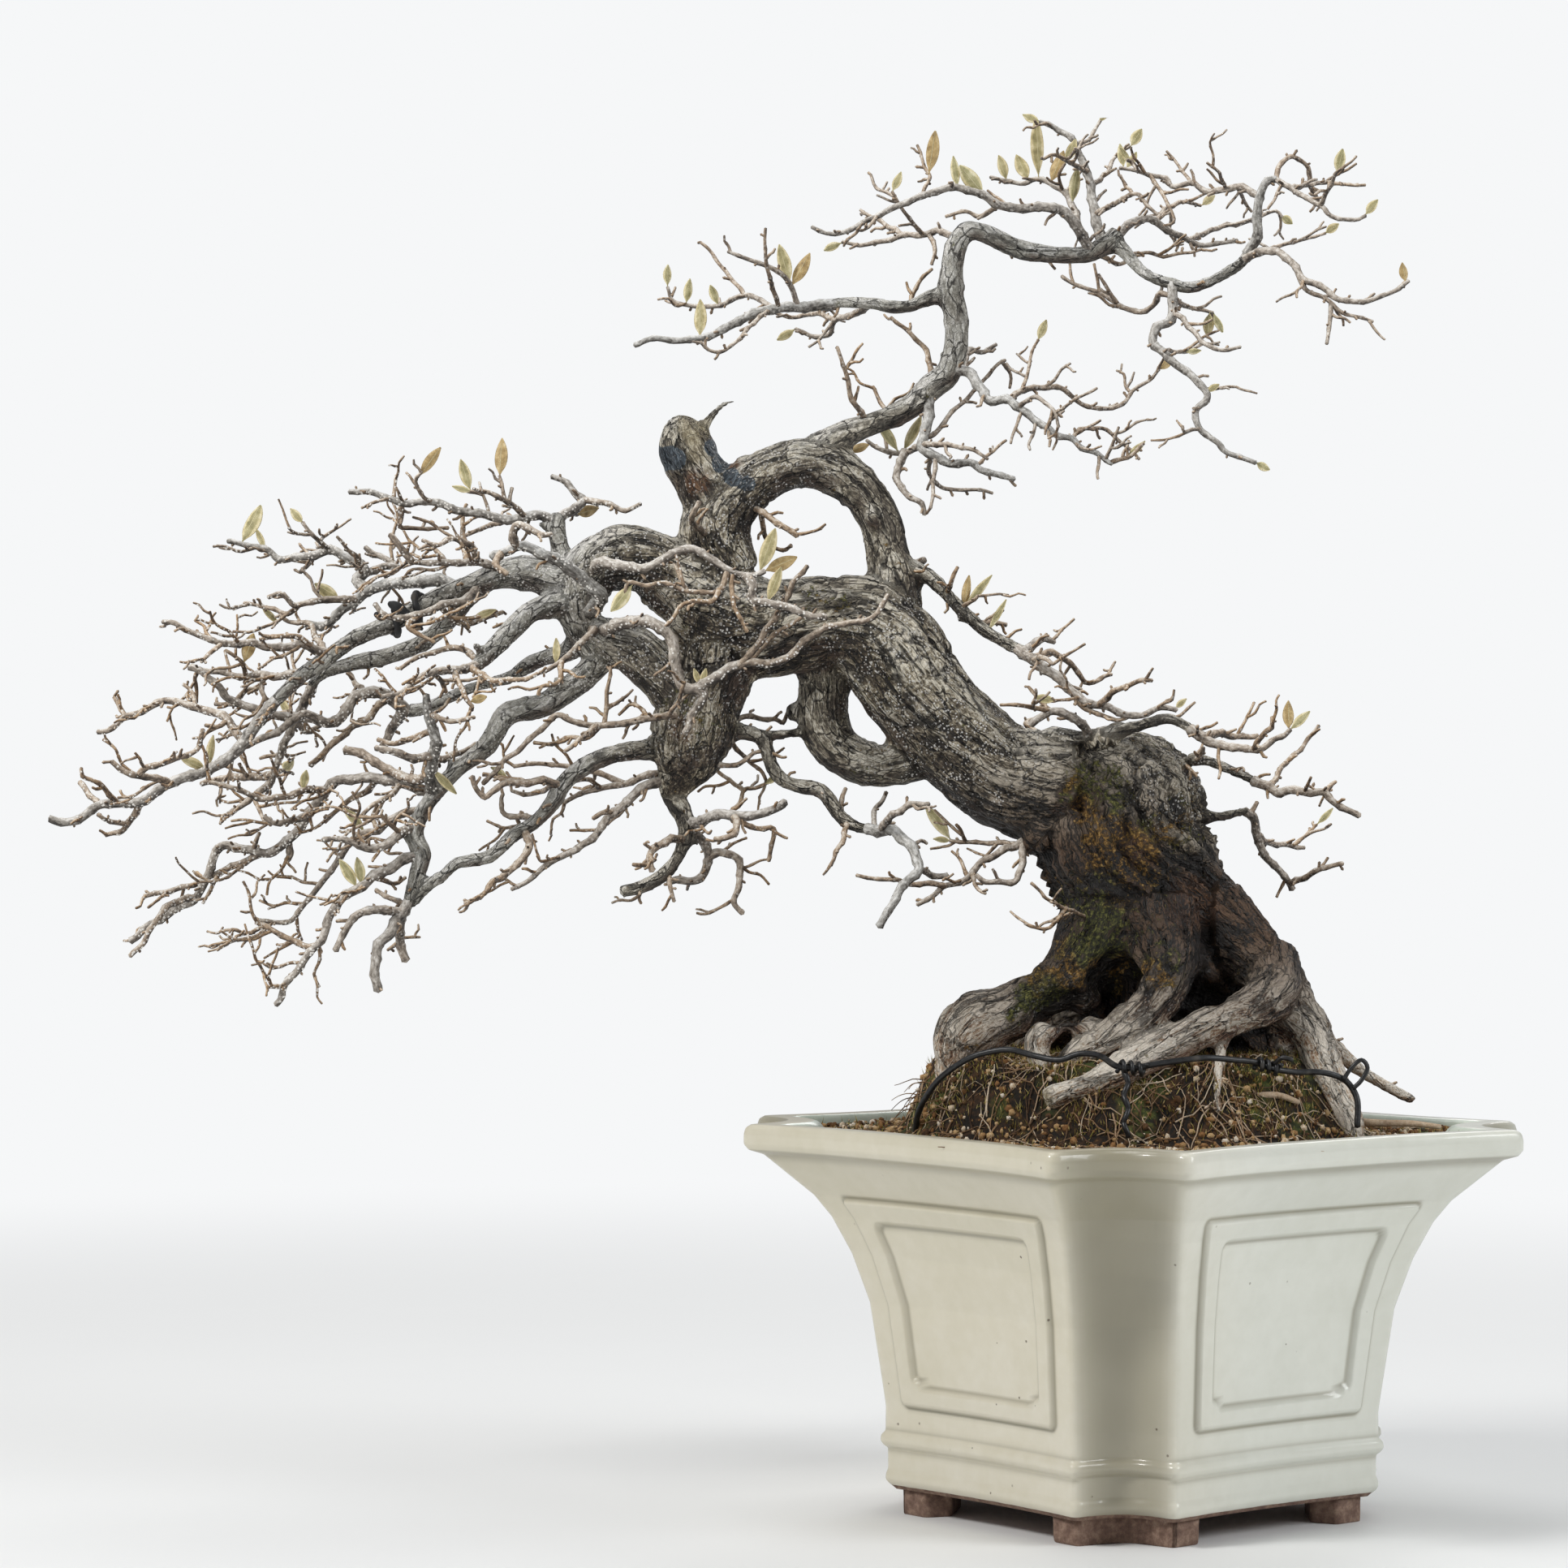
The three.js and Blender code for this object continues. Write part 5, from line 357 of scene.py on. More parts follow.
      [0, -14, 2.2, 1.2, -281, 357, -290, 359.5, -300, 358.5, -310, 358, -316, 354, -319, 351,
        -323, 355, -325, 362],
    ],
    "hip_spray": [
      [-24, -8, 1.9, 1.2, -216, 392, -230, 391.5, -240, 390, -250, 388, -258, 387, -268, 387,
        -276, 389, -283, 392, -290, 386, -297, 380, -303, 374, -309, 370, -314, 364, -320, 358],
      [0, 2, 1.3, 0.8, -260, 387, -259, 400, -258, 408, -257, 416],
      [0, 12, 1.4, 0.9, -262, 387, -268, 381, -276, 381, -286, 378, -295, 378],
    ],
    "front_spray": [
      [-22, -10, 3.2, 2.4, -262, 434, -255, 436, -247, 438, -240, 438, -234, 436, -229, 432,
        -226, 425, -225, 418, -224, 411, -221, 406, -215, 405, -208, 409, -200, 414, -193, 417],
      [0, -6, 2.2, 1.2, -194, 416.6, -188, 418, -180, 417.5, -172, 419, -167, 423, -162, 428,
        -155, 433, -147, 436, -140, 437.5, -133, 438, -127, 441, -123, 446, -120.5, 451.5],
      [0, -8, 1.9, 1.2, -193, 417, -187, 423, -182, 431, -177, 439, -172, 447, -168, 455, -165, 460,
        -160, 465.5],
      [0, -4, 1.5, 1, -188, 418, -183, 425, -178, 430, -170, 436, -163, 440, -162, 445],
      [0, 2, 3, 1.5, -216, 405, -211, 402, -214, 397, -217, 391, -219, 386, -221, 383],
    ],
    "front_upper_spray": [
      [-24, -10, 3, 1.3, -268, 462, -262, 467, -255, 466, -248, 465, -240, 464, -232, 468, -225, 472,
        -218, 474, -212, 472, -206, 468, -198, 463, -192, 461, -186, 461, -181, 463],
      [0, -5, 1.6, 1, -199, 463.5, -203, 454, -210, 452, -218, 453, -225, 455, -232, 457, -240, 456,
        -248, 457, -250, 452],
      [0, -3, 1.4, 0.9, -197, 462, -197, 448, -193, 440, -190, 433],
      [0, -8, 1.5, 1, -203.5, 454, -207, 448, -215, 448, -222, 446, -226, 440, -230, 436],
      [0, -3, 2.4, 1.6, -191, 461, -187, 456, -187, 449, -180, 447, -172, 446, -165, 443, -158, 441,
        -151, 440],
    ],
    "front_grey_spray": [
      [-18, -8, 4, 2, -264, 440, -262, 450, -266, 455, -272, 460, -278, 465, -283, 468, -290, 471,
        -296, 474, -303, 475, -310, 472, -316, 470],
      [0, -8, 2.4, 1.3, -304, 475, -305, 482, -303, 486, -298, 484, -291, 481, -286, 481],
    ],
    "front_brown_spray": [
      [-14, -12, 2, 1.1, -266, 438, -265, 434, -269, 430, -275, 424, -282, 418, -290, 413],
    ],
    "post_spray": [
      [0, 8, 2.8, 1.3, -283, 488, -280, 491, -276, 493, -270, 498, -274, 501, -280, 507, -286, 510],
      [0, -10, 1.8, 1, -270, 498, -262, 497, -256, 495, -250, 493, -242, 496],
    ],
    "post_left_spray": [
      [0, -8, 2.6, 1.4, -283, 485, -290, 490, -296, 490, -302, 489, -308, 488, -320, 491, -328, 492,
        -334, 493, -340, 496, -345, 497, -352, 497, -358, 496, -364, 498, -370, 500, -376, 502,
        -386, 502],
      [0, -12, 1.6, 1, -299, 489.5, -306, 496, -312, 499, -318, 502, -326, 502],
      [0, 12, 1.5, 1, -306, 488.3, -318, 485, -325, 482, -332, 479],
      [0, 10, 1.4, 1, -360, 496.5, -360, 492, -361, 485, -355, 484, -345, 484, -337, 484],
    ],
    "left_top_spray": [
      [0, 16, 3.4, 2, -332, 454, -340, 458, -350, 458, -358, 457, -366, 457, -372, 455, -378, 452,
        -383, 448, -388, 445, -392, 441, -395, 438, -400, 436, -408, 437],
      [0, 12, 3, 1.2, -376, 453, -382, 458, -378, 463, -384, 468, -389, 471, -395, 473, -403, 471,
        -412, 469.5, -420, 469, -426, 473, -434, 475.5, -446, 477.5],
      [0, 10, 2.2, 1.2, -379, 460.5, -370, 465, -362, 465, -366, 468, -373, 471, -378, 475],
      [0, -14, 2, 1.1, -382, 449, -390, 449, -400, 448.5, -408, 447, -413, 446, -417, 450,
        -420, 452, -426, 450],
      [0, 8, 1.4, 0.9, -410, 446.6, -416, 442, -423, 444, -430, 446, -438, 447],
    ],
    "left_upper_spray": [
      [0, -16, 2.3, 1.3, -308, 462, -320, 467, -330, 467, -340, 467, -350, 467, -358, 468],
      [0, -12, 1.8, 1, -322, 467, -326, 475, -334, 479, -342, 476, -350, 478],
      [0, 14, 1.6, 0.9, -328, 467, -330, 478, -330, 488, -328, 496],
    ],
    "left_core_upper_spray": [
      [0, -18, 2.4, 1.3, -321, 457.6, -328, 449, -337, 447, -345, 444, -353, 441, -362, 440,
        -369, 441, -373, 447],
      [0, -6, 1.5, 0.9, -350, 442, -357, 436, -352, 432, -344, 428],
      [0, 12, 1.5, 1, -341, 445.5, -334, 438, -326, 437, -318, 440, -310, 443],
    ],
    "left_far_spray": [
      [0, -14, 3.1, 2, -422, 399.5, -430, 390, -434, 384, -438, 379, -442, 374, -448, 369, -454, 366,
        -460, 363, -468, 361, -475, 358, -480, 355, -485, 351, -490, 349, -498, 348.5, -508, 348,
        -513, 345, -517, 342, -521, 340, -528, 339, -534, 341],
      [0, 8, 2, 1.1, -488, 349.5, -492, 343, -495, 338, -498, 335, -502, 334, -506, 332.5],
      [0, -10, 1.5, 0.9, -500, 348.4, -504, 353, -508, 357, -513, 360, -517, 362, -518, 366],
      [0, -14, 2, 1.3, -474, 358.5, -480, 360.5, -486, 361.5, -493, 362.5, -498, 365, -503, 369],
      [0, -8, 1.7, 1.2, -490, 362.2, -486, 366, -478, 368, -470, 371, -464, 373, -460, 376,
        -459, 381, -458, 385],
      [0, 16, 2.3, 1.3, -438, 379, -443, 385, -447, 391, -455, 394, -463, 396, -470, 398.5,
        -477, 399, -484, 396, -490, 393, -496, 391, -501, 387, -506, 384, -510, 383.5],
    ],
    "left_middle_spray": [
      [0, 18, 2.2, 1.3, -402, 416.5, -412, 413, -420, 411, -428, 412, -435, 411, -443, 411.5,
        -450, 413, -457, 414, -464, 416],
    ],
    "left_raised_spray": [
      [0, -14, 2.4, 1.2, -394, 422, -402, 424, -409, 427, -414, 426, -420, 425, -428, 426,
        -435, 427.5, -442, 427, -449, 427, -453, 429, -460, 431, -466, 434, -472, 437, -478, 438],
      [0, -8, 1.5, 1, -404, 424.8, -410, 430, -418, 431, -430, 429.5],
      [0, 12, 1.8, 0.9, -398, 423, -402, 430, -406, 437, -416, 438, -420, 441],
    ],
    "left_drop_spray": [
      [0, 10, 2.6, 1.5, -404, 407.5, -408, 398, -411, 392, -414, 386, -418, 378, -421, 370, -423, 363,
        -426, 356],
      [0, 10, 2.2, 1.4, -423, 363, -430, 361.5, -440, 361.5, -450, 360.5, -459, 358],
      [0, -8, 2, 1.2, -425, 358, -433, 352, -438, 348, -446, 343],
    ],
    "left_hook_spray": [
      [0, -16, 3.2, 1.6, -357, 394, -363, 398, -368, 402, -374, 403, -381, 402, -384, 400, -387, 395,
        -391, 390, -397, 388, -403, 390, -410, 391, -418, 391, -428, 393.5, -436, 396, -443, 399,
        -447, 401, -450, 406, -455, 410, -460, 414, -465, 415.5],
      [0, -12, 2.2, 1.5, -401, 389.5, -408, 393, -411, 391, -418, 386, -425, 382, -432, 379,
        -440, 376],
      [0, -14, 1.9, 1.5, -366, 400.5, -372, 396, -378, 389, -385, 386, -390, 381, -396, 376,
        -401, 371, -405, 367],
    ],
    "left_core_spray": [
      [0, -14, 2.4, 1.2, -322, 417, -330, 414.5, -338, 414, -346, 413, -353, 409, -360, 403,
        -370, 401],
      [0, 8, 1.8, 1, -321, 418, -328, 424, -338, 424.5, -348, 422, -356, 418, -361, 415],
      [0, -16, 1.8, 1, -326, 416, -318, 410, -309, 409, -299, 410, -291, 413],
    ],
    "stem_top_spray": [
      [0, -18, 4, 1.8, -342, 353, -346, 362, -345, 370, -343, 378, -345, 386, -347, 393, -348, 402],
      [0, -12, 2.4, 1.6, -345, 371, -355, 371, -362, 373, -367, 375, -373, 376],
      [0, 14, 2.5, 2.2, -346, 364, -352, 360, -360, 362, -367, 365, -373, 369, -380, 373, -388, 375],
      [0, 10, 1.8, 1.2, -344.5, 384, -352, 382, -362, 378, -372, 380],
      [0, 18, 2, 1.1, -345, 369, -338, 371, -330, 374, -322, 378],
    ],
    "left_low_spray": [
      [0, 14, 2.8, 1.8, -344, 353, -355, 357, -366, 360, -376, 361, -385, 360.5, -391, 360,
        -397, 355, -401, 350, -405, 344, -410, 337, -415, 331, -420, 327, -427, 324, -433, 325,
        -440, 326.5, -446, 328, -450, 326, -453, 321, -455, 315, -457, 309, -460, 304, -464, 300,
        -470, 297, -476, 293, -482, 290, -486, 287, -490, 283, -494, 281],
      [0, 8, 1.8, 1.2, -428, 324, -436, 320.5, -444, 317, -450, 314.5, -464, 308, -472, 306,
        -480, 304, -487, 303],
      [0, -10, 1.8, 1.2, -462, 302, -468, 301, -475, 298, -480, 292, -484, 286, -488, 279, -494, 273],
      [0, -14, 2, 1.1, -404, 345, -410, 341, -417, 339.5, -420, 338.5, -424, 339, -428, 342],
      [0, -16, 2, 1.1, -397, 355, -408, 355, -415, 352, -420, 351.5, -428, 350.5, -433, 352,
        -440, 355, -448, 357.5, -455, 359],
      [0, 12, 1.8, 1, -372, 360.8, -378, 354, -386, 350, -392, 345, -398, 339],
      [0, -12, 1.6, 1, -360, 358.5, -366, 352, -374, 348, -380, 342],
    ],
    "left_low_tip_spray": [
      [0, -12, 2.8, 1.6, -351, 323, -358, 321, -365, 317, -373, 313, -378, 309, -384, 305, -390, 301,
        -395, 294, -397, 287, -400, 281, -404, 276, -409, 270, -413, 264, -418, 258, -420, 252,
        -422, 249],
      [0, 4, 1.6, 1.2, -402, 278.5, -408, 278, -416, 282, -424, 286, -432, 290],
    ],
    "left_low_long_spray": [
      [0, 22, 2.1, 1.1, -349, 345, -358, 344, -366, 340, -372, 335, -378, 334, -385, 330, -390, 322,
        -396, 314, -402, 306, -408, 299, -413, 292, -417, 290, -424, 290, -431, 291],
    ],
    "left_low_front_spray": [
      [0, -14, 2.8, 1.3, -353, 337, -358, 335, -364, 331, -370, 327, -376, 326, -383, 329, -392, 331,
        -399, 331],
    ],
    "hub_spray": [
      [0, -10, 3, 2.2, -356, 300, -361, 293, -366, 285, -371, 279, -373, 272, -373, 264, -372, 256],
      [0, 12, 2.6, 2.1, -359, 296, -361, 288, -360.5, 278, -358, 271],
      [0, -10, 2.5, 1.5, -360, 294.5, -370, 296, -378, 295, -384, 292, -388, 285, -393, 276],
    ],
}

# Leaves that show from the front: [x, z] of the root, [x, z] of the tip, width
LEAVES: dict[str, list[list[float]]] = {
    "trunk": [[-76, 451, -80, 461, 4], [-76, 451, -69, 461, 4], [-66, 441, -62, 449, 3]],
    "crown_tip_spray": [[101, 658, 104, 671, 5], [-4, 662, -6, 674, 4], [-3, 661, 2, 670, 4],
      [115, 638, 121, 646, 4]],
    "crown_right_spray": [[135, 605, 133, 615, 4], [95, 629, 102, 634, 4]],
    "crown_knob_spray": [[73, 638, 79, 634, 4], [34, 643, 41, 648, 4]],
    "crown_hanging_spray": [[36, 551, 43, 555, 3], [61, 517, 68, 513, 4]],
    "crown_top_spray": [[-45, 685, -54, 688, 4], [-1, 672, 5, 681, 5]],
    "crown_left_spray": [[-100, 658, -97, 680, 6], [-86, 652, -88, 668, 4], [-72, 649, -85, 663, 7],
      [-46, 656, -47, 687, 6], [-40, 655, -34, 671, 6], [-51, 655, -57, 669, 6],
      [-29, 644, -27, 662, 5], [-62, 655, -66, 668, 5]],
    "crown_middle_spray": [[-118, 650, -114, 660, 4], [-143, 625, -152, 621, 4]],
    "crown_far_left_spray": [[-229, 603, -229, 614, 4], [-213, 577, -213, 597, 6],
      [-204, 593, -208, 604, 4], [-220, 594, -218, 607, 4], [-168, 604, -174, 624, 6],
      [-167, 604, -159, 620, 6]],
    "crown_low_left_spray": [[-166, 582, -175, 577, 4]],
    "under_crown_spray": [[-113, 522, -104, 540, 5], [-115, 522, -126, 537, 5],
      [-129, 525, -140, 522, 4]],
    "crown_inner_spray": [[13, 562, 20, 568, 4], [-46, 576, -42, 587, 4]],
    "right_long_spray": [[21, 395, 27, 400, 3]],
    "shoulder_spray": [[77.5, 384, 77, 399, 5], [78, 384, 88, 394, 4]],
    "base_left_spray": [[-89, 330, -102, 347, 6], [-89, 330, -98, 331, 3]],
    "loop_hook_spray": [[-181, 358, -175, 362, 3]],
    "front_spray": [[-213, 407, -216, 415, 3], [-213, 407, -210, 415, 3]],
    "front_upper_spray": [[-184, 462, -176, 484, 6.5], [-182, 463, -165, 470, 6],
      [-180, 447, -173, 465, 5], [-246, 457, -257, 443, 6]],
    "front_brown_spray": [[-283, 415, -284, 430, 4]],
    "post_left_spray": [[-325, 502, -335, 505, 3], [-326, 502, -331, 518, 5]],
    "left_top_spray": [[-439, 477, -430, 496, 8], [-427, 474, -432, 484, 3],
      [-390, 449, -403, 457, 6], [-430, 445, -421, 437, 3]],
    "left_far_spray": [[-456, 365, -469, 371, 5], [-456, 365, -453, 382, 4]],
    "left_low_spray": [[-409, 354, -407, 365, 4]],
    "left_low_tip_spray": [[-382, 307, -391, 321, 5], [-380, 308, -382, 322, 5]],
    "left_low_long_spray": [[-378, 334, -389, 347, 5]],
    "stem_top_spray": [[-346, 366, -333, 353, 4]],
}

# Twigs and leaves too short for the solids
SHORT_TWIGS: dict[str, list[list[float]]] = {
    "crown_tip_spray": [[0, -8, 1, 0.7, 95.8, 655, 108.6, 653, 115, 653.5],
        [0, 10, 1, 0.7, 29.3, 655, 23, 662.6, 17, 670],
        [0, -18, 1, 0.7, 46, 652, 42.2, 660, 36.9, 664.3], [0, 14, 1, 0.7, 51.9, 651, 56, 644, 59, 640]],
    "crown_hanging_spray": [[0, -10, 1.1, 0.7, 33, 533, 25.6, 531.9, 25, 534.5],
        [0, 24, 1.2, 0.8, 14, 571.8, 26, 571, 34.7, 574.8],
        [0, 14, 1.4, 0.8, 20, 596.8, 28.3, 593, 35.8, 591.4, 40, 590.3]],
    "crown_top_spray": [[0, 12, 1.2, 0.8, -27.8, 673.3, -20.9, 676, -16, 685],
        [0, 8, 1, 0.7, 0.5, 648.5, -3, 653, -6, 657.8]],
    "crown_left_spray": [[0, -8, 1, 0.7, -34.5, 650.5, -36, 658, -33, 664]],
    "crown_middle_spray": [[0, -10, 1.3, 0.9, -100, 629, -97, 621, -99, 614],
        [0, 10, 1, 0.7, -117, 647.6, -126, 652, -129, 658.3]],
    "under_crown_spray": [[0, 14, 1, 0.7, -77, 514.5, -70, 521, -62, 527.5],
        [0, 6, 1, 0.7, -64, 566, -60, 560, -60.5, 553]],
    "crown_inner_spray": [[0, -6, 1, 0.7, -13, 518, -8.7, 528, -6.6, 534]],
    "right_long_spray": [[0, 10, 1.8, 1, -35, 409, -30, 406, -25, 404],
        [0, 14, 2.8, 1.3, -54, 423, -48, 427, -43, 430, -38, 428],
        [0, -18, 1.6, 1, -48.5, 419.3, -44, 420.3, -39, 417], [0, 8, 1, 0.7, -46, 417.3, -45, 412],
        [0, -10, 0.9, 0.7, -26, 400.5, -30, 400, -38, 399]],
    "shoulder_spray": [[0, -14, 1.6, 1.2, 60, 375, 62, 379, 66, 384, 69, 386, 69, 391]],
    "shoulder_left_spray": [[0, 2, 1, 0.7, -42, 394.5, -43, 399]],
    "right_middle_spray": [[0, -10, 1.1, 0.8, 85, 354.2, 88, 361], [0, 10, 1.4, 1, 94, 354, 100, 359]],
    "right_low_spray": [[0, 6, 1.1, 0.8, 79, 328, 86, 333, 91, 338], [0, -4, 1.6, 1, 58, 343, 62, 349]],
    "base_left_spray": [[0, -6, 1.1, 0.8, -82, 329.4, -84, 334, -87, 338],
        [0, 6, 1.1, 0.7, -81, 312, -85, 321, -89, 325],
        [0, -12, 1.1, 0.8, -79, 313.5, -76, 306, -72, 304]],
    "under_loop_spray": [[0, 12, 1.8, 1.4, -105.3, 316.5, -100, 313.5, -95, 312.5, -91, 312.5],
        [0, 14, 1.5, 1, -127, 335.4, -127, 345, -123, 350, -121, 354],
        [0, 8, 1.2, 0.8, -109, 328, -104, 330, -101, 328.5]],
    "loop_hook_spray": [[0, -14, 2, 1.2, -196.5, 342.5, -194.5, 338, -196, 334, -201, 331, -206, 331],
        [0, 6, 1.2, 0.9, -191, 354.5, -200, 361, -205, 365]],
    "tail_loop_spray": [[0, 4, 1.1, 0.8, -218, 310, -219.5, 306]],
    "tail_left_spray": [[0, -4, 1.4, 0.9, -237.3, 317.5, -246, 318.5],
        [0, -3, 1, 0.8, -236, 325.5, -240.5, 328.5]],
    "low_limb_spray": [[0, 6, 1, 0.7, -304, 342.1, -302, 338, -306, 337, -311, 336.5, -318, 340]],
    "low_hook_spray": [[0, -6, 1.7, 1, -310, 312, -315, 310, -318, 305, -323, 302, -329, 299]],
    "low_front_spray": [[0, -6, 1.5, 1, -255, 344.3, -262, 343.5, -266, 341]],
    "low_cross_spray": [[0, -8, 1.4, 0.9, -262, 356, -268, 360, -276, 360]],
    "center_low_spray": [[0, 14, 1.5, 0.9, -285, 358.2, -292, 354, -298, 353, -306, 354.5],
        [0, 8, 1.3, 0.9, -305, 358.3, -312, 361, -320, 363]],
    "hip_spray": [[0, 14, 1.2, 0.8, -238, 390.5, -243, 396, -248, 397, -253, 392],
        [0, -12, 1.5, 1, -264, 387, -272, 380, -280, 374]],
    "front_grey_spray": [[0, -8, 2, 1.4, -311, 472, -314, 466, -308, 462]],
    "front_brown_spray": [[0, -12, 1.5, 0.9, -281, 419, -283, 408, -291, 406, -293, 402]],
    "post_left_spray": [[0, 3, 1.1, 0.8, -307, 496.5, -306, 504],
        [0, 2, 1.1, 0.8, -309, 497.5, -312, 510], [0, -6, 1, 0.7, -366, 499, -373, 497, -380, 494],
        [0, 4, 1, 0.7, -364, 498, -363, 510],
        [0, -8, 1.2, 0.8, -345, 497, -350, 500, -353, 507, -350, 512]],
    "left_top_spray": [[0, -8, 1.3, 0.9, -395, 473, -401, 478, -406, 483, -409, 487],
        [0, 6, 1.3, 1, -403, 471, -407, 465, -410, 462],
        [0, -14, 1.2, 0.8, -380, 461, -382, 470, -387, 474, -392, 480]],
    "left_upper_spray": [[0, -4, 2, 1.4, -355, 467.6, -360, 474, -366, 481],
        [0, 8, 1.3, 0.8, -338, 467, -345, 475, -352, 474]],
    "left_far_spray": [[0, -8, 1.4, 1, -495, 338, -505, 340, -510, 343],
        [0, 10, 1.6, 1.3, -509, 347.7, -514, 353, -519, 359],
        [0, 4, 1.3, 0.9, -496, 391, -499, 396, -502, 401],
        [0, 8, 1.3, 0.9, -462, 396, -463, 403, -468, 407],
        [0, -4, 1.6, 1, -446, 389.5, -451, 386, -457, 387]],
    "left_middle_spray": [[0, 6, 1.2, 0.8, -460, 415, -462, 409, -461, 403, -461, 398],
        [0, -6, 1.3, 0.8, -437, 411.2, -438, 417, -441, 420, -447, 424],
        [0, -8, 1.6, 1, -428, 412, -429, 404, -426, 398]],
    "left_raised_spray": [[0, -6, 1.4, 0.9, -449, 427, -455, 422, -459, 418]],
    "left_drop_spray": [[0, -6, 1.2, 0.8, -436, 361.5, -438, 364, -440, 368],
        [0, 6, 1.3, 0.8, -420, 372.5, -424, 372, -430, 370.5],
        [0, 14, 1.7, 1, -412, 390, -408, 384, -402, 386, -394, 389]],
    "left_hook_spray": [[0, 8, 1.5, 1, -441, 398, -447, 397, -452, 398],
        [0, 10, 1.6, 1, -442, 398.5, -437, 404, -431, 404.5],
        [0, 10, 2.8, 1.9, -359, 395, -364, 387, -367, 381, -370, 376],
        [0, 14, 1.6, 1, -377, 402.8, -383, 408, -387, 414]],
    "left_core_spray": [[0, -10, 1.7, 1, -334, 414, -332, 408, -328, 400, -325, 396],
        [0, 14, 1.5, 1, -345, 413.2, -340, 408, -338, 403]],
    "stem_top_spray": [[0, -10, 1.5, 1, -347, 392, -340, 390, -332, 389, -324, 391]],
    "left_low_spray": [[0, -4, 1.3, 1, -433, 325, -432, 330, -430, 334],
        [0, 4, 2, 1.6, -416, 330, -415, 323, -417, 320]],
    "left_low_tip_spray": [[0, -3, 1.3, 1, -418, 258, -426, 258],
        [0, 10, 1.5, 0.9, -374, 312, -364, 309, -358, 312]],
    "left_low_long_spray": [[0, 8, 1.3, 0.8, -372, 335, -374, 341, -372, 348]],
    "left_low_front_spray": [[0, -8, 1.4, 0.9, -360, 333.6, -366, 338, -370, 343]],
    "hub_spray": [[0, 4, 1.2, 0.8, -361, 281, -367, 276],
        [0, 8, 1.6, 1, -358, 298, -366, 302, -373, 306]],
    "trunk": [[0, -8, 1.4, 0.9, -91, 452, -89, 458, -86, 465],
        [0, 8, 1.8, 1, -76, 437, -69, 438, -62, 436], [0, -6, 1.3, 0.8, -84, 445, -78, 449, -76, 451],
        [0, 8, 1.2, 0.7, -73, 437, -70, 440, -66, 441],
        [0, 10, 2.4, 1.6, -110, 464, -106, 467, -102, 469],
        [0, 8, 1.4, 0.8, -119, 539, -125.4, 548.7, -128, 554],
        [0, 6, 1.5, 1, -142, 342, -143.5, 350, -141, 356],
        [0, -4, 1.4, 0.9, -228, 315, -227, 305, -226, 300],
        [0, 6, 1.2, 0.8, -241, 308, -243, 302, -242, 299],
        [0, -20, 1.1, 0.8, -36, 288, -41, 287, -48, 287.5, -53, 289.5],
        [0, -6, 1.6, 1.1, 31, 370, 33, 371, 35, 376], [0, -4, 1.2, 0.8, 26, 367, 29, 365, 32, 362],
        [0, 14, 2, 1.2, -60, 386, -52, 388, -44, 391]],
}
SMALL_LEAVES: dict[str, list[list[float]]] = {
    "crown_hanging_spray": [[26, 570, 34, 572, 3], [38, 590, 37, 579, 5], [40, 590, 45, 581, 4]],
    "crown_top_spray": [[-16, 684, -12, 690, 3]],
    "crown_left_spray": [[-33, 664, -28, 676, 5]],
    "right_long_spray": [[-37, 399, -48, 401, 4]],
    "right_low_spray": [[91, 338, 99, 346, 3]],
    "post_left_spray": [[-312, 509, -311, 529, 6], [-350, 508, -341, 524, 5]],
    "left_top_spray": [[-409, 486, -415, 494, 4]],
    "left_middle_spray": [[-438, 417, -433, 432, 6]],
    "left_core_spray": [[-326, 399, -318, 401, 4]],
}

# Tie wire: [x, depth, z] along its run over the root ball, and down its drop
WIRE_ROUTE = [
    [-107, -34, 186], [-105, -40, 197], [-98, -50, 209], [-91, -56, 216], [-80, -62, 223],
    [-70, -66, 226], [-60, -70, 227], [-48, -74, 224], [-36, -80, 222], [-26, -84, 225],
    [-16, -86, 224], [-8, -88, 219], [0, -89, 218], [12, -88, 220], [26, -85, 222], [38, -82, 223],
    [50, -76, 222], [60, -70, 221], [68, -66, 218], [80, -62, 216], [92, -60, 216], [101, -58, 214],
    [107, -56, 210], [111, -59, 202], [111, -62, 189],
]
WIRE_DROP = [[-3, -89, 217], [-3, -94, 208], [-3, -98, 198], [-3, -101, 184]]


# Numbers: seeded draws, noise and curves

class Seed(IntEnum):
    """Seeds of all that is drawn at random, so that each run gives the same."""

    SHOOTS = 0
    LEAVES = 5
    SMALL_LEAVES = 7
    FINE_SHOOTS = 91
    STUBS = 77
    BARK = 5
    BARK_ZONES = 6
    EARTH = 21
    EARTH_MOSS = 23
    EARTH_TONE = 24
    GRIT = 31
    GRIT_FORM = 7
    TUFTS = 37
    TUFT_ZONES = 38
    FIBRES = 53
    HAIRS = 41


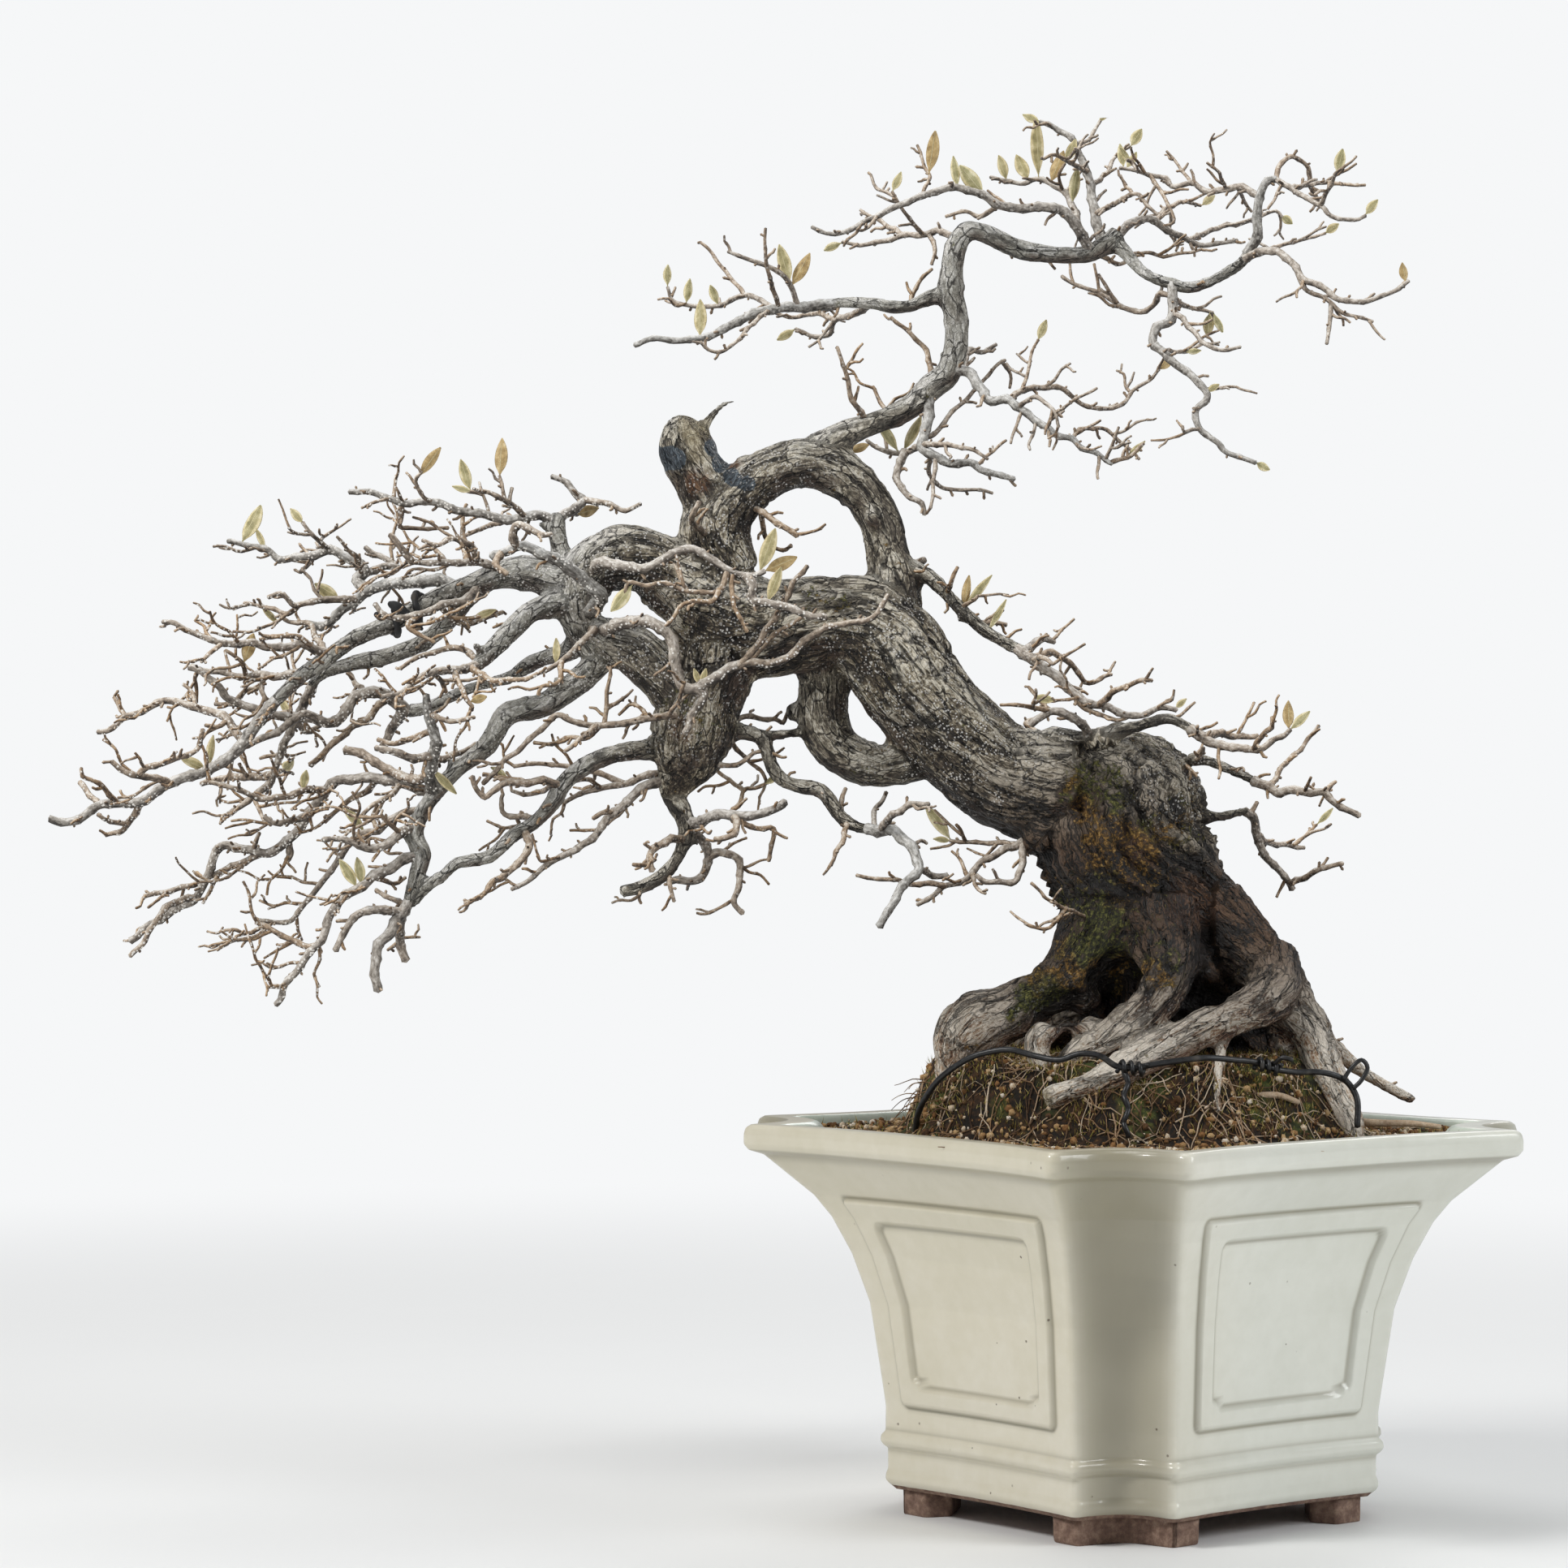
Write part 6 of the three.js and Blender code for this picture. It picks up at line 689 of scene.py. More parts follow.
class Draws:
    """The same seeded draws every time, 0 to 1, as the part's source makes them."""

    MASK = 0xFFFFFFFF

    def __init__(self, seed: int) -> None:
        """Start from a whole number."""
        self.state = seed & self.MASK

    def __call__(self) -> float:
        """Return the next draw: 32-bit products and shifts of a counter, over 2 to the 32.

        Returns:
            The draw, from 0 up to 1.
        """
        self.state = (self.state + 0x6D2B79F5) & self.MASK
        mixed = ((self.state ^ (self.state >> 15)) * (self.state | 1)) & self.MASK
        mixed = ((mixed + (mixed ^ (mixed >> 7)) * (mixed | 61)) & self.MASK) ^ mixed
        return (mixed ^ (mixed >> 14)) / (self.MASK + 1)

    def between(self, low: float, high: float) -> float:
        """Return the next draw, stretched from low to high."""
        return low + (high - low) * self()

    @classmethod
    def of(cls, name: str, extra: int) -> "Draws":
        """Return the draws for a node, seeded by its letters' codes in base 31, modulo 65521.

        Args:
            name: The node's name.
            extra: Added to the seed, for each kind of thing that grows there.

        Returns:
            The draws.
        """
        total = 7
        for letter in name:
            total = (total * 31 + ord(letter)) % 65521
        return cls(total + extra)


class Noise:
    """Seeded noise on whole arrays of places."""

    SIZE = 8192

    def __init__(self, seed: int) -> None:
        """Fill the table of random values."""
        self.table = np.random.default_rng(seed).random((self.SIZE, 3))

    def _at(self, cells: Array) -> Array:
        """Return three values, 0 to 1, for every whole cell, by a hash of its three numbers."""
        keys = cells.astype(np.int64)
        mixed = (keys[..., 0] * 73856093) ^ (keys[..., 1] * 19349663) ^ (keys[..., 2] * 83492791)
        return self.table[(mixed ^ (mixed >> 13)) % self.SIZE]

    def smooth(self, places: Array) -> Array:
        """Return noise from -1 to 1: the values at a cell's eight corners, blended smoothly.

        Args:
            places: n rows of x, y and z, in cells.

        Returns:
            n values.
        """
        base = np.floor(places)
        share = places - base
        share = share * share * share * (share * (share * 6 - 15) + 10)
        total = np.zeros(len(places))
        for corner in np.ndindex(2, 2, 2):
            step = np.array(corner)
            weight = np.prod(np.where(step == 1, share, 1 - share), axis=1)
            total += weight * self._at(base + step)[:, 0]
        return 2 * total - 1

    def layered(self, places: Array, layers: int = 4) -> Array:
        """Return noise summed over layers, each twice as fine and half as strong.

        Args:
            places: n rows of x, y and z, in cells of the first layer.
            layers: How many there are.

        Returns:
            n values, about -1 to 1.
        """
        total = np.zeros(len(places))
        for layer in range(layers):
            total += self.smooth(places * 2.0 ** layer + 17.3 * layer) / 2.0 ** layer
        return total / 1.6

    def ridged(self, places: Array, layers: int = 3) -> Array:
        """Return ridges, 0 to 1: one minus the size of the noise, so that its zeros stand up.

        Args:
            places: n rows of x, y and z, in cells of the first layer.
            layers: How many there are, each twice as fine and half as strong.

        Returns:
            n values.
        """
        total = np.zeros(len(places))
        for layer in range(layers):
            sheet = 1 - np.abs(self.smooth(places * 2.0 ** layer + 9.1 * layer))
            total += sheet ** 2 / 2.0 ** layer
        return total / 1.75

    def plates(self, places: Array) -> tuple[Array, Array]:
        """Split space into cells around one random seed in each unit cube.

        Args:
            places: n rows of x, y and z, in cells.

        Returns:
            The gap between the distances to the two nearest seeds, which is 0 on the cell's edge,
            and a value from 0 to 1 for the nearest seed.
        """
        base = np.floor(places)
        nearest = np.full(len(places), 9.0)
        second = np.full(len(places), 9.0)
        owner = np.zeros(len(places))
        for corner in np.ndindex(3, 3, 3):
            cell = base + np.array(corner) - 1
            seeds = self._at(cell)
            away = np.linalg.norm(cell + seeds - places, axis=1)
            closer = away < nearest
            second = np.where(closer, nearest, np.minimum(second, away))
            owner = np.where(closer, seeds[:, 0] * 7 % 1, owner)
            nearest = np.where(closer, away, nearest)
        return second - nearest, owner


def eased(low: float, high: float, values: Array) -> Array:
    """Return 0 below low and 1 above high, eased between them by 3 t^2 - 2 t^3."""
    share = np.clip((np.asarray(values, float) - low) / (high - low), 0, 1)
    return share * share * (3 - 2 * share)


def unit(vectors: Array) -> Array:
    """Return vectors of length 1."""
    return vectors / np.maximum(np.linalg.norm(vectors, axis=-1, keepdims=True), 1e-9)


def curve(stops: Array, step: float) -> Array:
    """Return rows on a smooth curve through stops.

    Between two stops a row is a Catmull-Rom blend of the four stops around it, in every column.

    Args:
        stops: Rows whose first three columns are a place.
        step: Length between rows, about.

    Returns:
        The rows, the last stop included.
    """
    runs = np.linalg.norm(np.diff(stops[:, :3], axis=0), axis=1)
    counts = np.maximum(np.ceil(runs / step).astype(int), 1)
    owner = np.repeat(np.arange(len(runs)), counts)
    first = np.repeat(np.cumsum(counts) - counts, counts)
    share = ((np.arange(counts.sum()) - first) / np.repeat(counts, counts))[:, None]
    ends = np.vstack([2 * stops[:1] - stops[1:2], stops, 2 * stops[-1:] - stops[-2:-1]])
    a, b, c, d = (ends[owner + k] for k in range(4))
    bend = (2 * a - 5 * b + 4 * c - d) * share ** 2 + (3 * b - a - 3 * c + d) * share ** 3
    rows = b + 0.5 * ((c - a) * share + bend)
    return np.vstack([rows, stops[-1:]])


def carried(places: Array) -> tuple[Array, Array, Array]:
    """Carry a frame along a path without twisting: each side is the last, less its part along.

    Args:
        places: The path's places.

    Returns:
        Along, side and up at every place, each of length 1.
    """
    along = unit(np.gradient(places, axis=0))
    current = np.cross((0.0, 1.0, 0.0), along[0])
    if np.linalg.norm(current) < 0.2:
        current = np.cross((1.0, 0.0, 0.0), along[0])
    side = np.empty_like(along)
    for i, heading in enumerate(along):
        current = current - heading * current.dot(heading)
        current = current / math.sqrt(current.dot(current))
        side[i] = current
    return along, side, np.cross(along, side)


def travelled(places: Array) -> Array:
    """Return the length of the path up to every place."""
    runs = np.linalg.norm(np.diff(places, axis=0), axis=1)
    return np.concatenate([[0.0], np.cumsum(runs)])


# Meshes

AXIS_X = sum(corner[0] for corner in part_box("pot")) / 2
# The way that the light mostly comes from: up, a little to the left and the front. Faces towards it are
# painted lighter as highlight and faces away darker as shade; moss also grows on faces towards it.
LIGHT_FROM = np.array([-0.36, -0.25, 0.9])
FULL_TURN = 6.28
LOW, HIGH = ((np.array(corner) - (AXIS_X, 0, 0)) * 1000 for corner in CAD_BOX)


@dataclass
class Shell:
    """Parts of one mesh, gathered as whole arrays, in millimetres from the pot's axis."""

    places: list[Array] = field(default_factory=list)
    faces: list[tuple[Array, int]] = field(default_factory=list)
    values: dict[str, list[Array]] = field(default_factory=dict)
    count: int = 0

    def add(self, places: Array, faces: Iterable[Array], slot: int = 0, **values: Array) -> None:
        """Add a part.

        Args:
            places: n rows of x, y and z.
            faces: Arrays of three or four places to a face.
            slot: Which of the mesh's materials the faces have.
            values: One number or three for every place, or one for them all, by name.
        """
        total = len(places)
        self.places.append(places)
        for part in faces:
            self.faces.append((np.asarray(part) + self.count, slot))
        for name, value in values.items():
            filled = np.asarray(value, float)
            shape = (total, 3) if filled.ndim and filled.shape[-1] == 3 else (total,)
            self.values.setdefault(name, []).append(np.broadcast_to(filled, shape))
        self.count += total

    def grid(self, rows: Array, *, capped: bool = True, slot: int = 0, **values: Array) -> None:
        """Add rings of places as quads that face outwards.

        The last column joins the first, and columns turn left about the way that the rows go.

        Args:
            rows: Rows by columns of places.
            capped: Whether each end is closed to its middle; if not, the last row joins the first.
            slot: Which material.
            values: Values by name, one for every place of the grid.
        """
        count, sides = rows.shape[:2]
        index = np.arange(count * sides).reshape(count, sides)
        left = index if capped else np.vstack([index, index[:1]])
        right = np.roll(left, -1, axis=1)
        quads = np.stack([left[:-1], right[:-1], right[1:], left[1:]], -1).reshape(-1, 4)
        faces = [quads]
        places = rows.reshape(-1, 3)
        given = {name: np.asarray(value, float) for name, value in values.items()}
        values = {name: value.reshape(count * sides, *value.shape[2:]) if value.ndim > 1 else value
                  for name, value in given.items()}
        if capped:
            hubs = np.array([rows[0].mean(axis=0), rows[-1].mean(axis=0)])
            places = np.vstack([places, hubs])
            foot, head = count * sides, count * sides + 1
            faces.append(np.column_stack([np.full(sides, foot), right[0], left[0]]))
            faces.append(np.column_stack([np.full(sides, head), left[-1], right[-1]]))
            for name, value in values.items():
                if len(value.shape) and len(value) == count * sides:
                    ends = np.array([value[:sides].mean(axis=0), value[-sides:].mean(axis=0)])
                    values[name] = np.concatenate([value, ends])
        self.add(places, faces, slot, **values)

    def tube(self, rows: Array, sides: int, *, slot: int = 0, tip: float = 0.5, shift: float = 0.0,
             **values: float) -> None:
        """Add a closed tube along rows of place and radius.

        A place is the row's plus radius times cos(turn) sideways and sin(turn) upwards. The value
        "grain" is those two offsets and the length gone, so that a pattern follows the wood, and
        "sky" is how far a place faces the way that the light comes from, -1 to 1, for painted
        highlights and painted shade.

        Args:
            rows: x, y, z and radius along the middle.
            sides: Sides all round.
            slot: Which material.
            tip: How far the last ring's middle stands out, in radii.
            shift: Added to the length in "grain", so that no two tubes look alike.
            values: One number each by name, for the whole tube.
        """
        middle, radius = rows[:, :3], rows[:, 3]
        along, side, up = carried(middle)
        turn = 2 * math.pi * (np.arange(sides) + 0.25) / sides
        across = np.cos(turn)[None, :, None] * side[:, None] + np.sin(turn)[None, :, None] * up[:, None]
        ring = middle[:, None] + radius[:, None, None] * across
        gone = travelled(middle) + shift
        grain = np.empty((len(rows), sides, 3))
        grain[..., 0] = radius[:, None] * np.cos(turn)
        grain[..., 1] = radius[:, None] * np.sin(turn)
        grain[..., 2] = gone[:, None]
        before = self.count
        self.grid(ring, slot=slot, grain=grain / 1000, sky=across @ LIGHT_FROM, **values)
        self.places[-1][self.count - before - 1] += along[-1] * radius[-1] * tip

    def mesh(self, name: str) -> bpy.types.Mesh:
        """Make the mesh, in metres, with nothing outside the solids' box.

        Args:
            name: The mesh's name.

        Returns:
            The mesh, with its values as attributes.
        """
        mesh = bpy.data.meshes.new(name)
        places = np.clip(np.concatenate(self.places), LOW, HIGH) / 1000 + (AXIS_X, 0.0, 0.0)
        sizes = np.concatenate([np.full(len(part), part.shape[1]) for part, _ in self.faces])
        corners = np.concatenate([part.ravel() for part, _ in self.faces])
        slots = np.concatenate([np.full(len(part), slot) for part, slot in self.faces])
        mesh.vertices.add(len(places))
        mesh.vertices.foreach_set("co", places.astype(np.float32).ravel())
        mesh.loops.add(len(corners))
        mesh.loops.foreach_set("vertex_index", corners.astype(np.int32))
        mesh.polygons.add(len(sizes))
        mesh.polygons.foreach_set("loop_start", (np.cumsum(sizes) - sizes).astype(np.int32))
        mesh.polygons.foreach_set("material_index", slots.astype(np.int32))
        mesh.polygons.foreach_set("use_smooth", np.ones(len(sizes), bool))
        mesh.update(calc_edges=True)
        for label, parts in self.values.items():
            give(mesh, label, np.concatenate(parts))
        return mesh

    def build(self, name: str, materials: Iterable[bpy.types.Material], slot: str,
              node: str | None = None) -> None:
        """Make the object, at the origin, riding on the part's one body.

        Args:
            name: The object's name.
            materials: Its materials, in the order of the slots.
            slot: The name of a material slot, which is not used.
            node: The solid that it stands for, if any.
        """
        mesh = self.mesh(name)
        for material in materials:
            mesh.materials.append(material)
        piece = bpy.data.objects.new(name, mesh)
        bpy.context.scene.collection.objects.link(piece)
        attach(piece, "root")
        if node:
            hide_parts(node)
        LOG.info("%s: %d triangles", name, len(mesh.loops) - 2 * len(mesh.polygons))


def give(mesh: bpy.types.Mesh, label: str, values: Array) -> None:
    """Write one number or three for every place of a mesh as an attribute."""
    vector = values.ndim == 2
    kind, key = ("FLOAT_VECTOR", "vector") if vector else ("FLOAT", "value")
    mesh.attributes.new(label, kind, "POINT").data.foreach_set(key, values.astype(np.float32).ravel())


# Where the wood lies

@dataclass(frozen=True)
class Sight:
    """The front view's eye, on a level line of sight, from which the branches were laid out."""

    x: float = -171.6
    distance: float = 2280.0
    z: float = 358.0

    def seen(self, line: Array) -> Array:
        """Move rows of x, depth, z and radius along their lines of sight.

        A row's offset from the eye grows by 1 + depth / distance, and its radius too.

        Args:
            line: Rows on the plane through the pot's axis.

        Returns:
            Rows of place and radius.
        """
        line = np.atleast_2d(np.asarray(line, float))
        scale = 1 + line[:, 1] / self.distance
        return np.column_stack([self.x + (line[:, 0] - self.x) * scale, line[:, 1],
                                self.z + (line[:, 2] - self.z) * scale, line[:, 3] * scale])


class Wood:
    """All wood that is laid, with the test that keeps new wood clear of other nodes' wood."""

    BENDS = (0, 6, -6, 12, -12, 18, -18, 24, -24, 32, -32, 40, -40, 50, -50)
    CLEARANCE = 0.6
    SPREAD = 1.5
    MARGIN = 36
    MOST = 40000

    def __init__(self, sight: Sight) -> None:
        """Start with no wood.

        Args:
            sight: The eye that the wood was laid out from.
        """
        self.sight = sight
        self.lines: dict[str, list[Array]] = {}
        self.names: dict[str, int] = {}
        self.table = np.empty((self.MOST, 9))
        self.used = 0

    def _number(self, node: str) -> int:
        """Return the node's number."""
        return self.names.setdefault(node, len(self.names))

    def add_stops(self, node: str, stops: Array) -> Array:
        """Add stops of place and radius, which only the test reads.

        Args:
            node: The node that they belong to.
            stops: The stops.

        Returns:
            The same stops.
        """
        count = len(stops) - 1
        rows = self.table[self.used:self.used + count]
        rows[:, 0:3] = stops[:-1, :3]
        rows[:, 3:6] = stops[1:, :3]
        rows[:, 6] = np.maximum(stops[:-1, 3], stops[1:, 3])
        rows[:, 7] = self._number(node)
        self.used += count
        return stops

    def add(self, node: str, line: Array) -> Array:
        """Add a line that other twigs may grow from, and return its stops."""
        line = np.asarray(line, float)
        self.lines.setdefault(node, []).append(line)
        return self.add_stops(node, self.sight.seen(line))

    def nearest(self, node: str, x: float, z: float) -> Array:
        """Return the row nearest to x and z, in the front view, on a node's lines.

        Args:
            node: The node.
            x: Place sideways.
            z: Height.

        Returns:
            The row: x, depth, z and radius.
        """
        best, least = None, math.inf
        for line in self.lines[node]:
            start, run = line[:-1], np.diff(line, axis=0)
            length = run[:, 0] ** 2 + run[:, 2] ** 2
            length[length == 0] = 1
            share = ((x - start[:, 0]) * run[:, 0] + (z - start[:, 2]) * run[:, 2]) / length
            near = start + run * np.clip(share, 0, 1)[:, None]
            off = np.hypot(near[:, 0] - x, near[:, 2] - z)
            at = int(off.argmin())
            if off[at] < least:
                least, best = off[at], near[at]
        return best

    @staticmethod
    def _apart(p0: Array, p1: Array, q0: Array, q1: Array) -> Array:
        """Return the least distances between one stretch and many.

        The nearest places lie at the shares s and t of the two, where the gap is square to both,
        each kept from 0 to 1.

        Args:
            p0: Start of the one stretch.
            p1: Its end.
            q0: Starts of the others.
            q1: Their ends.

        Returns:
            A distance for each of the others.
        """
        u, v, w = p1 - p0, q1 - q0, p0 - q0
        a, b, c = u @ u, v @ u, (v * v).sum(axis=1)
        d, e = w @ u, (v * w).sum(axis=1)
        across = a * c - b * b
        level = np.where(across > 1e-9, across, 1)
        s = np.where(across > 1e-9, np.clip((b * e - c * d) / level, 0, 1), 0)
        t = np.clip((b * s + e) / np.where(c > 1e-9, c, 1), 0, 1)
        s = np.clip((b * t - d) / max(a, 1e-9), 0, 1)
        return np.linalg.norm(w + u * s[:, None] - v * t[:, None], axis=1)

    def is_clear(self, node: str, stops: Array, start: Array, skip: float,
                 clearance: float = CLEARANCE, own: bool = False) -> bool:
        """Whether stops stay clear of other wood, past a start inside what they grow from.

        Args:
            node: The node of the new wood.
            stops: Its places and radii.
            start: Where it starts.
            skip: How near to the start nothing is tested.
            clearance: The gap to keep.
            own: Whether the node's own wood is tested too.

        Returns:
            Whether they are clear.
        """
        rows = self.table[:self.used]
        low = stops[:, :3].min(axis=0) - stops[:, 3].max() - self.MARGIN
        high = stops[:, :3].max(axis=0) + stops[:, 3].max() + self.MARGIN
        middle = (rows[:, 0:3] + rows[:, 3:6]) / 2
        near = ((middle > low - rows[:, 6:7]) & (middle < high + rows[:, 6:7])).all(axis=1)
        if not own:
            near &= rows[:, 7] != self._number(node)
        rows = rows[near]
        if not len(rows):
            return True
        for a, b in zip(stops[:-1], stops[1:]):
            if math.dist(b[:3], start) < skip:
                continue
            inside = math.dist(a[:3], start) < skip
            begin = a[:3] + (b[:3] - a[:3]) * (0.7 if inside else 0)
            need = max(a[3], b[3]) + rows[:, 6] + clearance
            if (self._apart(begin, b[:3], rows[:, 0:3], rows[:, 3:6]) < need).any():
                return False
        return True

    def lay(self, node: str, row: list[float], parent: str) -> Array:
        """Lay a twig from its row, bent back or forward until it is clear of the other nodes.

        The depth is the root's, plus the step, plus (spread x gain + bend)(1 - (1 - share)^2).

        Args:
            node: The twig's node.
            row: Step out of the parent, depth gained, radius at the root and at the tip, x, z, ...
            parent: The node that it grows from.

        Returns:
            The stops laid.
        """
        step, gain, thick, thin = row[:4]
        points = np.array(row[4:], float).reshape(-1, 2)
        root = self.nearest(parent, *points[0])
        points[0] = root[0], root[2]
        gone = travelled(points)
        share = gone / gone[-1]
        reach = self.sight.seen(root)[0, :3]
        skip = root[3] + (2 if parent == node else 9)
        spread = 1 if step else self.SPREAD
        stepped = np.where(np.arange(len(points)) > 0, step, 0)

        def bent(bend: float) -> Array:
            """Return the line with a bend."""
            depth = root[1] + stepped + (spread * gain + bend) * (1 - (1 - share) ** 2)
            return np.column_stack([points[:, 0], depth, points[:, 1], thick + (thin - thick) * share])

        for bend in self.BENDS:
            if self.is_clear(node, self.sight.seen(bent(bend)), reach, skip):
                return self.add(node, bent(bend))
        return self.add(node, bent(0))


@dataclass(frozen=True)
class Blade:
    """Where one leaf grows."""

    root: Array
    tip: Array
    width: float
    roll: float


@dataclass
class Growth:
    """The twigs and leaves of one node."""

    twigs: list[Array] = field(default_factory=list)
    shoots: list[Array] = field(default_factory=list)
    fine: list[Array] = field(default_factory=list)
    leaves: list[Blade] = field(default_factory=list)


@dataclass
class Layout:
    """Lays the limbs, twigs, shoots and leaves in the order of the part's source."""

    sight: Sight
    wood: Wood
    growth: dict[str, Growth] = field(default_factory=dict)
    spacing: float = 300.0
    shoot_radius: float = 1.2
    shoot_tip: float = 0.8
    leaf_share: float = 0.3
    stoutest: float = 3.2

    def lay(self, strap: Array) -> None:
        """Lay everything that the solids have, then the twigs and leaves too short for them.

        Args:
            strap: Places and radii along the rubber tie, which the wood stays clear of.
        """
        for line in LIMBS.values():
            self.wood.add("trunk", np.array(line, float))
        self.wood.add_stops("branch_strap", strap)
        self.growth["trunk"] = Growth()
        for row in TRUNK_TWIGS:
            self.growth["trunk"].twigs.append(self.wood.lay("trunk", row, "trunk"))
        for node, rows in SPRAYS.items():
            own = self.growth[node] = Growth()
            for i, row in enumerate(rows):
                own.twigs.append(self.wood.lay(node, row, node if i else "trunk"))
        for node, own in self.growth.items():
            if node != "trunk":
                self._grow_shoots(node, own)
                self._grow_leaves(node, own)
        self._grow_leaves("trunk", self.growth["trunk"])
        for node, rows in SHORT_TWIGS.items():
            for row in rows:
                self.growth[node].fine.append(self.wood.lay(node, row, node))
        for node, rows in SMALL_LEAVES.items():
            draw = Draws.of(node, Seed.SMALL_LEAVES)
            self.growth[node].leaves += [self._blade(node, row, draw) for row in rows]

    def _grow_shoots(self, node: str, own: Growth) -> None:
        """Grow the side shoots at seeded places along a node's twigs, where they are clear.

        Args:
            node: The node.
            own: Its twigs, which the shoots join.
        """
        draw = Draws.of(node, Seed.SHOOTS)
        for stops in own.twigs:
            for a, b in zip(stops[:-1], stops[1:]):
                chance = draw() * self.spacing
                turn, lean, size, share = draw() * 2 * math.pi, draw(), draw(), draw()
                run = b[:3] - a[:3]
                length = float(np.linalg.norm(run))
                if chance > length or b[3] > self.stoutest:
                    continue
                along = run / length
                side = np.array([math.cos(turn), math.sin(turn), 0.35 * math.sin(3 * turn)])
                side = unit(side - along * side.dot(along))
                heading = unit(along * (0.35 + 0.5 * lean) + side)
                reach = 16 + 18 * size
                root = a[:3] + run * share
                elbow = root + heading * reach * 0.55
                tip = elbow + unit(heading + (0, 0, lean - 0.3)) * reach * 0.45
                middle = (self.shoot_radius + self.shoot_tip) / 2
                path = np.array([[*root, self.shoot_radius], [*elbow, middle], [*tip, self.shoot_tip]])
                if self.wood.is_clear(node, path, root, 4):
                    own.shoots.append(self.wood.add_stops(node, path))

    def _blade(self, node: str, row: list[float], draw: Draws) -> Blade:
        """Return a leaf that grows from the node's nearest wood.

        Args:
            node: The node.
            row: x and z of its root, x and z of its tip, and its width.
            draw: Where the random numbers come from.

        Returns:
            Where the leaf grows.
        """
        x0, z0, x1, z1, width = row
        near = self.wood.nearest(node, x0, z0)
        tilt, roll = draw() - 0.5, (draw() - 0.5) * 0.9
        depth = near[1] + tilt * 0.7 * math.hypot(x1 - x0, z1 - z0)
        root = self.sight.seen(near)[0, :3]
        tip = self.sight.seen([x1, depth, z1, 0])[0, :3]
        return Blade(root, tip, width, roll)

    def _grow_leaves(self, node: str, own: Growth) -> None:
        """Grow the leaves that show from the front, and those on some of the shoots.

        Args:
            node: The node.
            own: Its twigs and shoots, which the leaves join.
        """
        draw = Draws.of(node, Seed.LEAVES)
        own.leaves += [self._blade(node, row, draw) for row in LEAVES.get(node, [])]
        for i, stops in enumerate(own.shoots):
            pick, roll, size, swing = draw(), (draw() - 0.5) * 1.2, draw(), draw() - 0.5
            if pick > self.leaf_share:
                continue
            elbow, end = stops[0, :3], stops[1, :3]
            heading = unit(unit(end - elbow) + (swing, swing * (1 if i % 2 else -1), 0.35))
            root = elbow + (end - elbow) * 0.8
            length = 12 + 8 * size
            tip = root + heading * length
            path = np.array([[*root, length * 0.15], [*tip, length * 0.15]])
            if self.wood.is_clear(node, path, root, 2):
                own.leaves.append(Blade(root, tip, length * 0.3, roll))


# Finishes

def hexed(code: int) -> Colour:
    """Return the linear colour of a code such as 0xE6E1CC, by the sRGB curve."""
    shares = ((code >> 16 & 255) / 255, (code >> 8 & 255) / 255, (code & 255) / 255)
    return tuple(s / 12.92 if s <= 0.04045 else ((s + 0.055) / 1.055) ** 2.4 for s in shares)


class Value:
    """A shader socket that adds Math nodes when it is reckoned with."""

    def __init__(self, graph: "Graph", socket: bpy.types.NodeSocket) -> None:
        """Wrap a socket of a graph."""
        self.graph = graph
        self.socket = socket

    def _math(self, operation: str, *terms: "Value | float") -> "Value":
        """Return a Math node's result."""
        return self.graph.add("ShaderNodeMath", {"operation": operation}, dict(enumerate(terms)))

    def __add__(self, other: "Value | float") -> "Value":
        """Add."""
        return self._math("ADD", self, other)

    __radd__ = __add__

    def __sub__(self, other: "Value | float") -> "Value":
        """Subtract."""
        return self._math("SUBTRACT", self, other)

    def __rsub__(self, other: "Value | float") -> "Value":
        """Subtract from."""
        return self._math("SUBTRACT", other, self)

    def __mul__(self, other: "Value | float") -> "Value":
        """Multiply."""
        return self._math("MULTIPLY", self, other)

    __rmul__ = __mul__

    def at_most(self, other: "Value | float") -> "Value":
        """Return the smaller."""
        return self._math("MINIMUM", self, other)

    def at_least(self, other: "Value | float") -> "Value":
        """Return the larger."""
        return self._math("MAXIMUM", self, other)

    def eased(self, low: float, high: float) -> "Value":
        """Return 0 at low and 1 at high, eased between them."""
        settings = {"interpolation_type": "SMOOTHSTEP"}
        values = {"Value": self, "From Min": low, "From Max": high}
        return self.graph.add("ShaderNodeMapRange", settings, values)


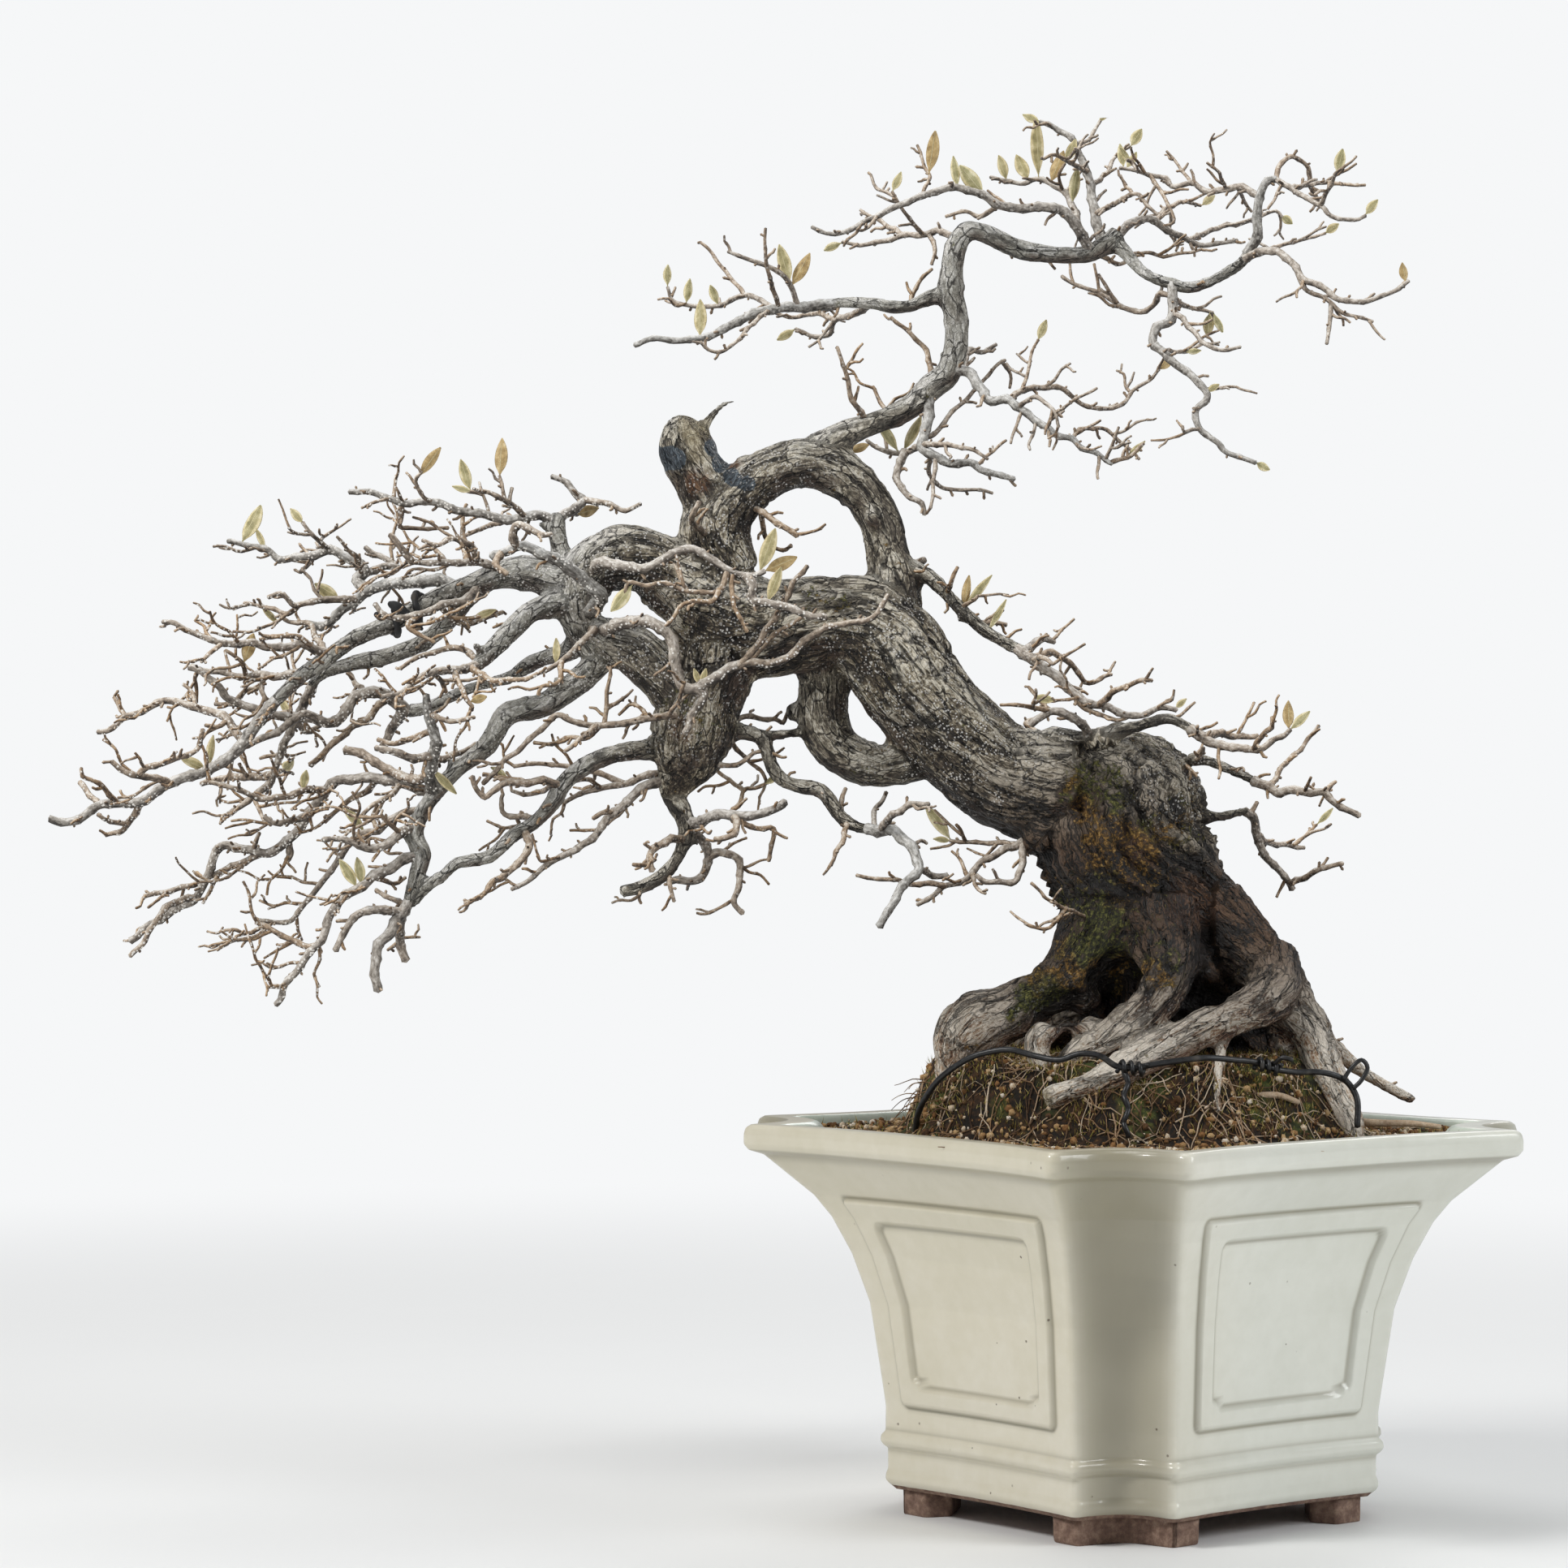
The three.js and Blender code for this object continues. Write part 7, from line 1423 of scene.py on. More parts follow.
class Graph:
    """A material's nodes, every one of which comes from one method."""

    def __init__(self, name: str) -> None:
        """Start a material with its shader alone.

        Args:
            name: The material's name.
        """
        self.material = bpy.data.materials.new(name)
        self.material.use_nodes = True
        self.tree = self.material.node_tree
        self.shader = self.tree.nodes["Principled BSDF"]

    def add(self, kind: str, settings: dict | None = None, values: dict | None = None,
            output: int | str = 0) -> Value:
        """Add a node.

        Args:
            kind: The node's type.
            settings: Its settings, and under "stops" a ramp's places and colours.
            values: Numbers, colours or other nodes' results for its sockets, by name or number.
            output: Which of its results is returned.

        Returns:
            The result.
        """
        node = self.tree.nodes.new(kind)
        for key, setting in (settings or {}).items():
            if key == "stops":
                elements = node.color_ramp.elements
                for i, (place, colour) in enumerate(setting):
                    stop = elements[i] if i < 2 else elements.new(place)
                    stop.position = place
                    stop.color = (*colour, 1)
            else:
                setattr(node, key, setting)
        for key, value in (values or {}).items():
            self.join(node.inputs[key], value)
        return Value(self, node.outputs[output])

    def join(self, socket: bpy.types.NodeSocket, value: "Value | float | tuple") -> None:
        """Link or set a socket.

        Args:
            socket: The socket.
            value: Another node's result, or a number or colour.
        """
        if isinstance(value, Value):
            self.tree.links.new(value.socket, socket)
        elif isinstance(value, tuple) and len(value) == 3 and socket.type == "RGBA":
            socket.default_value = (*value, 1)
        else:
            socket.default_value = value

    def finish(self, **sockets: "Value | float | tuple") -> bpy.types.Material:
        """Fill the shader's sockets, with _ for a space in their names, and return the material."""
        for name, value in sockets.items():
            self.join(self.shader.inputs[name.replace("_", " ")], value)
        return self.material

    def here(self) -> Value:
        """Return the place on the object, in metres."""
        return self.add("ShaderNodeTexCoord", output="Object")

    def given(self, name: str, vector: bool = False) -> Value:
        """Return one of the mesh's own values."""
        settings = {"attribute_type": "GEOMETRY", "attribute_name": name}
        return self.add("ShaderNodeAttribute", settings, output="Vector" if vector else "Fac")

    def stretched(self, vector: Value, scale: Triple) -> Value:
        """Return a vector with its three numbers scaled."""
        return self.add("ShaderNodeMapping", {}, {"Vector": vector, "Scale": scale})

    def noise(self, vector: Value, scale: float, detail: float = 3.0, rough: float = 0.55,
              warp: float = 0.0) -> Value:
        """Return noise, 0 to 1 about 0.5.

        Args:
            vector: The place that it is read at.
            scale: How often it repeats in one.
            detail: How many finer layers it has.
            rough: How strong each layer is against the one before.
            warp: How far it is stirred.

        Returns:
            The noise.
        """
        values = {"Vector": vector, "Scale": scale, "Detail": detail, "Roughness": rough,
                  "Distortion": warp}
        return self.add("ShaderNodeTexNoise", {}, values)

    def warped(self, vector: Value, scale: float, amount: float) -> Value:
        """Return a vector moved by noise: the vector plus the amount times the noise's colour.

        Args:
            vector: The vector.
            scale: How often the noise repeats in one unit of it.
            amount: How far it moves at most.

        Returns:
            The moved vector.
        """
        values = {"Vector": vector, "Scale": scale, "Detail": 2.0}
        sway = self.add("ShaderNodeTexNoise", {}, values, "Color")
        return self.add("ShaderNodeVectorMath", {"operation": "MULTIPLY_ADD"},
                        {0: sway, 1: (amount, amount, amount), 2: vector})

    def cells(self, vector: Value, scale: float, feature: str = "F1") -> Value:
        """Return the distance to a cell's seed or, with DISTANCE_TO_EDGE, to its edge."""
        values = {"Vector": vector, "Scale": scale}
        return self.add("ShaderNodeTexVoronoi", {"feature": feature}, values, "Distance")

    def ramp(self, factor: Value, *stops: tuple[float, int]) -> Value:
        """Return a colour from a ramp of places and colour codes."""
        coded = [(place, hexed(code)) for place, code in stops]
        return self.add("ShaderNodeValToRGB", {"stops": coded}, {"Fac": factor})

    def mix(self, factor: "Value | float", a: "Value | int", b: "Value | int",
            blend: str = "MIX") -> Value:
        """Return colour a, or b where the factor is 1.

        Args:
            factor: How far towards b, 0 to 1.
            a: A result, or a colour's code.
            b: The same.
            blend: How b is laid over a.

        Returns:
            The colour.
        """
        settings = {"data_type": "RGBA", "blend_type": blend}
        first, second = (hexed(c) if isinstance(c, int) else c for c in (a, b))
        return self.add("ShaderNodeMix", settings, {0: factor, 6: first, 7: second}, 2)

    def bump(self, height: Value, depth: float, under: Value | None = None) -> Value:
        """Return a normal for a height from 0 to 1 that stands for a depth in metres.

        Args:
            height: The height.
            depth: The depth that it stands for.
            under: The normal that it is laid over, if any.

        Returns:
            The normal.
        """
        values = {"Height": height, "Distance": depth, "Strength": 1.0}
        if under is not None:
            values["Normal"] = under
        return self.add("ShaderNodeBump", {}, values)


@dataclass(frozen=True)
class Bark:
    """Weathered bark: moss low down and white specks, with plate tops, ridges and faces towards the
    light painted pale as highlight, and cracks, furrows, hollows and undersides painted dark as shade.

    A pattern's scale is how often it repeats in a metre across the grain, twice, and along it.
    """

    name: str = "weathered_bark"
    flake_scale: Triple = (210.0, 210.0, 95.0)
    chip_scale: Triple = (520.0, 520.0, 260.0)
    strip_scale: Triple = (112.0, 112.0, 19.0)
    drawn_scale: Triple = (230.0, 230.0, 24.0)
    dot_scale: float = 640.0
    # Near-black painted into splits, cracks, furrows and hollows: the bark's own dark with painted shade
    # in them.
    crevice_shade: int = 0x17120E
    dot_pale: int = 0xECE9E4
    deep: float = 0.003
    slight: float = 0.0014

    def build(self) -> bpy.types.Material:
        """Make the material.

        Returns:
            The material.
        """
        g = Graph(self.name)
        here, grain = g.here(), g.given("grain", vector=True)
        crack_and_shade, sky = g.given("crack_and_shade"), g.given("sky")
        moss, damp, speck, silver_and_lit_tops = (g.given(k) for k in ("moss", "damp", "speck", "silver_and_lit_tops"))
        rust, wound, pink, bare = (g.given(k) for k in ("rust", "wound", "pink", "bare"))
        lift = g.given("lift")
        broad = g.noise(here, 34, 4)
        fine = g.noise(g.stretched(grain, (900.0, 900.0, 300.0)), 1.0, 5, 0.65, 0.3)
        thread = g.noise(g.stretched(grain, (420.0, 420.0, 1300.0)), 1.0, 3, 0.6)
        streak = g.noise(g.stretched(grain, (900.0, 900.0, 120.0)), 1.0, 4, 0.6)
        drawn = g.noise(g.stretched(grain, self.drawn_scale), 1.0, 3, 0.6)
        zone = g.noise(here, 48, 3, 0.5)
        flakes = g.warped(g.stretched(grain, self.flake_scale), 1.7, 0.6)
        rim = g.cells(flakes, 1.0, "DISTANCE_TO_EDGE")
        lines = (0.05 - rim).eased(0.0, 0.04) * g.noise(here, 90, 2).eased(0.36, 0.52)
        lifted = (rim - 0.04).eased(0.0, 0.05) * (0.22 - rim).eased(0.0, 0.14)
        chips = g.warped(g.stretched(grain, self.chip_scale), 1.7, 0.6)
        seams = (0.07 - g.cells(chips, 1.0, "DISTANCE_TO_EDGE")).eased(0.0, 0.06)
        plate = g.add("ShaderNodeTexVoronoi", {}, {"Vector": flakes, "Scale": 1.0}, "Color")
        strips = g.warped(g.stretched(grain, self.strip_scale), 1.5, 0.55)
        edge = g.cells(strips, 1.0, "DISTANCE_TO_EDGE")
        splits = (0.07 - edge).eased(0.0, 0.06) * g.noise(here, 70, 3).eased(0.4, 0.52)
        curled = (edge - 0.05).eased(0.0, 0.06) * (0.26 - edge).eased(0.0, 0.16)
        # Painted highlight and shade: faces towards the light, lifted flake rims, curled strip edges,
        # ridge tops and the tops of silver limbs are made paler, furrows and faces away darker.
        rough = (fine * 1.2 + thread * 0.35 + broad * 0.55 + plate * 0.26 - 1.01
                 + sky * 0.22 + lifted * 0.12 + curled * 0.1 + lift * 0.44)
        rough = rough + (rough - 0.56) * (damp * 1.3 + 0.15) + sky * silver_and_lit_tops * 0.14
        brown = g.ramp(rough, (0.2, 0x1B1610), (0.36, 0x443A2E), (0.51, 0x706552), (0.65, 0xA89D86),
                       (0.8, 0xE0D8C6))
        grey = g.ramp(rough * 0.6 + 0.22, (0.2, 0x36312B), (0.36, 0x6F6B62), (0.5, 0x9A978D),
                      (0.64, 0xC2C0B8), (0.8, 0xE9E7E2))
        # Undersides turn dark brown in patches, off the roots: painted shade.
        under = (zone.eased(0.46, 0.6) * (0.45 - sky).eased(0.0, 0.8) * (1 - pink) * 0.75)
        roots = g.ramp(rough + streak * 0.5 + drawn * 0.7 - 0.39, (0.18, 0x2E2016),
                       (0.32, 0x7A543C), (0.45, 0xB88F6F), (0.6, 0xDFC6A9), (0.76, 0xF8EEDF))
        colour = g.mix(under, g.mix(silver_and_lit_tops, brown, grey), g.ramp(fine, (0.35, 0x2A1E18),
                                                                 (0.65, 0x5E4A3D)))
        # The roots' undersides turn a darker ruddy brown in patches: painted shade over the roots'
        # reddish bark.
        ruddy_underside_shade = g.ramp(fine, (0.3, 0x4A2D1F), (0.5, 0x85604A), (0.7, 0xB9967D))
        roots = g.mix((0.42 - sky).eased(0.0, 0.9) * broad.eased(0.4, 0.55) * 0.8, roots, ruddy_underside_shade)
        colour = g.mix(pink, colour, roots)
        colour = g.mix(damp, colour, g.mix(1.0, colour, 0x685140, "MULTIPLY"))
        # Seams, fine lines and splits between flakes and strips are painted dark, the bark's own dark
        # with painted shade in them; cracks, furrows and hollows are painted near-black by their depth
        # as painted shade.
        colour = g.mix(seams * fine.eased(0.35, 0.55) * (0.4 - pink * 0.35), colour, 0x2C251F)
        colour = g.mix(lines * (0.85 - pink * 0.75), colour, 0x1C1713)
        colour = g.mix(splits * (0.9 - pink * 0.3 - silver_and_lit_tops * 0.4), colour, self.crevice_shade)
        colour = g.mix(crack_and_shade.eased(0.25, 0.9) * 0.85, colour, self.crevice_shade)
        tan = g.ramp(fine + (drawn - 0.5), (0.3, 0x4A3E2C), (0.5, 0x8E8164), (0.7, 0xC6BCA0))
        colour = g.mix(bare * fine.eased(0.25, 0.4), colour, tan)
        rusty = g.ramp(fine, (0.3, 0x24150D), (0.5, 0x5C3820), (0.7, 0x966A43))
        colour = g.mix(rust * fine.eased(0.3, 0.55), colour, rusty)
        paste = g.ramp(fine, (0.3, 0x15181B), (0.45, 0x30373E), (0.6, 0x5C6770), (0.75, 0xA4ABAF))
        colour = g.mix((wound + (fine - 0.5) * 0.5).eased(0.42, 0.58), colour, paste)
        tuft = g.noise(here, 260, 5, 0.7)
        growth = (moss * 0.8 + (tuft - 0.5) * 2.8 + (broad - 0.5) * 1.6 - 0.44).eased(0.0, 0.4)
        crumb, hue = g.noise(here, 520, 4, 0.7), g.noise(here, 42, 2)
        # Moss colours run from near-black to pale: the moss's own greens and ochres, with painted shade
        # in the gaps between tufts and painted glints on their tips.
        leafy = g.ramp(crumb, (0.34, 0x0F0F08), (0.47, 0x2E2F17), (0.58, 0x595929), (0.7, 0x8D8850))
        ochre = g.ramp(crumb, (0.34, 0x160F07), (0.47, 0x4A3819), (0.58, 0x85622C), (0.7, 0xC2A36A))
        green = g.mix(hue.eased(0.45, 0.6), leafy, ochre)
        # The bark round the moss is darkened: painted shade.
        colour = g.mix(moss * 0.7, colour, g.mix(1.0, colour, 0x6B5B42, "MULTIPLY"))
        colour = g.mix(growth, colour, green)
        dots = (0.38 - g.cells(here, self.dot_scale)).eased(0.0, 0.12)
        sparse = g.noise(here, 120, 4, 0.7).eased(0.43, 0.56)
        colour = g.mix((dots * sparse * speck).at_most(0.9), colour, self.dot_pale)
        height = (fine * 0.55 + thread * 0.2 + streak * pink * 0.4 - lines * 0.5 + lifted * 0.2
                  - seams * 0.15 + growth * tuft * 0.8 + dots * speck * 0.2)
        deep = g.bump((curled * 0.3 - splits + plate * 0.25 + drawn * 0.5) * (1 - silver_and_lit_tops * 0.7),
                      self.deep)
        slight = g.bump(height, self.slight, deep)
        shine = 0.68 - wound * 0.2 - damp * 0.14 + growth * 0.3
        return g.finish(Base_Color=colour, Roughness=shine, Normal=slight)


@dataclass(frozen=True)
class TwigBark:
    """Bark of the twigs: grey where they are old, tan and brown where young, with painted highlight
    above and painted shade below.
    """

    name: str = "twig_bark"

    def build(self) -> bpy.types.Material:
        """Make the material.

        Returns:
            The material.
        """
        g = Graph(self.name)
        grain, tone, sky = g.given("grain", vector=True), g.given("tone"), g.given("sky")
        here = g.here()
        fine = g.noise(g.stretched(grain, (900.0, 900.0, 420.0)), 1.0, 4, 0.6)
        mottle = g.noise(grain, 130, 3)
        # Upper sides, towards the light, are painted paler and undersides darker: painted highlight and
        # shade.
        rough = fine * 0.9 + mottle * 0.7 + sky * 0.32 - 0.32
        young = g.ramp(rough, (0.2, 0x281C13), (0.38, 0x5C4631), (0.54, 0x8F7253), (0.7, 0xBB9D7A),
                       (0.86, 0xE4D6C2))
        old = g.ramp(rough, (0.2, 0x26221E), (0.38, 0x625D57), (0.54, 0x94918B), (0.7, 0xC1BFBA),
                     (0.86, 0xE9E8E5))
        colour = g.mix(tone, young, old)
        dots = (0.36 - g.cells(here, 520)).eased(0.0, 0.1) * g.noise(here, 70, 2).eased(0.4, 0.52)
        colour = g.mix(dots * g.given("speck"), colour, 0xE9E5DE)
        slight = g.bump(fine * 0.7 + mottle * 0.3, 0.0004)
        return g.finish(Base_Color=colour, Roughness=0.52 + fine * 0.2, Normal=slight)


@dataclass(frozen=True)
class Leaf:
    """A leathery blade: olive along the rib, cream at the margin, with brown speckle."""

    name: str = "cream_leaf"

    def build(self) -> bpy.types.Material:
        """Make the material; "grain" holds the place across the blade, -1 to 1, and along it.

        Returns:
            The material.
        """
        g = Graph(self.name)
        grain, dry, here = g.given("grain", vector=True), g.given("dry"), g.here()
        parts = g.tree.nodes.new("ShaderNodeSeparateXYZ")
        g.tree.links.new(grain.socket, parts.inputs[0])
        across = Value(g, parts.outputs["X"])
        size = across._math("ABSOLUTE", across)
        mottle = g.noise(here, 260, 4, 0.6)
        margin = (size + mottle * 0.5 - 0.25).eased(0.45, 0.75)
        olive = g.ramp(mottle, (0.3, 0x8A855C), (0.5, 0xACA67A), (0.7, 0xC8C299))
        cream = g.ramp(mottle, (0.3, 0xCDBF8D), (0.5, 0xE4D8AB), (0.7, 0xF1EACD))
        colour = g.mix(margin, olive, cream)
        brown = g.ramp(mottle, (0.3, 0x86683F), (0.55, 0xBFA06A), (0.8, 0xDDC798))
        colour = g.mix(dry, colour, brown)
        dots = (0.3 - g.cells(here, 1300)).eased(0.0, 0.14) * g.noise(here, 300, 2).eased(0.4, 0.6)
        colour = g.mix(dots * 0.6, colour, 0x7A5A36)
        rib = (0.1 - size).eased(0.0, 0.08)
        colour = g.mix(rib * 0.6, colour, 0xE0D6AC)
        slight = g.bump(mottle * 0.4 + rib * 0.6 - dots * 0.2, 0.0003)
        return g.finish(Base_Color=colour, Roughness=0.62, Normal=slight)


@dataclass(frozen=True)
class Glaze:
    """Ivory glaze over grey-brown clay, with a bare foot, pits, a few brown chips, painted warm and cool
    light and olive pooled glaze with painted shade.
    """

    name: str = "ivory_glaze"

    def build(self) -> bpy.types.Material:
        """Make the material.

        Returns:
            The material.
        """
        g = Graph(self.name)
        here, inner, bare = g.here(), g.given("inner"), g.given("bare")
        pooled, chip, wall = g.given("pooled"), g.given("chip"), g.given("wall")
        broad, fine = g.noise(here, 9, 3), g.noise(here, 120, 4)
        # Warmer on the left walls and cooler on the right, as the warm key and the cool fill light them:
        # painted light.
        warm_key_lit = g.ramp(broad * 0.7 + fine * 0.3, (0.3, 0xCFC9B2), (0.5, 0xD7D1BD), (0.7, 0xDFDACA))
        cool_fill_lit = g.ramp(broad * 0.7 + fine * 0.3, (0.3, 0xD3D4C7), (0.5, 0xDBDCD1), (0.7, 0xE3E4DA))
        colour = g.mix(wall, warm_key_lit, cool_fill_lit)
        pale = g.ramp(fine, (0.3, 0xC3CFC0), (0.6, 0xD6DFD1), (0.8, 0xE2E8DC))
        colour = g.mix(inner, colour, pale)
        # Olive where glaze pools, with painted shade in grooves, under the rim and along the frames and
        # the rolls near the foot.
        olive = g.ramp(broad * 0.5 + fine * 0.5, (0.35, 0x7D7761), (0.65, 0x99937E))
        colour = g.mix(pooled * (0.6 + fine * 0.4), colour, olive)
        pits = (0.075 - g.cells(here, 100)).eased(0.0, 0.03) * g.noise(here, 16, 2).eased(0.54, 0.62)
        colour = g.mix(pits * 0.8, colour, 0x5E4B3A)
        clay = g.ramp(g.noise(here, 240, 5, 0.7), (0.3, 0x5A443A), (0.5, 0x7A6153), (0.7, 0x9A8271))
        edge = (bare + (g.noise(here, 90, 3) - 0.5) * 0.5).eased(0.42, 0.58)
        colour = g.mix(edge, colour, clay)
        broken = (chip + (fine - 0.5) * 0.6).eased(0.5, 0.62)
        colour = g.mix(broken, colour, 0x8E6A4C)
        dull = edge.at_least(broken)
        rough = 0.27 + fine * 0.1 + dull * 0.5
        height = g.noise(here, 60, 2) * 0.5 - pits * 0.6 - broken * 0.8
        slight = g.bump(height + g.noise(here, 500, 3) * dull * 0.5, 0.0006)
        coat = 0.35 - dull * 0.35
        return g.finish(Base_Color=colour, Roughness=rough, Coat_Weight=coat, Normal=slight)


class Ground(Enum):
    """The kinds of loose stuff on the soil, with the colours of each."""

    SOIL = ((0.3, 0x140D06), (0.44, 0x442C16), (0.56, 0x856037), (0.7, 0xC4A06A))
    GRIT = ((0.1, 0x2E1D0F), (0.4, 0x8E6438), (0.65, 0xC2A273), (0.9, 0xF7F1E6))
    MOSS = ((0.1, 0x21180A), (0.33, 0x6C5220), (0.58, 0x958C3E), (0.88, 0xEAD28E))
    FIBRE = ((0.1, 0x3F2919), (0.5, 0x9A7958), (0.95, 0xE6D7C0))


@dataclass(frozen=True)
class Earth:
    """Soil, grit, moss or fibre."""

    kind: Ground
    scale: float = 300.0
    roughness: float = 0.95

    def build(self) -> bpy.types.Material:
        """Make the material, whose colour each grain or tuft shifts by its own tone.

        Returns:
            The material.
        """
        g = Graph(f"{self.kind.name.lower()}_ground")
        here = g.here()
        fine = g.noise(here, self.scale, 5, 0.7)
        tone = g.given("tone")
        colour = g.ramp(fine * 0.55 + tone * 0.75 - 0.2, *self.kind.value)
        if self.kind is Ground.SOIL:
            green = g.ramp(fine, (0.3, 0x1E2410), (0.5, 0x414A1E), (0.7, 0x6A6C30))
            colour = g.mix(g.given("moss") * g.noise(here, 120, 3).eased(0.4, 0.6), colour, green)
        slight = g.bump(fine, 0.0008)
        return g.finish(Base_Color=colour, Roughness=self.roughness, Normal=slight)


@dataclass(frozen=True)
class Plastic:
    """Black wire, rubber or plastic, a little scuffed and dusty."""

    name: str
    roughness: float
    dark: int = 0x0B0B0D
    light: int = 0x2A2B2D

    def build(self) -> bpy.types.Material:
        """Make the material.

        Returns:
            The material.
        """
        g = Graph(self.name)
        here = g.here()
        fine = g.noise(here, 380, 4, 0.65)
        colour = g.ramp(fine, (0.35, self.dark), (0.75, self.light))
        dust = g.noise(here, 90, 3).eased(0.58, 0.78)
        colour = g.mix(dust * 0.35, colour, 0x6E675C)
        rough = self.roughness + fine * 0.16 + dust * 0.25
        return g.finish(Base_Color=colour, Roughness=rough, Normal=g.bump(fine, 0.0002))


@dataclass(frozen=True)
class Floor:
    """A pale floor that fades into the backdrop's own colour far from the object."""

    near: float = 0.7
    far: float = 1.9

    def build(self) -> bpy.types.Material:
        """Make the material: plain matt near by, an even glow far off.

        Returns:
            The material.
        """
        g = Graph("pale_floor")
        here = g.here()
        away = g.add("ShaderNodeVectorMath", {"operation": "LENGTH"}, {0: here}, "Value")
        colour = g.mix(g.noise(here, 14, 3) * 0.2, 0xEDEEEE, 0xE6E7E8)
        g.finish(Base_Color=colour, Roughness=0.75, Normal=g.bump(g.noise(here, 300, 2), 0.0001))
        glow = g.add("ShaderNodeEmission", {}, {"Color": BACKDROP, "Strength": 1.0})
        matt = Value(g, g.shader.outputs[0])
        mixed = g.add("ShaderNodeMixShader", {},
                      {0: away.eased(self.near, self.far), 1: matt, 2: glow})
        output = g.tree.nodes["Material Output"]
        g.tree.links.new(mixed.socket, output.inputs["Surface"])
        return g.material


BACKDROP: Colour = hexed(0xF6F7F8)


# The tree

@dataclass(frozen=True)
class Patch:
    """A round region in the front view, soft at its edge, in front or all the way through."""

    x: float
    z: float
    reach: float
    amount: float = 1.0
    front: bool = True


@dataclass(frozen=True)
class Marks:
    """What the bark's relief gives for every place of the skin.

    Attributes:
        relief: How far it stands out.
        dark: How deep in a crack, furrow or hollow it lies, 0 to 1, painted as shade; dark rings on thin
            limbs add to it.
        lift: How far up a ridge or a plate it lies, 0 to 1, which the finish paints lighter as
            highlight.
        root: Whether it is on a root.
        stout: Whether its limb is stout.
        ruffle: What ruffles the edges of patches, -1 to 1.
    """

    relief: Array
    dark: Array
    lift: Array
    root: Array
    stout: Array
    ruffle: Array


@dataclass
class Trunk:
    """The trunk with its roots and limbs: one skin with plated bark.

    A pattern's size is how far it repeats across the grain, twice, and along it. A fill is a lump
    of wood, laid as a limb is, where two limbs would leave a gap.
    """

    sight: Sight
    batch: int = 8000
    voxel: float = 2.0
    smoothing: int = 4
    plate_depth: float = 2.0
    ridge_depth: float = 5.0
    furrow_depth: float = 4.0
    swell_depth: float = 2.6
    butt_twist: float = 0.015
    limb_twist: float = 0.004
    plate_size: Triple = (9.0, 9.0, 30.0)
    ridge_size: Triple = (11.0, 11.0, 75.0)
    furrow_size: Triple = (13.0, 13.0, 70.0)
    swell_size: Triple = (24.0, 24.0, 110.0)
    speckle_size: Triple = (1.6, 1.6, 3.4)
    ring_spacing: float = 15.0
    ring_width: float = 2.2
    evening: float = 0.32
    near_by: float = 22.0
    hollows: tuple[Patch, ...] = (Patch(-9, 262, 12, 8), Patch(-36, 246, 12, 7), Patch(42, 256, 6, 4))
    stub_spacing: float = 34.0
    fills: tuple[tuple[tuple[float, ...], ...], ...] = (
        ((44, 14, 266, 20), (62, 20, 240, 17), (76, 22, 212, 15), (82, 26, 188, 12)),
        ((-26, -8, 350, 24), (-39, -12, 339, 17), (-44, -13, 329, 12), (-46, -12, 323, 7)),
    )
    moss: tuple[Patch, ...] = (
        Patch(-18, 352, 22, 0.85), Patch(-6, 322, 26, 0.8), Patch(-24, 296, 24, 0.85),
        Patch(8, 296, 20, 0.5), Patch(-22, 268, 24, 1.1), Patch(-42, 256, 17, 1.3),
        Patch(-54, 243, 9, 1.1), Patch(14, 268, 14, 0.8), Patch(24, 340, 18, 0.5),
        Patch(-150, 434, 26, 0.35), Patch(-212, 396, 22, 0.4), Patch(8, 372, 20, 0.35),
    )
    specks: tuple[Patch, ...] = (
        Patch(-250, 445, 70, 1.0, False), Patch(-210, 455, 50, 0.9, False),
        Patch(-310, 430, 70, 0.9, False), Patch(-110, 415, 44, 0.9), Patch(-92, 380, 40, 1.0),
        Patch(-60, 400, 40, 0.8), Patch(-180, 515, 34, 0.7), Patch(20, 360, 26, 0.6),
        Patch(-380, 430, 60, 0.5, False),
    )
    wounds: tuple[Patch, ...] = (Patch(-229, 519, 8, 1.0), Patch(-207, 524, 4.5, 1.0),
                                 Patch(-203, 516, 4.5, 1.0), Patch(-197, 509, 5, 1.0),
                                 Patch(-190, 506, 4, 1.0))
    rusts: tuple[Patch, ...] = (Patch(-214, 506, 7, 0.7), Patch(-197, 516, 3.5, 1.0),
                                Patch(-222, 386, 7, 0.5), Patch(-24, 350, 14, 0.5),
                                Patch(2, 328, 12, 0.55), Patch(30, 300, 14, 0.35))
    bares: tuple[Patch, ...] = (Patch(-216, 533, 9, 0.8), Patch(-47, 201, 8, 1.0),
                                Patch(-214, 520, 5, 0.5))

    def skin(self, limbs: dict[str, list[list[float]]]) -> bpy.types.Mesh:
        """Return one smooth skin over all limbs: their tubes, joined on a grid of small cubes.

        Args:
            limbs: Rows of x, depth, z and radius along each limb, by name.

        Returns:
            The skin, in metres.
        """
        shell = Shell()
        for line in (*limbs.values(), *self.fills):
            rows = self.sight.seen(np.array(line, float))
            rows = curve(rows, 3.0)
            rows[:, 3] = np.maximum(rows[:, 3], 1.4)
            shell.tube(rows, 20, tip=0.35)
        for stub in self._stubs(limbs):
            shell.tube(stub, 10, tip=0.25)
        rough = bpy.data.objects.new("trunk_tubes", shell.mesh("trunk_tubes"))
        bpy.context.scene.collection.objects.link(rough)
        remesh = rough.modifiers.new("skin", "REMESH")
        remesh.mode = "VOXEL"
        remesh.voxel_size = self.voxel / 1000
        smooth = rough.modifiers.new("smooth", "SMOOTH")
        smooth.factor = 0.5
        smooth.iterations = self.smoothing
        shown = rough.evaluated_get(bpy.context.evaluated_depsgraph_get())
        mesh = bpy.data.meshes.new_from_object(shown)
        bpy.data.objects.remove(rough)
        return mesh

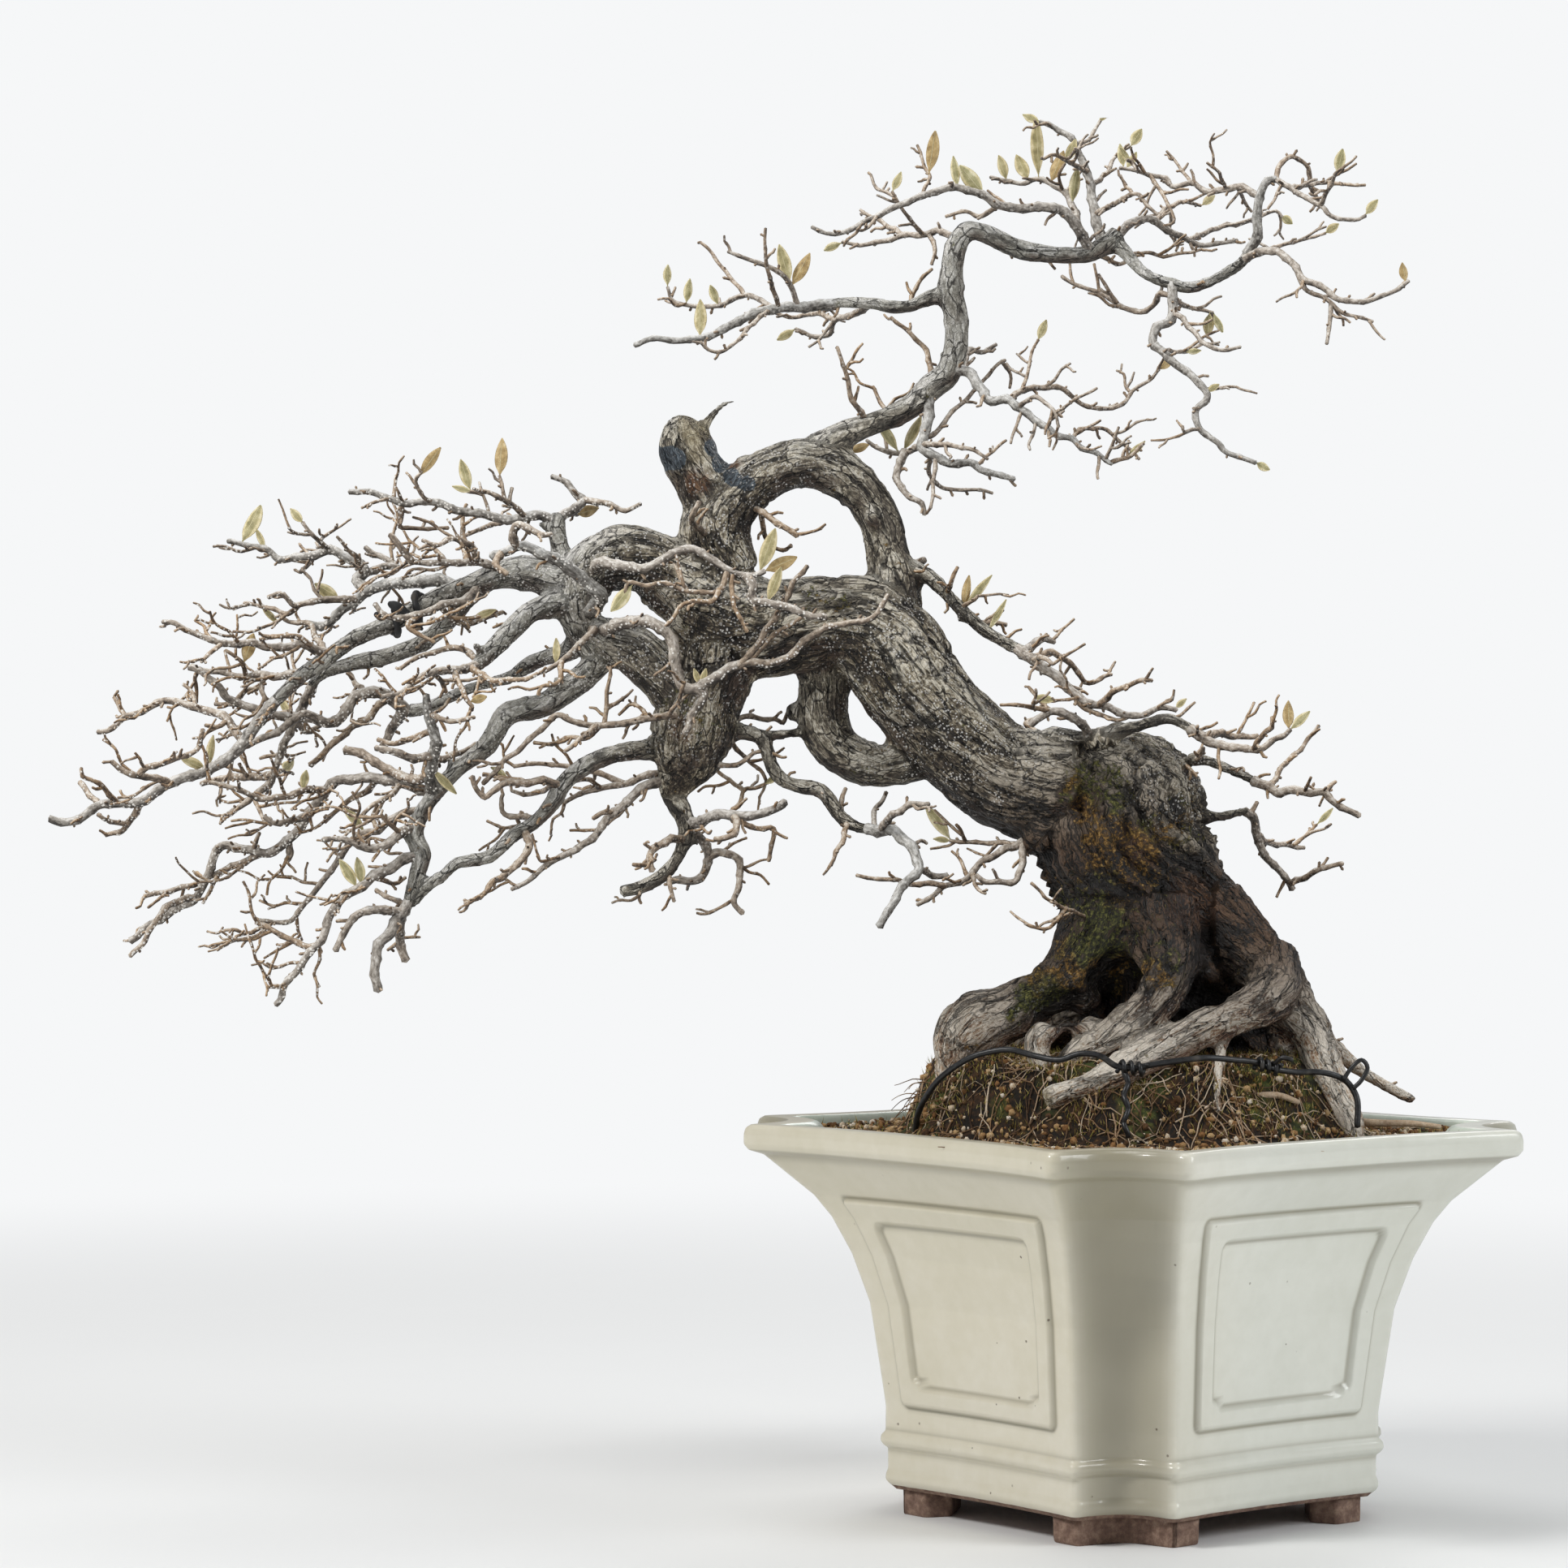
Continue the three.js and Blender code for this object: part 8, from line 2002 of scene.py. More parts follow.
    def _stubs(self, limbs: dict[str, list[list[float]]]) -> list[Array]:
        """Return short cut stubs at seeded places on the limbs of middling girth.

        Args:
            limbs: Rows along each limb, by name.

        Returns:
            Rows of place and radius along each stub.
        """
        stubs, draw = [], Draws(Seed.STUBS)
        for line in limbs.values():
            stops = curve(self.sight.seen(np.array(line, float)), 4.0)
            gone = travelled(stops[:, :3])
            along, side, up = carried(stops[:, :3])
            at = draw.between(6, self.stub_spacing)
            while at < gone[-1] - 5:
                i = int(np.searchsorted(gone, at))
                at += self.stub_spacing * draw.between(0.5, 1.5)
                turn, size, lean = draw.between(0, 2 * math.pi), draw(), draw.between(0.1, 0.9)
                girth = stops[i, 3]
                if not 3.5 < girth < 17 or stops[i, 2] < 300:
                    continue
                out = side[i] * math.cos(turn) + up[i] * math.sin(turn)
                heading = unit(out + along[i] * lean)
                thick = (0.2 + 0.22 * size) * girth + 0.5
                reach = girth * 0.95 + 1.5 + 5.5 * size * size
                tip = stops[i, :3] + heading * reach
                if (tip > LOW + 4).all() and (tip < HIGH - 4).all():
                    root = [*stops[i, :3], thick * 1.2]
                    stubs.append(np.array([root, [*(stops[i, :3] + heading * reach * 0.6), thick],
                                           [*tip, thick * 0.85]]))
        return stubs

    def _middles(self, limbs: dict[str, list[list[float]]]) -> tuple[Array, Array, Array, Array]:
        """Return samples along all limbs, and their frames.

        Args:
            limbs: Rows along each limb, by name.

        Returns:
            Rows of the place, the radius, the length, the largest radius near by and how far the
            grain has wound round the limb, in radians; then side, up and along at every row.
        """
        rows, sides, ups, alongs = [], [], [], []
        for i, (name, line) in enumerate(limbs.items()):
            stops = curve(self.sight.seen(np.array(line, float)), 3.0)
            along, side, up = carried(stops[:, :3])
            hand = np.sign((np.cross(side, up) * along).sum(axis=1))
            rate = self.butt_twist if name == "butt" else self.limb_twist
            length = travelled(stops[:, :3]) + 137.0 * i
            wide = [stops[np.abs(length - at) < self.near_by, 3].max() for at in length]
            rows.append(np.column_stack([stops, length, wide, -hand * rate * length]))
            sides.append(side)
            ups.append(up)
            alongs.append(along)
        return tuple(np.concatenate(part) for part in (rows, sides, ups, alongs))

    def _patched(self, places: Array, patches: Iterable[Patch], ruffle: Array) -> Array:
        """Return the strongest of the patches at places.

        A patch eases from its amount, within 0.55 of its reach, to 0 past 1.25 of it.

        Args:
            places: Places on the skin.
            patches: The patches.
            ruffle: How far a patch's edge is moved, in 0.45 of its reach.

        Returns:
            One number for every place.
        """
        depth = 1 + places[:, 1] / self.sight.distance
        x = self.sight.x + (places[:, 0] - self.sight.x) / depth
        z = self.sight.z + (places[:, 2] - self.sight.z) / depth
        total = np.zeros(len(places))
        for patch in patches:
            off = np.hypot(x - patch.x, z - patch.z) + 0.45 * patch.reach * ruffle
            near = 1 - eased(0.55 * patch.reach, 1.25 * patch.reach, off)
            if patch.front:
                near = near * (1 - eased(0, 24, places[:, 1]))
            total = np.maximum(total, near * patch.amount)
        return total

    @staticmethod
    def _read(mesh: bpy.types.Mesh) -> tuple[Array, Array]:
        """Read a mesh.

        Args:
            mesh: The mesh.

        Returns:
            Its places, in millimetres from the pot's axis, and its normals.
        """
        count = len(mesh.vertices)
        flat, lean = np.empty(count * 3, np.float32), np.empty(count * 3, np.float32)
        mesh.vertices.foreach_get("co", flat)
        mesh.vertex_normals.foreach_get("vector", lean)
        places = (flat.reshape(-1, 3).astype(float) - (AXIS_X, 0, 0)) * 1000
        return places, lean.reshape(-1, 3).astype(float)

    def _grained(self, places: Array, normals: Array) -> tuple[Array, Array, Array]:
        """Return the grain that the pattern follows.

        Each place belongs to the limb whose surface it is furthest out of. The grain is its two
        offsets from that limb's middle, wound round it by the twist, and the length along it.

        Args:
            places: Places on the skin.
            normals: Their normals.

        Returns:
            The grain, the limb's girth there, and 1 on its flanks but less on its ends.
        """
        rows, sides, ups, alongs = self._middles(LIMBS)
        owner = np.empty(len(places), int)
        for begin in range(0, len(places), self.batch):
            part = places[begin:begin + self.batch]
            off = np.linalg.norm(part[:, None] - rows[None, :, :3], axis=2) - rows[None, :, 3]
            owner[begin:begin + self.batch] = off.argmin(axis=1)
        from_middle = places - rows[owner, :3]
        a = (from_middle * sides[owner]).sum(axis=1)
        b = (from_middle * ups[owner]).sum(axis=1)
        length = rows[owner, 4] + (from_middle * alongs[owner]).sum(axis=1)
        girth, turn = rows[owner, 5], rows[owner, 6]
        a, b = (a * np.cos(turn) + b * np.sin(turn), b * np.cos(turn) - a * np.sin(turn))
        flank = 1 - 0.8 * eased(0.45, 0.9, np.abs((normals * alongs[owner]).sum(axis=1)))
        return np.column_stack([a, b, length]), girth, flank

    def _marked(self, places: Array, grain: Array, girth: Array, flank: Array) -> Marks:
        """Return the bark's marks: ridges, furrows, cracks between plates, rings and hollows.

        Ridges are 1.5 and 0.4 times two ridged noises, less 0.5. A crack is where the gap between
        two plates is under 0.14, and a furrow where a ridged noise is over 0.55. A ring is
        exp(-(off / width)^2) about every spacing of the length.

        Args:
            places: Places on the skin.
            grain: Their grain.
            girth: The limb's girth there.
            flank: 1 on the limb's flanks.

        Returns:
            The marks.
        """
        count = len(places)
        stout, thin = eased(6, 20, girth), 1 - eased(9, 18, girth)
        noise, other = Noise(Seed.BARK), Noise(Seed.BARK_ZONES)
        wander = np.column_stack([noise.layered(grain / 8 + k * 31, 3) for k in range(3)])
        low = 1 - eased(210, 288, places[:, 2])
        root = low * (1 - eased(20, 34, girth)) * (1 - 0.45 * eased(15, 45, places[:, 1]))
        size = 0.55 + 0.45 * stout
        gap, tone = noise.plates((grain + 3.6 * wander) / (np.array(self.plate_size) * size[:, None]))
        broken = 0.25 + 0.75 * eased(-0.5, 0.2, other.layered(places / 19 + 5, 2))
        crack_and_shade = (1 - eased(0.0, 0.14, gap)) * (0.3 + 0.7 * stout) * (1 - 0.4 * root) * broken
        drawn = (grain + 2.0 * wander) / np.array(self.ridge_size)
        ridges = 1.5 * noise.ridged(drawn, 1) + 0.4 * noise.ridged(2 * drawn + 9, 1) - 0.5
        old = eased(24, 42, girth) * (1 - 0.5 * root)
        furrow = eased(0.4, 0.55, other.ridged((grain + 2.6 * wander) / self.furrow_size, 1))
        furrow = furrow * (0.12 + 0.88 * old) * stout * (0.4 + 0.6 * broken)
        turn = grain[:, 2] / self.ring_spacing + 0.5 * noise.layered(grain / 30, 1)
        near = np.exp(-((turn - np.round(turn)) * self.ring_spacing / self.ring_width) ** 2)
        order = np.column_stack([np.round(turn), 0 * turn, 0 * turn]) * 3.7
        ring = near * eased(-0.3, 0.5, noise.layered(order, 1))
        ruffle = other.layered(places / 11, 3)
        pits = [(self._patched(places, [Patch(pit.x, pit.z, pit.reach)], ruffle), pit.amount)
                for pit in self.hollows]
        furrow, crack_and_shade = furrow * flank, crack_and_shade * flank
        relief = (self.ridge_depth * (0.3 + 0.7 * eased(24, 44, girth)) * stout * (1 + 0.6 * old)
                  * ridges * flank - (0.8 + self.furrow_depth * old) * furrow)
        swell = noise.smooth((grain + 5 * wander) / self.swell_size)
        relief += self.swell_depth * old * swell * flank
        relief += girth * (0.05 + 0.06 * thin) * other.layered(places / 16, 3)
        relief += girth * 0.1 * thin * ring
        relief -= self.plate_depth * crack_and_shade * (0.3 + 0.7 * stout)
        relief += (0.3 + 1.0 * stout) * (tone - 0.5)
        relief += 0.3 * noise.layered(grain / np.array(self.speckle_size), 2) * (0.4 + 0.6 * stout)
        hollow = np.zeros(count)
        for deep, amount in pits:
            relief -= deep * amount
            hollow = np.maximum(hollow, deep)
        # Painted shade: cracks, furrows and hollows are darkened by how deep they lie; rings on thin
        # limbs darken as marks of their own.
        dark = np.maximum(crack_and_shade, 0.95 * furrow) + 0.9 * hollow + 0.4 * ring * thin
        # Painted highlight and shade: ridge tops and raised plates get a higher lift, which the finish
        # paints paler, and furrows a lower one, painted darker.
        lift = 0.5 + (0.9 * (ridges + 0.13) + 0.4 * (tone - 0.5) - 0.35 * furrow) * (0.3 + 0.7 * stout)
        return Marks(relief, np.clip(dark, 0, 1), np.clip(lift, 0, 1), root, stout, ruffle)

    @staticmethod
    def _evened(mesh: bpy.types.Mesh, relief: Array, share: float) -> Array:
        """Even the relief: each place moves by a share towards the mean of its neighbours.

        Args:
            mesh: The mesh, whose edges say which places are neighbours.
            relief: How far each place stands out.
            share: The share.

        Returns:
            The evened relief.
        """
        count = len(relief)
        pairs = np.empty(len(mesh.edges) * 2, np.int32)
        mesh.edges.foreach_get("vertices", pairs)
        ends, starts = pairs[0::2], pairs[1::2]
        near = np.bincount(ends, relief[starts], count) + np.bincount(starts, relief[ends], count)
        shared = np.bincount(ends, minlength=count) + np.bincount(starts, minlength=count)
        return (1 - share) * relief + share * near / np.maximum(shared, 1)

    def _values(self, places: Array, sky: Array, marks: Marks) -> dict[str, Array]:
        """Return the values that the bark's finish reads.

        Args:
            places: Places on the dressed skin.
            sky: How far each faces the way that the light comes from.
            marks: The bark's marks.

        Returns:
            One number for every place, by name.
        """
        high = eased(530, 590, places[:, 2])
        left = eased(-240, -300, places[:, 0])
        silver_and_lit_tops = np.maximum(high * (1 - 0.35 * marks.stout), left) + 0.35 * (1 - marks.stout)
        silver_and_lit_tops = np.clip(silver_and_lit_tops, 0, 1)
        # On the upper limbs, faces towards the light turn more silver and so paler: painted highlight
        # over the silver bark of the high and left limbs.
        silver_and_lit_tops = np.clip(silver_and_lit_tops + 0.3 * eased(0.2, 0.9, sky) * eased(330, 420, places[:, 2]), 0, 1)
        crest = eased(2, 28, places[:, 0]) * eased(312, 340, places[:, 2])
        damp = eased(400, 320, places[:, 2]) * eased(-150, -60, places[:, 0]) * (1 - marks.root)
        ruffle = marks.ruffle
        return {
            "crack_and_shade": marks.dark, "sky": sky, "lift": marks.lift, "silver_and_lit_tops": silver_and_lit_tops,
            "moss": self._patched(places, self.moss, ruffle) * eased(-0.9, 0.2, ruffle + sky),
            "damp": damp * (1 - 0.7 * crest),
            "speck": np.maximum(self._patched(places, self.specks, ruffle), 0.4 * marks.root),
            "bare": self._patched(places, self.bares, ruffle),
            "rust": self._patched(places, self.rusts, ruffle),
            "wound": self._patched(places, self.wounds, ruffle), "pink": marks.root * 0.9,
        }

    @staticmethod
    def _faces(mesh: bpy.types.Mesh) -> list[Array]:
        """Return a mesh's triangles and its quads.

        Args:
            mesh: The mesh.

        Returns:
            An array for each kind that it has.
        """
        sizes = np.empty(len(mesh.polygons), np.int32)
        mesh.polygons.foreach_get("loop_total", sizes)
        corners = np.empty(len(mesh.loops), np.int32)
        mesh.loops.foreach_get("vertex_index", corners)
        starts = np.cumsum(sizes) - sizes
        faces = [corners[starts[sizes == n][:, None] + np.arange(n)] for n in (3, 4)]
        return [part for part in faces if len(part)]

    def dress(self, mesh: bpy.types.Mesh) -> Shell:
        """Return the skin with its relief and its values: place plus relief x normal.

        Args:
            mesh: The smooth skin, in metres, which is used up.

        Returns:
            The skin, in millimetres.
        """
        places, normals = self._read(mesh)
        grain, girth, flank = self._grained(places, normals)
        marks = self._marked(places, grain, girth, flank)
        places = places + normals * self._evened(mesh, marks.relief, self.evening)[:, None]
        values = self._values(places, normals @ LIGHT_FROM, marks)
        shell = Shell()
        shell.add(places, self._faces(mesh), 0, grain=grain / 1000, **values)
        bpy.data.meshes.remove(mesh)
        return shell

    def build(self, layout: Layout, bark: bpy.types.Material, twig: bpy.types.Material,
              leaf: bpy.types.Material) -> None:
        """Make the trunk, with its own twigs and leaves.

        Args:
            layout: Where its twigs and leaves lie.
            bark: Finish of the skin.
            twig: Finish of the twigs.
            leaf: Finish of the leaves.
        """
        shell = self.dress(self.skin(LIMBS))
        for name in ("tone", "dry"):
            shell.values[name] = [np.zeros(shell.count)]
        foliage = Foliage(layout, {name: 0.0 for name in (
            "crack_and_shade", "moss", "damp", "silver_and_lit_tops", "rust", "wound", "pink", "lift", "bare")}, 1)
        foliage.add(shell, "trunk")
        shell.build("trunk_and_roots", [bark, twig, leaf], "bark", "trunk")


@dataclass
class Foliage:
    """Makes twigs, side shoots, buds and leaves in a mesh.

    Sprays are told apart by how their names start. Shoots are the longest one's length and the
    length of twig to one shoot, and a shoot past the branching length carries its own.
    """

    layout: Layout
    extra: dict[str, float] = field(default_factory=dict)
    first_slot: int = 0
    joint_spacing: float = 8.0
    sparse_shoots: tuple[float, float] = (17, 15.0)
    dense_shoots: tuple[float, float] = (32, 15.0 * 0.62)
    opening: float = 2.2
    branching: float = 15.0
    stoutest: float = 5.5
    dense: tuple[str, ...] = ("left",)
    open: tuple[str, ...] = ("front", "under")
    greyer: tuple[str, ...] = ("crown", "under", "left_top", "post")
    specked: tuple[str, ...] = ("front", "left", "post", "stem")

    def _dressed(self, stops: Array, draw: Draws, step: float) -> Array:
        """Return rows on a twig with joints, each a little thicker, and a slight zigzag.

        The radius grows by 22% x exp(-(off / 1.1 mm)^2) at a joint, and the twig leans to either
        side in turn by a triangle wave of the joints' spacing.

        Args:
            stops: The twig's places and radii.
            draw: Where the random numbers come from.
            step: Length between rows, about.

        Returns:
            Rows of place and radius.
        """
        rows = curve(stops, step)
        gone = travelled(rows[:, :3])
        spacing = self.joint_spacing * draw.between(0.8, 1.25)
        phase = draw.between(0, spacing)
        turn = (gone + phase) / spacing
        off = (turn - np.round(turn)) * spacing
        rows[:, 3] = np.maximum(rows[:, 3], 0.45) * (1 + 0.22 * np.exp(-(off / 1.1) ** 2))
        _, side, up = carried(rows[:, :3])
        sway = np.abs(turn % 2 - 1) - 0.5
        fade = np.minimum(gone / 6, 1)[:, None]
        lean = draw.between(0, 2 * math.pi)
        out = side * math.cos(lean) + up * math.sin(lean)
        rows[:, :3] += out * (sway * np.minimum(0.55 * rows[:, 3] + 0.25, 1.1))[:, None] * fade
        return rows

    def _buds(self, shell: Shell, rows: Array, draw: Draws, share: float) -> None:
        """Add short spurs and buds beside the joints of a twig, none of them out of the box.

        Args:
            shell: The mesh that they are added to.
            rows: Rows of place and radius along the twig.
            draw: Where the random numbers come from.
            share: Share of the places that has one.
        """
        gone = travelled(rows[:, :3])
        along, side, up = carried(rows[:, :3])
        at = draw.between(2, 8)
        while at < gone[-1] - 1:
            i = int(np.searchsorted(gone, at))
            turn, size, pick = draw.between(0, FULL_TURN), draw(), draw()
            if pick < share:
                out = side[i] * math.cos(turn) + up[i] * math.sin(turn)
                heading = unit(out + along[i] * draw.between(0.2, 0.9))
                reach = rows[i, 3] + 1.2 + 2.6 * size * size
                root = rows[i, :3]
                thick = 0.55 + 0.25 * size
                tip = root + heading * (reach + thick)
                if (tip < LOW + 1).any() or (tip > HIGH - 1).any():
                    reach = rows[i, 3]
                bud = np.array([[*root, thick], [*(root + heading * reach * 0.6), thick * 0.95],
                                [*(root + heading * reach * 0.85), thick * 1.15],
                                [*(root + heading * reach), thick * 0.5]])
                shell.tube(bud, 5, slot=self.first_slot, tip=0.8, shift=13 * at, **self._values(0.25))
            at += draw.between(4.5, 10.5)

    def _values(self, tone: float, dry: float = 0.0, speck: float = 0.0) -> dict[str, float]:
        """Return the values that every part of the mesh has."""
        return {"tone": tone, "dry": dry, "speck": speck, **self.extra}

    def _leaf(self, shell: Shell, blade: Blade, draw: Draws) -> None:
        """Add a leaf: a flat tube whose half width is sin(pi u^0.9)^0.7, folded along its rib.

        Across the blade v goes from -1 to 1. The fold lifts a place by 0.16 x width x |v|, the tip
        curls by u^2 and the margin waves a little.

        Args:
            shell: The mesh that it is added to.
            blade: Where it grows.
            draw: Where the random numbers come from.
        """
        along = unit(blade.tip - blade.root)
        length = float(np.linalg.norm(blade.tip - blade.root))
        side = unit(np.cross((0, 1, 0), along))
        side = side * math.cos(blade.roll) + np.cross(along, side) * math.sin(blade.roll)
        face = np.cross(along, side)
        count, sides, stalk = 13, 12, 0.12
        u = np.linspace(0, 1, count)
        turn = 2 * math.pi * np.arange(sides) / sides
        spread = np.sin(np.pi * np.clip((u - stalk) / (1 - stalk), 0, 1) ** 0.9).clip(0) ** 0.7
        half = np.maximum(0.5 * blade.width * 1.12 * spread, 0.35)
        v = np.cos(turn)
        wave = 0.05 * blade.width * np.sin(5 * u + 3 * draw())[:, None] * v[None]
        fold = 0.16 * 2 * half[:, None] * np.abs(v)[None]
        curl = draw.between(-0.05, 0.1) * length * u[:, None] ** 2
        thick = np.where(u < stalk, 0.35, 0.22)[:, None] * np.sin(turn)[None]
        lift = fold + wave + curl + thick
        places = (blade.root + along * (u * length)[:, None, None]
                  + side * (half[:, None] * v)[..., None] + face * lift[..., None])
        grain = np.empty((count, sides, 3))
        grain[..., 0] = v[None]
        grain[..., 1] = draw()
        grain[..., 2] = u[:, None]
        values = self._values(0.0, 0.8 if draw() < 0.16 else 0.25 * draw())
        shell.grid(places, slot=self.first_slot + 1, grain=grain, sky=0.3, **values)

    def _fine_shoots(self, node: str, source: list[Array], draw: Draws, longest: float,
                     spacing: float) -> list[Array]:
        """Return side shoots of three joints at seeded places along twigs, clear of other wood.

        Args:
            node: The node that they belong to.
            source: The twigs that they grow from.
            draw: Where the random numbers come from.
            longest: Length of the longest one, past 5 mm.
            spacing: Length of twig to one shoot, about.

        Returns:
            The stops of each shoot.
        """
        shoots = []
        wood = self.layout.wood
        for stops in source:
            gone = travelled(stops[:, :3])
            at = draw.between(4, spacing)
            while at < gone[-1]:
                i = min(int(np.searchsorted(gone, at)), len(stops) - 1)
                a, b = stops[i - 1], stops[i]
                share = (at - gone[i - 1]) / max(gone[i] - gone[i - 1], 1e-6)
                at += spacing * draw.between(0.5, 1.6)
                turn, lean, size, pick = draw.between(0, 2 * math.pi), draw(), draw(), draw()
                inner = float(eased(-560, -420, a[0]))
                if b[3] > self.stoutest or pick > 0.4 + 0.6 * inner:
                    continue
                along = unit(b[:3] - a[:3])
                out = np.array([math.cos(turn), 0.8 * math.sin(turn), 0.6 * math.sin(turn + 1.3)])
                out = unit(out - along * out.dot(along))
                heading = unit(along * (0.45 + 0.6 * lean) + out)
                reach = 5 + longest * size ** 1.6 * (0.2 + 0.8 * inner)
                root = a[:3] + (b[:3] - a[:3]) * share
                elbow = root + heading * reach * 0.35
                heading = unit(heading + (0, 0, 0.5 * lean - 0.1))
                bend = np.array([draw() - 0.5, draw() - 0.5, draw() - 0.5])
                knee = elbow + unit(heading + 0.7 * bend) * reach * 0.35
                tip = knee + unit(heading - 0.6 * bend) * reach * 0.3
                thick = min(0.95, 0.55 * b[3] + 0.35)
                path = np.array([[*root, thick], [*elbow, thick * 0.9], [*knee, thick * 0.8],
                                 [*tip, thick * 0.7]])
                if (tip < LOW + 3).any() or (tip > HIGH - 3).any():
                    continue
                if wood.is_clear(node, path, root, b[3] + 2.5, 0.25, own=reach > 9):
                    shoots.append(wood.add_stops(node, path))
        return shoots

    def add(self, shell: Shell, node: str) -> None:
        """Add all of a node's twigs and leaves to a mesh.

        Args:
            shell: The mesh.
            node: The node.
        """
        own = self.layout.growth[node]
        draw = Draws.of(node, Seed.FINE_SHOOTS)
        lift = 0.25 if node.startswith(self.greyer) else 0.0
        speck = 1.0 if node.startswith(self.specked) else 0.3
        main = len(own.twigs)
        for i, stops in enumerate(own.twigs + own.shoots + own.fine):
            thick = stops[:, 3].max()
            tone = min(max(0.15 + lift + 0.32 * (thick - 1.1) + 0.3 * (draw() - 0.5), 0), 1)
            rows = self._dressed(stops, draw, 2.2 if i < main else 2.6)
            sides = 7 if thick > 1.6 else 6
            shell.tube(rows, sides, slot=self.first_slot, shift=37 * i, **self._values(tone, 0, speck))
            self._buds(shell, rows, draw, 0.5)
        source = own.twigs + own.shoots + own.fine
        if node == "trunk":
            source = source + [self.layout.sight.seen(line) for name, line in LIMBS.items()
                               if name != "stub_spike"]
        dense = node.startswith(self.dense)
        longest, spacing = self.sparse_shoots
        if dense:
            longest, spacing = self.dense_shoots
        if node.startswith(self.open):
            spacing *= self.opening
        shoots = self._fine_shoots(node, source, draw, longest, spacing)
        long = [stops for stops in shoots if travelled(stops[:, :3])[-1] > self.branching]
        shoots += self._fine_shoots(node, long, draw, 0.5 * longest, spacing)
        for i, stops in enumerate(shoots):
            rows = self._dressed(stops, draw, 2.8)
            tone = min(max(0.1 + lift + 0.4 * (draw() - 0.5), 0), 1)
            shell.tube(rows, 5, slot=self.first_slot, shift=19 * i, **self._values(tone, 0, speck))
        for blade in own.leaves:
            self._leaf(shell, blade, draw)

    def build(self, node: str, twig: bpy.types.Material, leaf: bpy.types.Material) -> None:
        """Make a spray, which stands for its node.

        Args:
            node: The node.
            twig: Finish of the twigs.
            leaf: Finish of the leaves.
        """
        shell = Shell()
        self.add(shell, node)
        shell.build(f"{node.removesuffix('_spray')}_twigs", [twig, leaf], "twig", node)


# The pot

